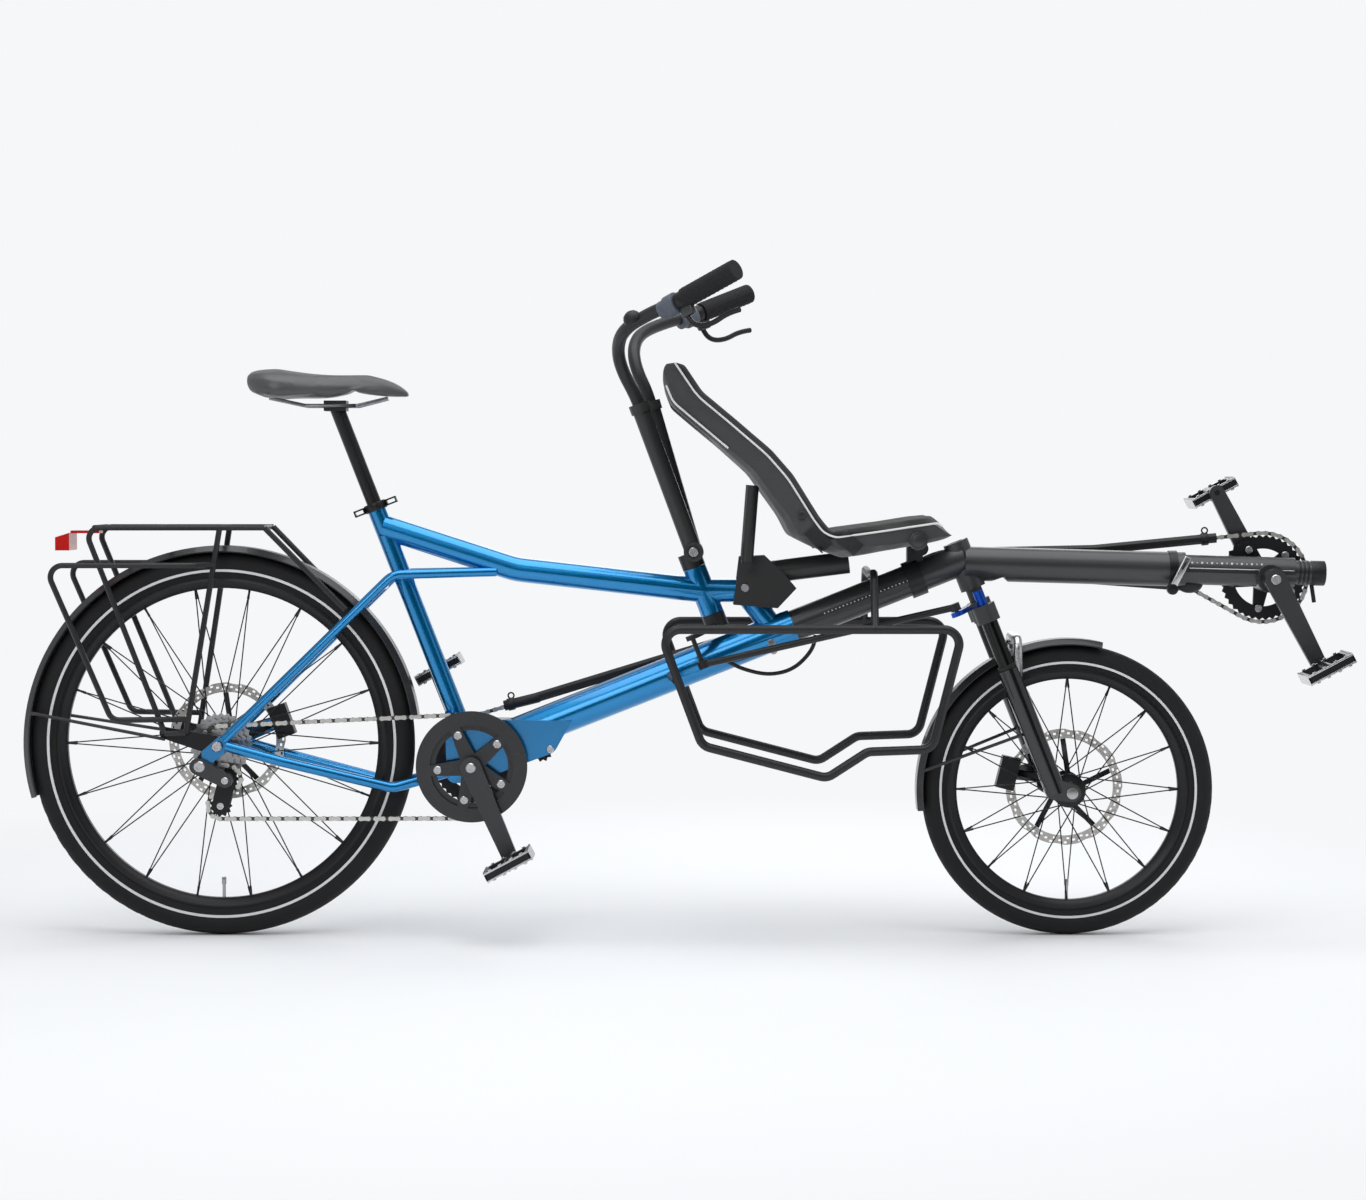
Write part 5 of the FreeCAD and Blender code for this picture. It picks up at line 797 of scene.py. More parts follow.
def tyre(node, name, body, axle, bead, outer, half):
    """A tyre with slanting grooves on its shoulders and a groove each side of its middle rib."""
    piece = spun(axle, tyre_profile(bead, outer, half), steps=TYRE_STEPS)
    for vertex in piece.data.vertices:
        away = vertex.co - axle
        radius = math.hypot(away.x, away.z) / MM
        if radius < outer - BELT_DEPTH:
            continue
        across = abs(away.y) / MM
        turn = math.degrees(math.atan2(away.z, away.x)) + across * GROOVE_SLANT
        index = int(round(turn / (360.0 / TYRE_STEPS)))
        shoulder = index % GROOVE_EVERY == 0 and across > half * GROOVE_FROM_SHARE
        beside_rib = abs(across - half * CENTRE_RIB_SHARE) < half * CENTRE_RIB_HALF_SHARE
        if shoulder or beside_rib:
            shrink = (radius - TREAD_DEPTH) / radius
            vertex.co = Vector((axle.x + away.x * shrink, vertex.co.y, axle.z + away.z * shrink))
    return finish_piece(piece, name, body, "tyre", tyre_rubber(), replaces=(node,))


def reflective_ring(name, body, axle, radius, half, side):
    section = [(radius + rise, side * half + side * out) for rise, out in RING_SECTION]
    return finish_piece(spun(axle, section, steps=RING_STEPS), name, body, "tyre", reflective())


def rim_profile(bead, half):
    """A box-section rim with a tyre channel; points are (radius, across)."""
    wall = [(bead - depth, half * share + extra) for depth, share, extra in RIM_WALL]
    channel = [(bead - depth, half * share + extra) for depth, share, extra in RIM_CHANNEL]
    return ([(radius, -across) for radius, across in wall] + [(bead - RIM_CROWN, 0.0)] + wall[::-1]
            + channel + [(radius, -across) for radius, across in channel[::-1]])


def rim(node, name, body, axle, bead, half):
    piece = spun(axle, rim_profile(bead, half), steps=RIM_STEPS)
    return finish_piece(piece, name, body, "alloy_black", alloy_black(), replaces=(node,))


def valve(name, body, axle, bead):
    base = axle + Vector((0.0, 0.0, -(bead - VALVE_INSET) * MM))
    heights = [base + Vector((0.0, 0.0, height * MM)) for height in (VALVE_STEM, *VALVE_CAP)]
    stem = rod(base, heights[0], VALVE_STEM_RADIUS, sides=12)
    cap = rod(heights[1], heights[2], VALVE_CAP_RADIUS, sides=12, bevel=0.8)
    return finish_piece(joined([stem, cap]), name, body, "steel", steel())


def hub_side(half, flange):
    """One side of a hub shell, from its end to its waist; points are (radius, across)."""
    return ([(radius, half - inward) for radius, inward in HUB_END]
            + [(radius, flange + outward) for radius, outward in HUB_FLANGE])


def hub(node, name, body, axle, half, flanges, pairs, rim_radius):
    """A hub shell with two flanges, and round spokes that cross on their way to the rim."""
    right, left = flanges
    outline = [(radius, -across) for radius, across in hub_side(half, right)] + hub_side(half, left)[::-1]
    finish_piece(spun(axle, outline, steps=HUB_STEPS), name + "_shell", body, "alloy_black", alloy_black())
    wires = []
    step = 360.0 / pairs
    for side, offset in ((RIGHT, right), (LEFT, left)):
        for pair in range(pairs):
            for lean in ENDS:
                angle = step * (pair + side / 4.0)
                start = round_axle(axle, SPOKE_CIRCLE, angle + lean * SPOKE_CROSSING,
                                   side * offset + lean * SPOKE_FLANGE_GAP)
                end = round_axle(axle, rim_radius, angle - lean * step / 4.0, side * SPOKE_RIM_GAP)
                nipple = end + (start - end) * (NIPPLE_LENGTH * MM / (start - end).length)
                wires.append(rod(start, end, SPOKE_RADIUS, sides=8))
                wires.append(rod(nipple, end, NIPPLE_RADIUS, sides=8))
    return finish_piece(joined(wires), name, body, "steel", spoke_black(), replaces=(node,))


def is_slot(face):
    """Whether a face of the rotor's band lies in one of its slanting slots."""
    turn = math.degrees(math.atan2(face.center.y, face.center.x)) % 360.0
    column = int(turn / (360.0 / ROTOR_COLUMNS))
    ring = sum(face.center.length / MM > limit for limit in ROTOR_RADII[1:])
    return ring in SLOT_RINGS and (column + ring * SLOT_SHIFT) % SLOT_EVERY == 0


def rotor_band(axle, offset):
    """A rotor's wavy band, pierced by slanting rows of slots."""
    bpy.ops.mesh.primitive_circle_add(vertices=ROTOR_COLUMNS, radius=ROTOR_RADII[0] * MM,
                                      fill_type="NOTHING")
    band = bpy.context.active_object
    only(band)
    bpy.ops.object.mode_set(mode="EDIT")
    for inner, outer in zip(ROTOR_RADII, ROTOR_RADII[1:]):
        bpy.ops.mesh.extrude_region_move()
        bpy.ops.transform.resize(value=(outer / inner, outer / inner, 1.0), center_override=(0.0, 0.0, 0.0))
    bpy.ops.object.mode_set(mode="OBJECT")
    for vertex in band.data.vertices:
        turn = math.degrees(math.atan2(vertex.co.y, vertex.co.x))
        if vertex.co.length / MM > ROTOR_WAVE_FROM:
            wave = math.sin(math.radians(turn * ROTOR_WAVES))
            vertex.co *= 1.0 - ROTOR_WAVE_SHARE * max(0.0, wave)
    drop_faces(band, is_slot)
    wall_of(band, ROTOR_THICKNESS)
    face_out(band)
    band.matrix_world = (Matrix.Translation(axle + SIDEWAYS * offset * MM)
                         @ SIDEWAYS.to_track_quat("Z", "Y").to_matrix().to_4x4())
    settle(band)
    return band


def rotor(node, name, body, axle, offset):
    """A brake rotor: its pierced band, and the black carrier inside it."""
    finish_piece(rotor_band(axle, offset), name, body, "steel", rotor_steel())
    carrier = dress(node, name + "_carrier", "steel", alloy_black())
    away = [math.hypot(vertex.co.x - axle.x, vertex.co.z - axle.z) for vertex in carrier.data.vertices]
    drop_faces(carrier, lambda face: min(away[corner] for corner in face.vertices) > CARRIER_RADIUS * MM)
    in_edit(carrier,
            lambda: bpy.ops.mesh.fill_holes(sides=0),
            lambda: bpy.ops.mesh.normals_make_consistent(inside=False))


# Chains

LINK_PITCH = 12.7
DRIVE_LINE_Y = -48.0
TIMING_LINE_Y = 48.0
CLOCKWISE = -1.0
ANTICLOCKWISE = 1.0
ARC_STEPS = 60
CASSETTE_TEETH = 16
RING_TEETH = 44
TIMING_TEETH = 38
PULLEY_TEETH = 11
REAR_CRANK = (430.0, 293.0)
FRONT_CRANK = (1793.0, 612.5)
LOWER_PULLEY = (2.0, 226.0)
UPPER_PULLEY = (14.0, 272.0)
TIMING_IDLER = (545.0, 312.0)
UPPER_TUBE_FRONT = (1709.0, 680.7)
LOWER_TUBE_FRONT = (1662.0, 597.2)
UPPER_TUBE_BACK = (524.9, 400.9)
LOWER_TUBE_BACK = (602.8, 359.1)
DERAILLEUR_PIVOT = (-29.0, 296.0)
CAGE_PLATE_Y = -56.0
LINK_END_RADIUS = 4.1
LINK_END_STEPS = 6
LINK_END_ARC = 150.0
LINK_WAIST = 2.9
LINK_WALL = 0.9
OUTER_PLATE_Y = 3.1
INNER_PLATE_Y = 2.1
LINK_PIN = (3.9, 1.8, 10)
LINK_ROLLER = (1.6, 3.5, 14)
TUBE_CLIPS = [(1692.0, 678.7, 6.5), (492.0, 392.8, 13.8)]
TUBE_TAIL = [(541.0, 404.9), (480.0, 389.9)]
TUBE_RADIUS = 9.0
CLIP_RING_RADIUS = 5.0
CLIP_WIRE_RADIUS = 1.4
CLIP_RING_RISE = 15.0
CLIP_BAND_HALF = 6.0
CLIP_BAND_RADIUS = 10.8


def pitch_radius(teeth):
    return LINK_PITCH / 2.0 / math.sin(math.pi / teeth)


def tangent_line(first, second):
    """The straight run between two wheels, each (centre x, centre z, radius, turn)."""
    across = Vector((second[0] - first[0], second[1] - first[1]))
    length = across.length
    along = across / length
    lift = (second[2] * second[3] - first[2] * first[3]) / length
    level = math.sqrt(1.0 - lift * lift)
    normal = along * lift + Vector((-along.y, along.x)) * level
    start = Vector(first[:2]) - normal * first[2] * first[3]
    stop = Vector(second[:2]) - normal * second[2] * second[3]
    return start, stop, math.atan2(normal.y, normal.x)


def chain_route(wheels, closed):
    """A fine line along the whole chain, as places in millimetres."""
    count = len(wheels)
    runs = [tangent_line(wheels[index], wheels[(index + 1) % count]) for index in range(count - (not closed))]
    places = []
    for index, (start, stop, turn_at) in enumerate(runs):
        places += [start, stop]
        if not closed and index == len(runs) - 1:
            continue
        x, z, radius, turn = wheels[(index + 1) % count]
        sweep = (runs[(index + 1) % len(runs)][2] - turn_at) * turn % math.tau
        for step in range(1, ARC_STEPS):
            angle = turn_at + turn * sweep * step / ARC_STEPS
            places.append(Vector((x, z)) - Vector((math.cos(angle), math.sin(angle))) * radius * turn)
    if closed:
        places.append(places[0])
    return places


def pins_along(places):
    """Pins a link's pitch apart along a line."""
    total = sum((after - before).length for before, after in zip(places, places[1:]))
    pitch = total / round(total / LINK_PITCH)
    pins = [places[0]]
    left = pitch
    for before, after in zip(places, places[1:]):
        run = (after - before).length
        done = 0.0
        while run - done >= left:
            done += left
            pins.append(before + (after - before) * (done / run))
            left = pitch
        left -= run - done
    return pins


def link_plate():
    """One side plate of a link: two round ends and a waist between them."""
    outline = []
    for end in ENDS[::-1]:
        for step in range(LINK_END_STEPS + 1):
            angle = math.radians(LINK_END_ARC * (step / LINK_END_STEPS - 0.5))
            along = end * (LINK_PITCH / 2.0 + LINK_END_RADIUS * math.cos(angle))
            outline.append((along * MM, 0.0, end * LINK_END_RADIUS * math.sin(angle) * MM))
        outline.append((0.0, 0.0, end * LINK_WAIST * MM))
    return flat_plate(outline)


def chain_link(outer):
    """An outer link with its pins, or an inner one with its rollers."""
    pieces = []
    for side in ENDS:
        piece = link_plate()
        wall_of(piece, LINK_WALL)
        piece.location = (0.0, side * (OUTER_PLATE_Y if outer else INNER_PLATE_Y) * MM, 0.0)
        settle(piece)
        face_out(piece)
        pieces.append(piece)
    half, radius, sides = LINK_PIN if outer else LINK_ROLLER
    for end in ENDS:
        middle = Vector((end * LINK_PITCH / 2.0 * MM, 0.0, 0.0))
        pieces.append(rod(middle - SIDEWAYS * half * MM, middle + SIDEWAYS * half * MM, radius, sides=sides))
    link = joined(pieces)
    smooth(link)
    paint(link, chain_steel() if outer else chain_dark())
    return link


def chain_links(name, node, routes, y):
    """Outer and inner links in turn along one or more lines."""
    models = (chain_link(True), chain_link(False))
    copies = []
    for places in routes:
        pins = pins_along(places)
        for index, (before, after) in enumerate(zip(pins, pins[1:])):
            model = models[index % 2]
            link = model.copy()
            link.data = model.data.copy()
            bpy.context.scene.collection.objects.link(link)
            middle = (before + after) / 2.0
            tilt = math.atan2(after.y - before.y, after.x - before.x)
            link.matrix_world = Matrix.Translation(at(middle.x, y, middle.y)) @ Matrix.Rotation(-tilt, 4, "Y")
            copies.append(link)
    for model in models:
        bpy.data.objects.remove(model)
    return finish_piece(joined(copies), name, "frame", "chain_steel", replaces=(node,))


def chain_tube_clip(x, z, fall):
    """A band round a chain tube's end, with a small ring standing on it."""
    ahead = Vector((math.cos(math.radians(fall)), 0.0, math.sin(math.radians(fall))))
    middle = at(x, TIMING_LINE_Y, z)
    bpy.ops.mesh.primitive_torus_add(major_segments=32, minor_segments=10, major_radius=CLIP_RING_RADIUS * MM,
                                     minor_radius=CLIP_WIRE_RADIUS * MM,
                                     location=middle + UPWARD * CLIP_RING_RISE * MM,
                                     rotation=(math.pi / 2.0, 0.0, 0.0))
    ring = bpy.context.active_object
    smooth(ring, ROUND_SMOOTH)
    band = rod(middle - ahead * CLIP_BAND_HALF * MM, middle + ahead * CLIP_BAND_HALF * MM, CLIP_BAND_RADIUS,
               sides=40, bevel=1.0)
    return joined([ring, band])


def bolt_circle(name, body, centre, radius, angles, y, outward, head, height=2.5):
    heads = [bolt(round_axle(centre, radius, angle, y), SIDEWAYS * outward, head, height) for angle in angles]
    return finish_piece(joined(heads), name, body, "steel", alloy_silver())


# Cranks and pedals

CRANK_BOLT_Y = 78.5
CRANK_BOLT = (8.5, 3.5)
RING_BOLT_CIRCLE = 58.0
RING_NUT_CIRCLE = 54.0
GUARD_BOLT_Y = -56.0
RING_BOLT_Y = 53.0
RING_NUT_Y = 43.0
CRANK_ARM_FROM = 64.5
TOOTH_LINE_Y = 48.0
TOOTH_LINE_HALF = 1.6
TOOTH_FROM = 82.0
REAR_CRANK_ANGLE = -66.5
FRONT_CRANK_ANGLE = -62.5
RING_ARMS = 5
ARM_STEP = 360.0 / RING_ARMS
PEDAL_PITCH = 28.0
PEDAL_HALF_LENGTH = 42.0
PEDAL_HALF_WIDTH = 46.0
PEDAL_HALF_HEIGHT = 8.0
CAGE_TEETH = 9
CAGE_TOOTH_RISE = 2.0
CAGE_VALLEY_RISE = -0.4
CAGE_INSET = 1.0
CAGE_WALL = 2.6
STRIP_INSET = 1.2
STRIP_WIDTH = 1.8
STRIP_HEIGHT = 3.2
STRIP_TOOTH = (6.0, STRIP_WIDTH, 3.4)
STRIP_TOOTH_SHARES = (-0.7, -0.25, 0.25, 0.7)
STRIP_EDGE = 0.6


def crank_finish(piece, centre):
    """Grey on the crank arms, and bare steel on the teeth of the largest ring."""
    place_material(piece, 1, lambda middle: abs(middle.y) > CRANK_ARM_FROM * MM)
    place_material(piece, 2, lambda middle: (abs(abs(middle.y) - TOOTH_LINE_Y * MM) < TOOTH_LINE_HALF * MM
                                             and math.hypot(middle.x - centre.x, middle.z - centre.z)
                                             > TOOTH_FROM * MM))


def arm_angles(crank_angle):
    return [crank_angle + ARM_STEP / 2.0 + ARM_STEP * arm for arm in range(RING_ARMS)]


def crank_bolt(name, body, centre, side):
    return bolt_circle(name, body, centre, 0.0, [0.0], side * CRANK_BOLT_Y, side, *CRANK_BOLT)


def serrated_cage(name, body):
    """Two bright toothed plates across a pedal's ends, and toothed strips along its sides."""
    centre = Vector(JOINTS[body + "_spin"]["pos_m"])
    pitch = math.radians(PEDAL_PITCH)
    along = Vector((math.cos(pitch), 0.0, math.sin(pitch)))
    up = Vector((-math.sin(pitch), 0.0, math.cos(pitch)))
    plates = []
    for end in ENDS:
        outline = []
        for edge in ENDS[::-1]:
            for index in range(CAGE_TEETH * 2 + 1):
                across = edge * PEDAL_HALF_WIDTH * (index / CAGE_TEETH - 1.0)
                rise = edge * (PEDAL_HALF_HEIGHT + (CAGE_TOOTH_RISE if index % 2 else CAGE_VALLEY_RISE))
                outline.append(centre + (SIDEWAYS * across + up * rise
                                         + along * end * (PEDAL_HALF_LENGTH - CAGE_INSET)) * MM)
        piece = flat_plate(outline)
        wall_of(piece, CAGE_WALL)
        face_out(piece)
        plates.append(piece)
    for edge in ENDS:
        for rise in ENDS:
            spot = centre + (SIDEWAYS * edge * PEDAL_HALF_WIDTH
                             + up * rise * (PEDAL_HALF_HEIGHT - STRIP_INSET)) * MM
            plates.append(block(spot, (PEDAL_HALF_LENGTH * 2.0, STRIP_WIDTH, STRIP_HEIGHT), -PEDAL_PITCH,
                                STRIP_EDGE))
            for share in STRIP_TOOTH_SHARES:
                tooth = spot + (along * share * PEDAL_HALF_LENGTH + up * rise * CAGE_TOOTH_RISE) * MM
                plates.append(block(tooth, STRIP_TOOTH, -PEDAL_PITCH, STRIP_EDGE))
    return finish_piece(joined(plates), name, body, "alloy_silver", alloy_silver())


# Frame fittings

DROPOUT_BACK_X = -20.0
DROPOUT_BOLT_Y = 79.5
FRAME_BOLTS = [(563.0, 321.0), (941.0, 503.0), (945.0, 489.0)]
FRAME_PITCH = 21.5
MAIN_TUBE_X = 750.0
MAIN_TUBE_Z = 440.5
SEAT_TUBE_TOP_X = 262.0
SEAT_TUBE_TOP_Z = 738.0
SEAT_TUBE_LEAN = 21.2
COLLAR_RADIUS = 19.5
COLLAR_BELOW = 10.0
COLLAR_ABOVE = 4.0
EAR_REACH = 29.0
EAR_DROP = 3.0
EAR_LENGTH = 19.0
EAR_HEIGHT = 11.0
EAR_BAR = 2.6
EAR_DEPTH = 18.0
EAR_EDGE = 0.6
SLIDE_MARK_X = 1032.0
SLIDE_MARK_PITCH = 6.4
SLIDE_MARK_LIFT = 2.0
SLIDE_MARK_RADIUS = 1.2
SLIDE_MARK_Y = (25.0, 27.5)
SLIDE_MARKS = 24
BOOM_Z = 627.5
BOOM_FALL = 0.0278
BOOM_CLAMP_X = 1650.0
BOOM_MARK_X = 1660.0
BOOM_MARK_PITCH = 8.5
BOOM_MARK_LIFT = 12.8
BOOM_MARK_Y = (18.0, 22.9)
BOOM_MARK_RADIUS = 2.0
BOOM_MARK_SMALLER = 0.8
BOOM_MARKS = 15
CLAMP_LEVER_TILT = 27.0
CLAMP_LEVER_PLACE = (1637.0, -41.0, 623.0)
CLAMP_LEVER_SIZE = (12.0, 6.0, 60.0)
CLAMP_LEVER_SLOT_PLACE = (1643.0, -41.6, 635.0)
CLAMP_LEVER_SLOT_SIZE = (4.5, 6.4, 16.0)
CLAMP_LEVER_EDGE = 2.0
CLAMP_LEVER_NUT_X = 1624.0
CLAMP_LEVER_NUT_Z = 595.0
CLAMP_LEVER_NUT_Y = (-30.0, -45.0)
CLAMP_LEVER_NUT_RADIUS = 9.5
POD_PLACE = (1659.0, 0.0, 603.0)
POD_SIZE = (23.0, 11.0, 16.0)
GROOVE_X = (1655.0, 1834.0)
GROOVE_Y = -25.0
GROOVE_LIFT = 3.4
GROOVE_HIGHLIGHT_RADIUS = 0.9
CAP_RINGS = [1844.0, 1851.0, 1858.0]
CAP_RING_WIDTH = 4.0
CAP_X = (1865.0, 1890.5)
CAP_RADIUS = 21.4
STUB_TOP_X = 1868.0
STUB_TOP_DROP = 18.0
STUB_FOOT = (1873.0, 0.0, 571.0)
STUB_RADIUS = 3.6


def seat_tube_collar():
    """The seat tube's clamp: a band with a slotted ear in front and one behind."""
    lean = math.radians(SEAT_TUBE_LEAN)
    top = at(SEAT_TUBE_TOP_X, 0.0, SEAT_TUBE_TOP_Z)
    up = Vector((-math.sin(lean), 0.0, math.cos(lean)))
    ahead = Vector((math.cos(lean), 0.0, math.sin(lean)))
    pieces = [rod(top - up * COLLAR_BELOW * MM, top + up * COLLAR_ABOVE * MM, COLLAR_RADIUS, sides=48,
                  bevel=1.2)]
    for end in ENDS:
        centre = top + (ahead * end * EAR_REACH - up * EAR_DROP) * MM
        for edge in ENDS:
            pieces.append(block(centre + up * edge * (EAR_HEIGHT - EAR_BAR) / 2.0 * MM,
                                (EAR_LENGTH, EAR_DEPTH, EAR_BAR), -SEAT_TUBE_LEAN, EAR_EDGE))
            pieces.append(block(centre + ahead * edge * (EAR_LENGTH - EAR_BAR) / 2.0 * MM,
                                (EAR_BAR, EAR_DEPTH, EAR_HEIGHT), -SEAT_TUBE_LEAN, EAR_EDGE))
    return finish_piece(joined(pieces), "seat_tube_collar", "frame", "alloy_black", alloy_black())


def boom_at(x, y=0.0, lift=0.0):
    """A place beside the boom's middle line."""
    return at(x, y, BOOM_Z - (x - BOOM_CLAMP_X) * BOOM_FALL + lift)


def main_tube_at(x, lift):
    return at(x, 0.0, MAIN_TUBE_Z + (x - MAIN_TUBE_X) * math.tan(math.radians(FRAME_PITCH)) + lift)


def mark(place, reach, radius):
    """A round mark let into a tube's right side."""
    near, far = reach
    return rod(place - SIDEWAYS * near * MM, place - SIDEWAYS * far * MM, radius, sides=10)


def scales():
    """The row of large and small marks along the boom, and the row of dots below the seat."""
    marks = []
    for index in range(BOOM_MARKS):
        x = BOOM_MARK_X + index * BOOM_MARK_PITCH
        marks.append(mark(boom_at(x, lift=BOOM_MARK_LIFT), BOOM_MARK_Y,
                          BOOM_MARK_RADIUS - index % 2 * BOOM_MARK_SMALLER))
    finish_piece(joined(marks), "boom_scale", "frame", "frame_black", reflective())
    dots = [mark(main_tube_at(SLIDE_MARK_X + index * SLIDE_MARK_PITCH, SLIDE_MARK_LIFT), SLIDE_MARK_Y,
                 SLIDE_MARK_RADIUS) for index in range(SLIDE_MARKS)]
    finish_piece(joined(dots), "slide_scale", "frame", "frame_black", reflective())


def boom_lever():
    """The boom clamp's quick-release lever and its nut."""
    lever = block(at(*CLAMP_LEVER_PLACE), CLAMP_LEVER_SIZE, CLAMP_LEVER_TILT, CLAMP_LEVER_EDGE)
    slot = block(at(*CLAMP_LEVER_SLOT_PLACE), CLAMP_LEVER_SLOT_SIZE, CLAMP_LEVER_TILT, CLAMP_LEVER_EDGE)
    paint(lever, alloy_silver())
    paint(slot, plastic_black())
    near, far = [at(CLAMP_LEVER_NUT_X, y, CLAMP_LEVER_NUT_Z) for y in CLAMP_LEVER_NUT_Y]
    nut = rod(near, far, CLAMP_LEVER_NUT_RADIUS, sides=32, bevel=2.0)
    paint(nut, alloy_black())
    finish_piece(joined([lever, slot, nut]), "boom_clamp_lever", "frame", "alloy_silver")


def boom_pod():
    bpy.ops.mesh.primitive_uv_sphere_add(segments=32, ring_count=16, location=at(*POD_PLACE))
    pod = bpy.context.active_object
    pod.scale = [part * MM for part in POD_SIZE]
    smooth(pod, ROUND_SMOOTH)
    finish_piece(pod, "boom_pod", "frame", "plastic_black", plastic_black())


# A bright silver rod along the boom's groove: a painted highlight that stands in for the light caught on the
# groove's lower edge.
def painted_groove_highlight():
    start, stop = [boom_at(x, GROOVE_Y, GROOVE_LIFT) for x in GROOVE_X]
    groove = rod(start, stop, GROOVE_HIGHLIGHT_RADIUS, sides=8)
    finish_piece(groove, "boom_groove_painted_highlight", "frame", "frame_black", alloy_silver())


def boom_cap():
    """The boom's end cap with three ribs behind it and a small stub below."""
    pieces = [rod(boom_at(x), boom_at(x + CAP_RING_WIDTH), CAP_RADIUS, sides=64, bevel=0.8)
              for x in CAP_RINGS]
    start, stop = [boom_at(x) for x in CAP_X]
    pieces.append(rod(start, stop, CAP_RADIUS, sides=64, bevel=2.0))
    stub_top = boom_at(STUB_TOP_X, lift=-STUB_TOP_DROP)
    pieces.append(rod(stub_top, at(*STUB_FOOT), STUB_RADIUS, sides=16, bevel=1.0))
    finish_piece(joined(pieces), "boom_cap", "frame", "plastic_black", plastic_black())


# Fork

AXLE_RAKE = 24.0
LEG_SPREAD = 64.0
CROWN_FOOT_UP = 321.0
CROWN_FOOT_Y = 49.0
ADJUSTER_UP = 353.0
ADJUSTER_Y = -50.0
STANCHION_UP = 236.0
SEAL_UP = (235.0, 243.0)
SEAL_RADIUS = 16.4
AXLE_NUT_Y = (78.0, 83.0)
AXLE_NUT_RADIUS = 10.0


def fork_up(place):
    """A place's height above the front axle, along the steering axis."""
    return (place - FRONT_AXLE_PLACE).dot(STEER_UP) / MM


def leg_at(side, up):
    """A place on a fork leg's middle line, by its height above the axle along the steering axis."""
    return FRONT_AXLE_PLACE + (STEER_UP * up - STEER_FORWARD * AXLE_RAKE + SIDEWAYS * side * LEG_SPREAD) * MM


def fork_seal(side):
    start, stop = [leg_at(side, up) for up in SEAL_UP]
    return rod(start, stop, SEAL_RADIUS, sides=40, bevel=1.2)


def axle_nut(side):
    start, stop = [FRONT_AXLE_PLACE + SIDEWAYS * side * y * MM for y in AXLE_NUT_Y]
    return rod(start, stop, AXLE_NUT_RADIUS, sides=32, bevel=1.0)


# Cord

CABLE_ROUTE = [(866.0, -31.0, 472.0), (880.0, -27.5, 463.5), (898.0, -22.0, 456.5), (920.0, -17.0, 450.5),
               (941.0, -13.0, 448.4), (966.0, -9.0, 452.5), (986.0, -6.0, 462.6), (1002.0, -3.0, 478.0),
               (1012.0, -1.0, 492.0), (1016.5, 0.0, 505.0), (1017.5, 0.0, 515.2)]
CABLE_RADIUS = 3.5


def control_cable():
    """The black cable that loops below the main tube's front end."""
    cable = curve_pipe("control_cable_loop", [at(*point) for point in CABLE_ROUTE], CABLE_RADIUS,
                       resolution=12)
    cable.data.materials.append(plastic_black())
    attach(cable, "frame")
    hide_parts("control_cable")


# Seats

CLOTH_QUALITY = 5
CLOTH_MOMENTS = 20
ROUNDING_PASSES = 3
SADDLE_SKIRT_Z = 941.0
SADDLE_SKIRT_DEPTH = 16.0
SADDLE_RISE = 8.0
SADDLE_RISE_X = 228.0
SADDLE_RISE_REACH = 32.0
SADDLE_RAIL_Z = 896.0
SEATPOST_HEAD_X = 196.0
SEATPOST_HEAD_HALF = 20.0
FLANK_FROM = 150.0
FLANK_BLEND = 25.0
FOLD_DEPTH = 2.6
FOLD_ALONG = 0.5
FOLD_UP = 0.9
FOLD_PITCH = 19.0
FOLD_SWAY = 1.4
FOLD_SWAY_PITCH = 47.0
SEAT_HALF_WIDTH = 185.0
SEAT_FACE = [(780.0, 986.0), (820.0, 927.0), (873.0, 883.0), (936.0, 829.0), (972.0, 788.0),
             (1017.0, 716.0), (1036.0, 693.0), (1130.0, 706.0), (1215.0, 719.0), (1257.0, 690.0)]
SEAT_BACK = [(756.0, 942.0), (770.0, 908.0), (868.0, 826.0)]
SEAT_FACE_BAND = 10.0
PIPING_END = (1230.0, 709.0)
PIPING_STEP = 14.0
PIPING_RADIUS = 1.7
PIPING_LIFT = 0.8
PIPING_REACH_SHARE = 1.05
PIPING_FRONT_DEPTH = 9.0
PIPING_BACK_DEPTH = 4.0
STRAP_ROUTES = [[(1000.0, 700.0), (1030.0, 668.0)], [(1052.0, 690.0), (1082.0, 664.0)]]
STRAP_WIDTH = 24.0
STRAP_STEPS = 8
STRAP_LIFT = 1.4
STRAP_WALL = 2.0
BUCKLE_X = 987.0
BUCKLE_Z = 723.0
BUCKLE_RADIUS = 7.5
KNOB_X = 1181.0
KNOB_Z = 680.0
KNOB_LIFT = 8.0
KNOB_Y = (4.0, -7.0)
KNOB_RADIUS = 16.0
KNOB_SIDES = 10
KNOB_CAP_Y = (-6.0, -9.0)
KNOB_CAP_RADIUS = 10.5
BRACKET_BOLTS = [(896.0, 597.0)]


def saddle_shaping(place):
    """The saddle's skirt rises ahead of its middle and dips again under the nose."""
    away = (place - GROUND) / MM
    low = max(0.0, min(1.0, (SADDLE_SKIRT_Z - away.z) / SADDLE_SKIRT_DEPTH))
    rise = SADDLE_RISE * math.exp(-((away.x - SADDLE_RISE_X) / SADDLE_RISE_REACH) ** 2)
    return place + Vector((0.0, 0.0, rise * low * MM))


def cushion_shaping(place):
    """Slanting folds in the seat's side panels."""
    away = (place - GROUND) / MM
    flank = max(0.0, min(1.0, (abs(away.y) - FLANK_FROM) / FLANK_BLEND))
    sway = FOLD_SWAY * math.sin(away.z / FOLD_SWAY_PITCH)
    fold = math.sin((away.x * FOLD_ALONG + away.z * FOLD_UP) / FOLD_PITCH + sway)
    return place - Vector((0.0, math.copysign(FOLD_DEPTH * flank * max(0.0, fold), away.y) * MM, 0.0))


def apply_new(piece, name, kind, **settings):
    """Adds a modifier with its settings and applies it."""
    added = piece.modifiers.new(name, kind)
    for setting, value in settings.items():
        setattr(added, setting, value)
    bpy.ops.object.modifier_apply(modifier=added.name)


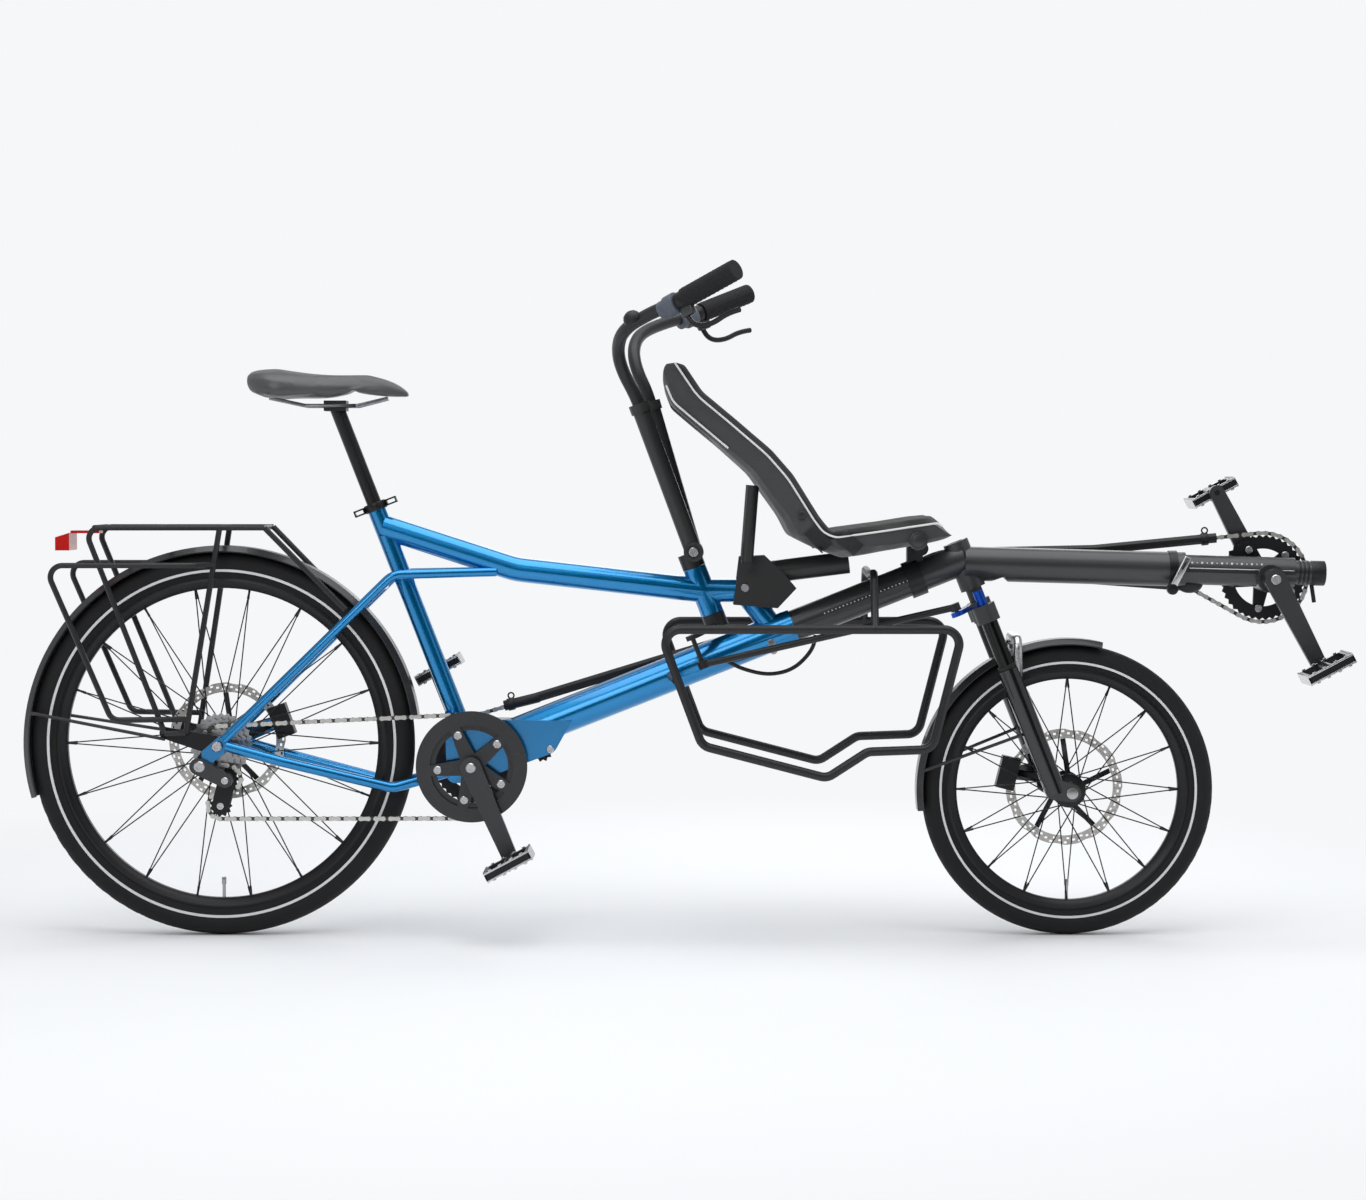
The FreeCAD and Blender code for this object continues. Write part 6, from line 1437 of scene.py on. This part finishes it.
def blown_up(pad, pressure, cap):
    """Blows a cover up as cloth, by no more than a cap."""
    start = [vertex.co.copy() for vertex in pad.data.vertices]
    cloth = pad.modifiers.new("cloth", "CLOTH")
    cloth.settings.quality = CLOTH_QUALITY
    cloth.settings.use_pressure = True
    cloth.settings.uniform_pressure_force = pressure
    cloth.settings.effector_weights.gravity = 0.0
    for moment in range(1, CLOTH_MOMENTS + 1):
        bpy.context.scene.frame_set(moment)
    only(pad)
    bpy.ops.object.modifier_apply(modifier=cloth.name)
    bpy.context.scene.frame_set(1)
    for vertex, place in zip(pad.data.vertices, start):
        move = vertex.co - place
        if move.length > cap * MM:
            vertex.co = place + move * (cap * MM / move.length)


def softened(node, voxel, shrink, pressure, cap, shaping):
    """A padded copy of a plain solid: its cover is blown up a little, as cloth over foam."""
    pad = copy_of(node)
    apply_new(pad, "remesh", "REMESH", mode="VOXEL", voxel_size=voxel * MM)
    normals = [vertex.normal.copy() for vertex in pad.data.vertices]
    for vertex, normal in zip(pad.data.vertices, normals):
        vertex.co = shaping(vertex.co - normal * shrink * MM)
    blown_up(pad, pressure, cap)
    apply_new(pad, "rounding", "SMOOTH", iterations=ROUNDING_PASSES)
    apply_new(pad, "finer", "SUBSURF", levels=1, render_levels=1)
    smooth(pad, ROUND_SMOOTH)
    return pad


def line_gap(point, outline):
    """How far a point lies from an open outline."""
    nearest = math.inf
    for before, after in zip(outline, outline[1:]):
        start, stop = Vector(before), Vector(after)
        run = stop - start
        share = max(0.0, min(1.0, (point - start).dot(run) / run.length_squared))
        nearest = min(nearest, (start + run * share - point).length)
    return nearest


def in_side_view(place):
    away = (place - GROUND) / MM
    return Vector((away.x, away.z))


def set_in(outline, depth):
    """Places along an outline, moved in from it to its right hand by a depth."""
    places = []
    for before, after in zip(outline, outline[1:]):
        start, stop = Vector(before), Vector(after)
        run = stop - start
        inward = Vector((run.y, -run.x)).normalized() * depth
        count = max(2, round(run.length / PIPING_STEP))
        for index in range(count):
            places.append(start + run * ((index + 0.5) / count) + inward)
    return places


def strap(name, surface, route, side):
    """A flat webbing strap lying on a cushion's side."""
    start, stop = Vector(route[0]), Vector(route[1])
    run = (stop - start).normalized()
    across = Vector((-run.y, run.x)) * STRAP_WIDTH / 2.0
    bpy.ops.mesh.primitive_grid_add(x_subdivisions=STRAP_STEPS, y_subdivisions=STRAP_STEPS, size=2.0)
    band = bpy.context.active_object
    for vertex in band.data.vertices:
        spot = start.lerp(stop, (vertex.co.x + 1.0) / 2.0) + across * vertex.co.y
        vertex.co = (on_side(surface, spot.x, spot.y, side, SEAT_HALF_WIDTH)
                     + SIDEWAYS * side * STRAP_LIFT * MM)
    wall_of(band, STRAP_WALL)
    face_out(band)
    smooth(band)
    return finish_piece(band, name, "frame", "seat_fabric", webbing())


def piping(name, surface, outline, depth, side):
    """A thin welt sewn along the cushion's side, lying on its cover."""
    places = []
    for point in set_in(outline, depth):
        wanted = at(point.x, side * SEAT_HALF_WIDTH * PIPING_REACH_SHARE, point.y)
        place = surface.find_nearest(wanted)[0]
        places.append(Vector((wanted.x, place.y + side * PIPING_LIFT * MM, wanted.z)))
    welt = pipe(places, PIPING_RADIUS, sides=2)
    return finish_piece(welt, name, "frame", "seat_fabric", piping_white())


def seat_knob(surface):
    """The knob on the seat's right side that lets it slide."""
    flank = on_side(surface, KNOB_X, KNOB_Z + KNOB_LIFT, RIGHT, SEAT_HALF_WIDTH) - UPWARD * KNOB_LIFT * MM
    near, far = [flank + SIDEWAYS * y * MM for y in KNOB_Y]
    knob = rod(near, far, KNOB_RADIUS, sides=KNOB_SIDES, bevel=2.0)
    near, far = [flank + SIDEWAYS * y * MM for y in KNOB_CAP_Y]
    cap = rod(near, far, KNOB_CAP_RADIUS, sides=32, bevel=1.0)
    paint(knob, riser_grey())
    paint(cap, crank_grey())
    return finish_piece(joined([knob, cap]), "seat_slide_knob", "frame", "frame_black")


# Stage

PHOTO_WIDTH = 1366.0
PHOTO_HEIGHT = 1200.0
FOCAL_PIXELS = 3207.0
HORIZON_ROW = 480.0
SENSOR_WIDTH = 36.0
CAMERA_X = 790.0
CAMERA_Z = 781.0
FLOOR_SIZE = 60.0
FLOOR_CENTRE_X = 800.0
FLOOR_NEAR = 1.35
FLOOR_FAR = 2.6
FLOOR_PATCH_SHARE = 0.99
CARD_WIDTH = 14.0
CARD_HEIGHT = 3.6
CARD_REACH = 6400.0
SKY_COLOUR = (0.90, 0.92, 0.94)
SKY_STRENGTH = 0.6
LAMP_TARGET = (850.0, 0.0, 450.0)
LAMPS = [("overhead", (900.0, -500.0, 3400.0), 3.4, 1.0), ("near_side", (-600.0, -3800.0, 2300.0), 1.8, 0.35),
         ("far_side", (1500.0, 3400.0, 2200.0), 2.4, 0.4)]


def floor_finish(colour):
    """A pale floor that takes the bicycle's shadow and runs into the backdrop's colour further out."""
    made = finish_of("floor_finish", base=colour, dark=tuple(part * FLOOR_PATCH_SHARE for part in colour),
                     metallic=0.0, roughness=0.7, grain_scale=30.0, grain_bump=0.0, rough_swing=0.0,
                     specular=0.1)
    nodes = made.node_tree.nodes
    links = made.node_tree.links
    place = nodes.new("ShaderNodeTexCoord")
    reach = nodes.new("ShaderNodeVectorMath")
    reach.operation = "LENGTH"
    links.new(place.outputs["Object"], reach.inputs[0])
    fade = nodes.new("ShaderNodeMapRange")
    fade.interpolation_type = "SMOOTHSTEP"
    fade.inputs["From Min"].default_value = FLOOR_NEAR
    fade.inputs["From Max"].default_value = FLOOR_FAR
    links.new(reach.outputs["Value"], fade.inputs["Value"])
    backdrop = nodes.new("ShaderNodeEmission")
    backdrop.inputs["Color"].default_value = (*colour, 1.0)
    mixed = nodes.new("ShaderNodeMixShader")
    links.new(fade.outputs["Result"], mixed.inputs[0])
    links.new(nodes["Principled BSDF"].outputs[0], mixed.inputs[1])
    links.new(backdrop.outputs[0], mixed.inputs[2])
    links.new(mixed.outputs[0], nodes["Material Output"].inputs["Surface"])
    return made


def card_finish():
    return finish_of("card_black", base=(0.02, 0.02, 0.022), dark=(0.015, 0.015, 0.016), metallic=0.0,
                     roughness=0.9, grain_scale=20.0, grain_bump=0.0, specular=0.1)


def stage_floor(colour):
    bpy.ops.mesh.primitive_plane_add(size=FLOOR_SIZE)
    floor = bpy.context.active_object
    floor.name = "floor"
    floor.location = at(FLOOR_CENTRE_X, 0.0, 0.0)
    paint(floor, floor_finish(colour))


def dark_card():
    """A card behind the camera that gives the tubes a dark line to reflect."""
    bpy.ops.mesh.primitive_plane_add(size=1.0)
    card = bpy.context.active_object
    card.name = "dark_card"
    card.scale = (CARD_WIDTH, CARD_HEIGHT, 1.0)
    card.location = at(CAMERA_X, -CARD_REACH, CARD_HEIGHT / 2.0 / MM)
    card.rotation_euler = (math.pi / 2.0, 0.0, 0.0)
    paint(card, card_finish())
    card.visible_camera = False


def studio_light(shown_colour):
    """An even pale light all round, shown to the camera in the backdrop's own colour."""
    world = bpy.data.worlds.new("studio")
    bpy.context.scene.world = world
    world.use_nodes = True
    nodes = world.node_tree.nodes
    links = world.node_tree.links
    nodes["Background"].inputs["Color"].default_value = (*SKY_COLOUR, 1.0)
    nodes["Background"].inputs["Strength"].default_value = SKY_STRENGTH
    shown = nodes.new("ShaderNodeBackground")
    shown.inputs["Color"].default_value = (*shown_colour, 1.0)
    shown.inputs["Strength"].default_value = 1.0
    path = nodes.new("ShaderNodeLightPath")
    choose = nodes.new("ShaderNodeMixShader")
    links.new(path.outputs["Is Camera Ray"], choose.inputs[0])
    links.new(nodes["Background"].outputs[0], choose.inputs[1])
    links.new(shown.outputs[0], choose.inputs[2])
    links.new(choose.outputs[0], nodes["World Output"].inputs[0])


def lamp(name, place, size, power):
    light = bpy.data.lights.new(name, "AREA")
    light.shape = "SQUARE"
    light.size = size
    light.energy = power
    holder = bpy.data.objects.new(name, light)
    bpy.context.scene.collection.objects.link(holder)
    holder.location = place
    holder.rotation_euler = (at(*LAMP_TARGET) - place).to_track_quat("-Z", "Y").to_euler()


def photo_camera(distance):
    camera = bpy.data.cameras.new("camera")
    camera.sensor_fit = "HORIZONTAL"
    camera.sensor_width = SENSOR_WIDTH
    camera.lens = SENSOR_WIDTH * FOCAL_PIXELS / PHOTO_WIDTH
    viewer = bpy.data.objects.new("camera", camera)
    bpy.context.scene.collection.objects.link(viewer)
    viewer.location = at(CAMERA_X, -distance / MM, CAMERA_Z)
    drop = math.atan((PHOTO_HEIGHT / 2.0 - HORIZON_ROW) / FOCAL_PIXELS)
    viewer.rotation_euler = (math.pi / 2.0 - drop, 0.0, 0.0)
    bpy.context.scene.camera = viewer


# Settings, operators and panel

class TandemSettings(bpy.types.PropertyGroup):
    frame_colour: bpy.props.FloatVectorProperty(
        name="Frame colour", description="Colour of the blue frame paint", subtype="COLOR", size=3,
        default=(0.0, 0.25, 0.60))
    floor_colour: bpy.props.FloatVectorProperty(
        name="Floor colour", description="Colour of the studio floor", subtype="COLOR", size=3,
        default=(0.921, 0.930, 0.947))
    camera_distance: bpy.props.FloatProperty(
        name="Camera distance", description="How far the camera stands from the bicycle's middle plane",
        default=5.5, unit="LENGTH")
    lamp_power: bpy.props.FloatProperty(
        name="Lamp power", description="Power of the large soft lamp overhead, in watts", default=75.0)


class StageOperator(bpy.types.Operator):
    """Makes the floor, the lights and the camera"""
    bl_idname = "tandem.stage"
    bl_label = "Stage"

    def execute(self, context):
        tandem = context.scene.tandem
        stage_floor(tuple(tandem.floor_colour))
        dark_card()
        studio_light(tuple(tandem.floor_colour))
        for name, place, size, share in LAMPS:
            lamp(name, at(*place), size, tandem.lamp_power * share)
        photo_camera(tandem.camera_distance)
        context.scene.view_settings.view_transform = "Standard"
        return {"FINISHED"}


class CordsOperator(bpy.types.Operator):
    """Makes the control cable that loops below the main tube's front end"""
    bl_idname = "tandem.cords"
    bl_label = "Cords"

    def execute(self, context):
        control_cable()
        return {"FINISHED"}


class WheelsOperator(bpy.types.Operator):
    """Makes the tyres, rims, spokes, rotors and cassette"""
    bl_idname = "tandem.wheels"
    bl_label = "Wheels"

    def execute(self, context):
        rear, front = REAR_AXLE_PLACE, FRONT_AXLE_PLACE
        tyre("rear_tyre", "rear_tyre_tread", "rear_wheel", rear, REAR_BEAD, REAR_TYRE_RADIUS, REAR_TYRE_HALF)
        tyre("front_tyre", "front_tyre_tread", "front_wheel", front, FRONT_BEAD, FRONT_TYRE_RADIUS,
             FRONT_TYRE_HALF)
        for side, word in SIDES:
            reflective_ring("rear_reflective_" + word, "rear_wheel", rear, REAR_RING_RADIUS,
                            REAR_RING_HALF, side)
            reflective_ring("front_reflective_" + word, "front_wheel", front, FRONT_RING_RADIUS,
                            FRONT_RING_HALF, side)
        rim("rear_rim", "rear_rim_wall", "rear_wheel", rear, REAR_BEAD, REAR_RIM_HALF)
        rim("front_rim", "front_rim_wall", "front_wheel", front, FRONT_BEAD, FRONT_RIM_HALF)
        valve("rear_valve", "rear_wheel", rear, REAR_BEAD)
        valve("front_valve", "front_wheel", front, FRONT_BEAD)
        hub("rear_hub_and_spokes", "rear_spokes", "rear_wheel", rear, REAR_HUB_HALF, REAR_FLANGES,
            REAR_SPOKE_PAIRS, REAR_SPOKE_REACH)
        hub("front_hub_and_spokes", "front_spokes", "front_wheel", front, FRONT_HUB_HALF, FRONT_FLANGES,
            FRONT_SPOKE_PAIRS, FRONT_SPOKE_REACH)
        rotor("rear_rotor", "rear_rotor_band", "rear_wheel", rear, REAR_ROTOR_Y)
        rotor("front_rotor", "front_rotor_band", "front_wheel", front, FRONT_ROTOR_Y)
        dress("cassette", "cassette_steel", "steel", steel())
        return {"FINISHED"}


class FrameOperator(bpy.types.Operator):
    """Dresses the main frame, the front frame and the boom"""
    bl_idname = "tandem.frame"
    bl_label = "Frame"

    def execute(self, context):
        main = dress("main_frame", "main_frame_paint", "frame_blue", frame_blue(), alloy_black())
        place_material(main, 1, lambda middle: middle.x < at(DROPOUT_BACK_X, 0.0, 0.0).x)
        side_bolts("main_frame_bolts", "main_frame", FRAME_BOLTS, head=6.5)
        seat_tube_collar()
        dress("front_frame", "front_frame_paint", "frame_black", frame_grey())
        dress("boom", "boom_paint", "frame_black", frame_grey())
        dress("boom_clamp", "boom_clamp_band", "alloy_silver", alloy_black())
        boom_lever()
        boom_pod()
        painted_groove_highlight()
        boom_cap()
        scales()
        for side, word in SIDES:
            bolt_circle("dropout_bolt_" + word, "frame", REAR_AXLE_PLACE, 0.0, [0.0], side * DROPOUT_BOLT_Y,
                        side, head=9.0, height=5.0)
        return {"FINISHED"}


class SteeringOperator(bpy.types.Operator):
    """Dresses the steering column, handlebars, tie rod, fork, brakes and mudguards"""
    bl_idname = "tandem.steering"
    bl_label = "Steering and fork"

    def execute(self, context):
        dress("steering_column", "steering_column_paint", "frame_black", frame_black())
        dress("handlebar_risers", "handlebar_riser_pair", "frame_black", riser_grey())
        bars = joined([bar_half(RIGHT), bar_half(LEFT)])
        finish_piece(bars, "handlebar_pair", "handlebar", "frame_black", frame_black(),
                     replaces=("handlebars",))
        dress("grips", "grip_pair", "grip_rubber", grip_rubber())
        levers = joined([brake_lever(RIGHT), brake_lever(LEFT)])
        finish_piece(levers, "brake_lever_pair", "handlebar", "alloy_black", replaces=("brake_levers",))
        side_bolts("riser_pivot_bolt", "steering_column", [(PIVOT_X, PIVOT_Z)], head=8.0)
        for side, word in SIDES:
            finish_piece(twist_shifter(side), "twist_shifter_" + word, "handlebar", "grip_rubber",
                         shifter_grey())
            finish_piece(grip_ribs(side), "grip_ribs_" + word, "handlebar", "grip_rubber", grip_rubber())
        bell = spun(at(*BELL_PLACE), BELL_OUTLINE, steps=48, axis=Vector(BELL_AXIS).normalized())
        finish_piece(bell, "bell", "handlebar", "plastic_black", plastic_black())
        dress("tie_rod", "tie_rod_paint", "frame_black", frame_black())
        crown = dress("fork_crown", "fork_crown_paint", "fork_grey", fork_grey(), stanchion_black(),
                      adjuster_blue())
        place_material(crown, 1, lambda middle: (fork_up(middle) < CROWN_FOOT_UP
                                                 and abs(middle.y) > CROWN_FOOT_Y * MM))
        place_material(crown, 2, lambda middle: fork_up(middle) > ADJUSTER_UP and middle.y < ADJUSTER_Y * MM)
        legs = dress("fork_legs", "fork_leg_paint", "fork_black", fork_black(), alloy_silver())
        place_material(legs, 1, lambda middle: fork_up(middle) > STANCHION_UP)
        for side, word in SIDES:
            finish_piece(fork_seal(side), "fork_seal_" + word, "fork", "plastic_black", plastic_black())
            finish_piece(axle_nut(side), "front_axle_nut_" + word, "fork", "steel", steel())
        dress("front_caliper", "front_caliper_body", "alloy_black", alloy_black())
        dress("rear_caliper", "rear_caliper_body", "alloy_black", alloy_black())
        dress("front_mudguard", "front_mudguard_shell", "plastic_black", guard_grey())
        dress("rear_mudguard", "rear_mudguard_shell", "plastic_black", guard_grey())
        return {"FINISHED"}


class DrivetrainOperator(bpy.types.Operator):
    """Dresses the cranks, pedals, chains and derailleur"""
    bl_idname = "tandem.drivetrain"
    bl_label = "Drivetrain"

    def execute(self, context):
        rear, front = REAR_CRANK_PLACE, FRONT_CRANK_PLACE
        rear_cranks = dress("rear_crankset", "rear_crankset_alloy", "alloy_black", guard_grey(), crank_grey(),
                            steel())
        front_cranks = dress("front_crankset", "front_crankset_alloy", "alloy_black", alloy_black(),
                             crank_grey(), steel())
        crank_finish(rear_cranks, rear)
        crank_finish(front_cranks, front)
        bolt_circle("guard_bolts", "rear_crank", rear, RING_BOLT_CIRCLE, arm_angles(REAR_CRANK_ANGLE),
                    GUARD_BOLT_Y, RIGHT, head=7.0)
        crank_bolt("rear_crank_bolts", "rear_crank", rear, RIGHT)
        crank_bolt("rear_crank_bolt_left", "rear_crank", rear, LEFT)
        front_arms = arm_angles(FRONT_CRANK_ANGLE)
        bolt_circle("front_ring_bolts", "front_crank", front, RING_BOLT_CIRCLE, front_arms, RING_BOLT_Y,
                    LEFT, head=6.5)
        bolt_circle("front_ring_nuts", "front_crank", front, RING_NUT_CIRCLE, front_arms, RING_NUT_Y,
                    RIGHT, head=6.5, height=3.0)
        crank_bolt("front_crank_bolt", "front_crank", front, RIGHT)
        crank_bolt("front_crank_bolt_left", "front_crank", front, LEFT)
        corners = [(end, side) for end in ("rear", "front") for side in ("right", "left")]
        for end, side in corners:
            pedal = "_".join((end, "pedal", side))
            dress(pedal, pedal + "_body", "alloy_black", alloy_black())
        for end, side in corners:
            body = "_".join(("pedal", end, side))
            serrated_cage(body + "_cage", body)
        derailleur = dress("derailleur", "derailleur_cage", "alloy_black", alloy_black(), crank_grey())
        place_material(derailleur, 1, lambda middle: middle.y < CAGE_PLATE_Y * MM)
        side_bolts("pulley_bolts", "derailleur", [LOWER_PULLEY, UPPER_PULLEY], head=6.0, height=2.0)
        side_bolts("derailleur_pivot", "derailleur", [DERAILLEUR_PIVOT], head=9.5, height=4.0)
        dress("chain_idler", "chain_idler_wheel", "plastic_black", plastic_black())
        pulley = pitch_radius(PULLEY_TEETH)
        ring = pitch_radius(TIMING_TEETH)
        drive = chain_route([(0.0, REAR_TYRE_RADIUS, pitch_radius(CASSETTE_TEETH), CLOCKWISE),
                             (*REAR_CRANK, pitch_radius(RING_TEETH), CLOCKWISE),
                             (*LOWER_PULLEY, pulley, CLOCKWISE),
                             (*UPPER_PULLEY, pulley, ANTICLOCKWISE)], True)
        chain_links("drive_chain_links", "drive_chain", [drive], DRIVE_LINE_Y)
        ahead = chain_route([(*UPPER_TUBE_FRONT, 0.0, CLOCKWISE), (*FRONT_CRANK, ring, CLOCKWISE),
                             (*LOWER_TUBE_FRONT, 0.0, CLOCKWISE)], False)
        behind = chain_route([(*UPPER_TUBE_BACK, 0.0, ANTICLOCKWISE), (*REAR_CRANK, ring, ANTICLOCKWISE),
                              (*TIMING_IDLER, pulley, CLOCKWISE), (*LOWER_TUBE_BACK, 0.0, CLOCKWISE)], False)
        chain_links("timing_chain_links", "timing_chain", [ahead, behind], TIMING_LINE_Y)
        dress("chain_tubes", "chain_tube_pair", "plastic_black", plastic_black())
        for index, clip in enumerate(TUBE_CLIPS):
            finish_piece(chain_tube_clip(*clip), "chain_tube_clip_%d" % index, "frame", "plastic_black",
                         plastic_black())
        start, stop = [at(x, TIMING_LINE_Y, z) for x, z in TUBE_TAIL]
        tail = rod(start, stop, TUBE_RADIUS, sides=40, bevel=1.0)
        finish_piece(tail, "chain_tube_tail", "frame", "plastic_black", plastic_black())
        return {"FINISHED"}


class RacksOperator(bpy.types.Operator):
    """Dresses the rear rack, its lamp and the side rails"""
    bl_idname = "tandem.racks"
    bl_label = "Racks"

    def execute(self, context):
        dress("rear_rack", "rear_rack_tubes", "frame_black", frame_black(), angle=50.0)
        dress("rear_lamp", "rear_lamp_lens", "lamp_red", lamp_red())
        dress("lowriders", "lowrider_tubes", "frame_black", frame_black(), angle=50.0)
        return {"FINISHED"}


class SeatsOperator(bpy.types.Operator):
    """Makes the captain's saddle and the stoker's seat"""
    bl_idname = "tandem.seats"
    bl_label = "Seats"

    def execute(self, context):
        saddle = softened("captain_saddle", voxel=4.0, shrink=2.0, pressure=3.0, cap=5.0,
                          shaping=saddle_shaping)
        finish_piece(saddle, "captain_saddle_cover", "frame", "saddle_cover", saddle_cover(),
                     replaces=("captain_saddle",))
        post = dress("seatpost", "seatpost_tube", "alloy_black", alloy_black(), steel())
        head = at(SEATPOST_HEAD_X, 0.0, SADDLE_RAIL_Z)
        place_material(post, 1, lambda middle: (middle.z > head.z
                                                and abs(middle.x - head.x) > SEATPOST_HEAD_HALF * MM))
        cushion = softened("seat_cushion", voxel=6.0, shrink=6.0, pressure=4.0, cap=9.0,
                           shaping=cushion_shaping)
        finish_piece(cushion, "seat_cushion_cover", "frame", "seat_fabric", seat_fabric(), seat_mesh(),
                     replaces=("seat_cushion",))
        place_material(cushion, 1, lambda middle: line_gap(in_side_view(middle), SEAT_FACE) < SEAT_FACE_BAND)
        cover = surface_of(cushion)
        for side, word in SIDES:
            piping("seat_piping_front_" + word, cover, SEAT_FACE[:-1] + [PIPING_END], PIPING_FRONT_DEPTH,
                   side)
            piping("seat_piping_back_" + word, cover, SEAT_BACK[::-1], PIPING_BACK_DEPTH, side)
            for index, route in enumerate(STRAP_ROUTES):
                strap("seat_strap_%s_%d" % (word, index), cover, route, side)
        buckles = [bolt(on_side(cover, BUCKLE_X, BUCKLE_Z, side), SIDEWAYS * side, BUCKLE_RADIUS)
                   for side in (RIGHT, LEFT)]
        finish_piece(joined(buckles), "seat_buckle_bolts", "frame", "steel", crank_grey())
        seat_knob(cover)
        dress("seat_frame", "seat_frame_paint", "frame_black", riser_grey())
        dress("seat_clamp", "seat_clamp_paint", "frame_black", frame_black())
        side_bolts("seat_bracket_bolts", "seat_frame", BRACKET_BOLTS, head=7.0)
        return {"FINISHED"}


class TandemPanel(bpy.types.Panel):
    """Shows the tandem's settings and a button for each of its operators"""
    bl_idname = "VIEW3D_PT_tandem"
    bl_label = "Tandem"
    bl_space_type = "VIEW_3D"
    bl_region_type = "UI"
    bl_category = "Tandem"

    def draw(self, context):
        tandem = context.scene.tandem
        for name in ("frame_colour", "floor_colour", "camera_distance", "lamp_power"):
            self.layout.prop(tandem, name)
        for operator in OPERATORS:
            self.layout.operator(operator.bl_idname)


OPERATORS = (StageOperator, CordsOperator, WheelsOperator, FrameOperator, SteeringOperator,
             DrivetrainOperator, RacksOperator, SeatsOperator)


def register():
    bpy.utils.register_class(TandemSettings)
    for operator in OPERATORS:
        bpy.utils.register_class(operator)
    bpy.utils.register_class(TandemPanel)
    bpy.types.Scene.tandem = bpy.props.PointerProperty(type=TandemSettings)


def unregister():
    del bpy.types.Scene.tandem
    bpy.utils.unregister_class(TandemPanel)
    for operator in reversed(OPERATORS):
        bpy.utils.unregister_class(operator)
    bpy.utils.unregister_class(TandemSettings)


def main():
    register()
    bpy.ops.object.select_all(action="DESELECT")
    bpy.ops.tandem.stage()
    bpy.ops.tandem.cords()
    bpy.ops.tandem.wheels()
    bpy.ops.tandem.frame()
    bpy.ops.tandem.steering()
    bpy.ops.tandem.drivetrain()
    bpy.ops.tandem.racks()
    bpy.ops.tandem.seats()
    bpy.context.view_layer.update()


if __name__ == "__main__":
    main()
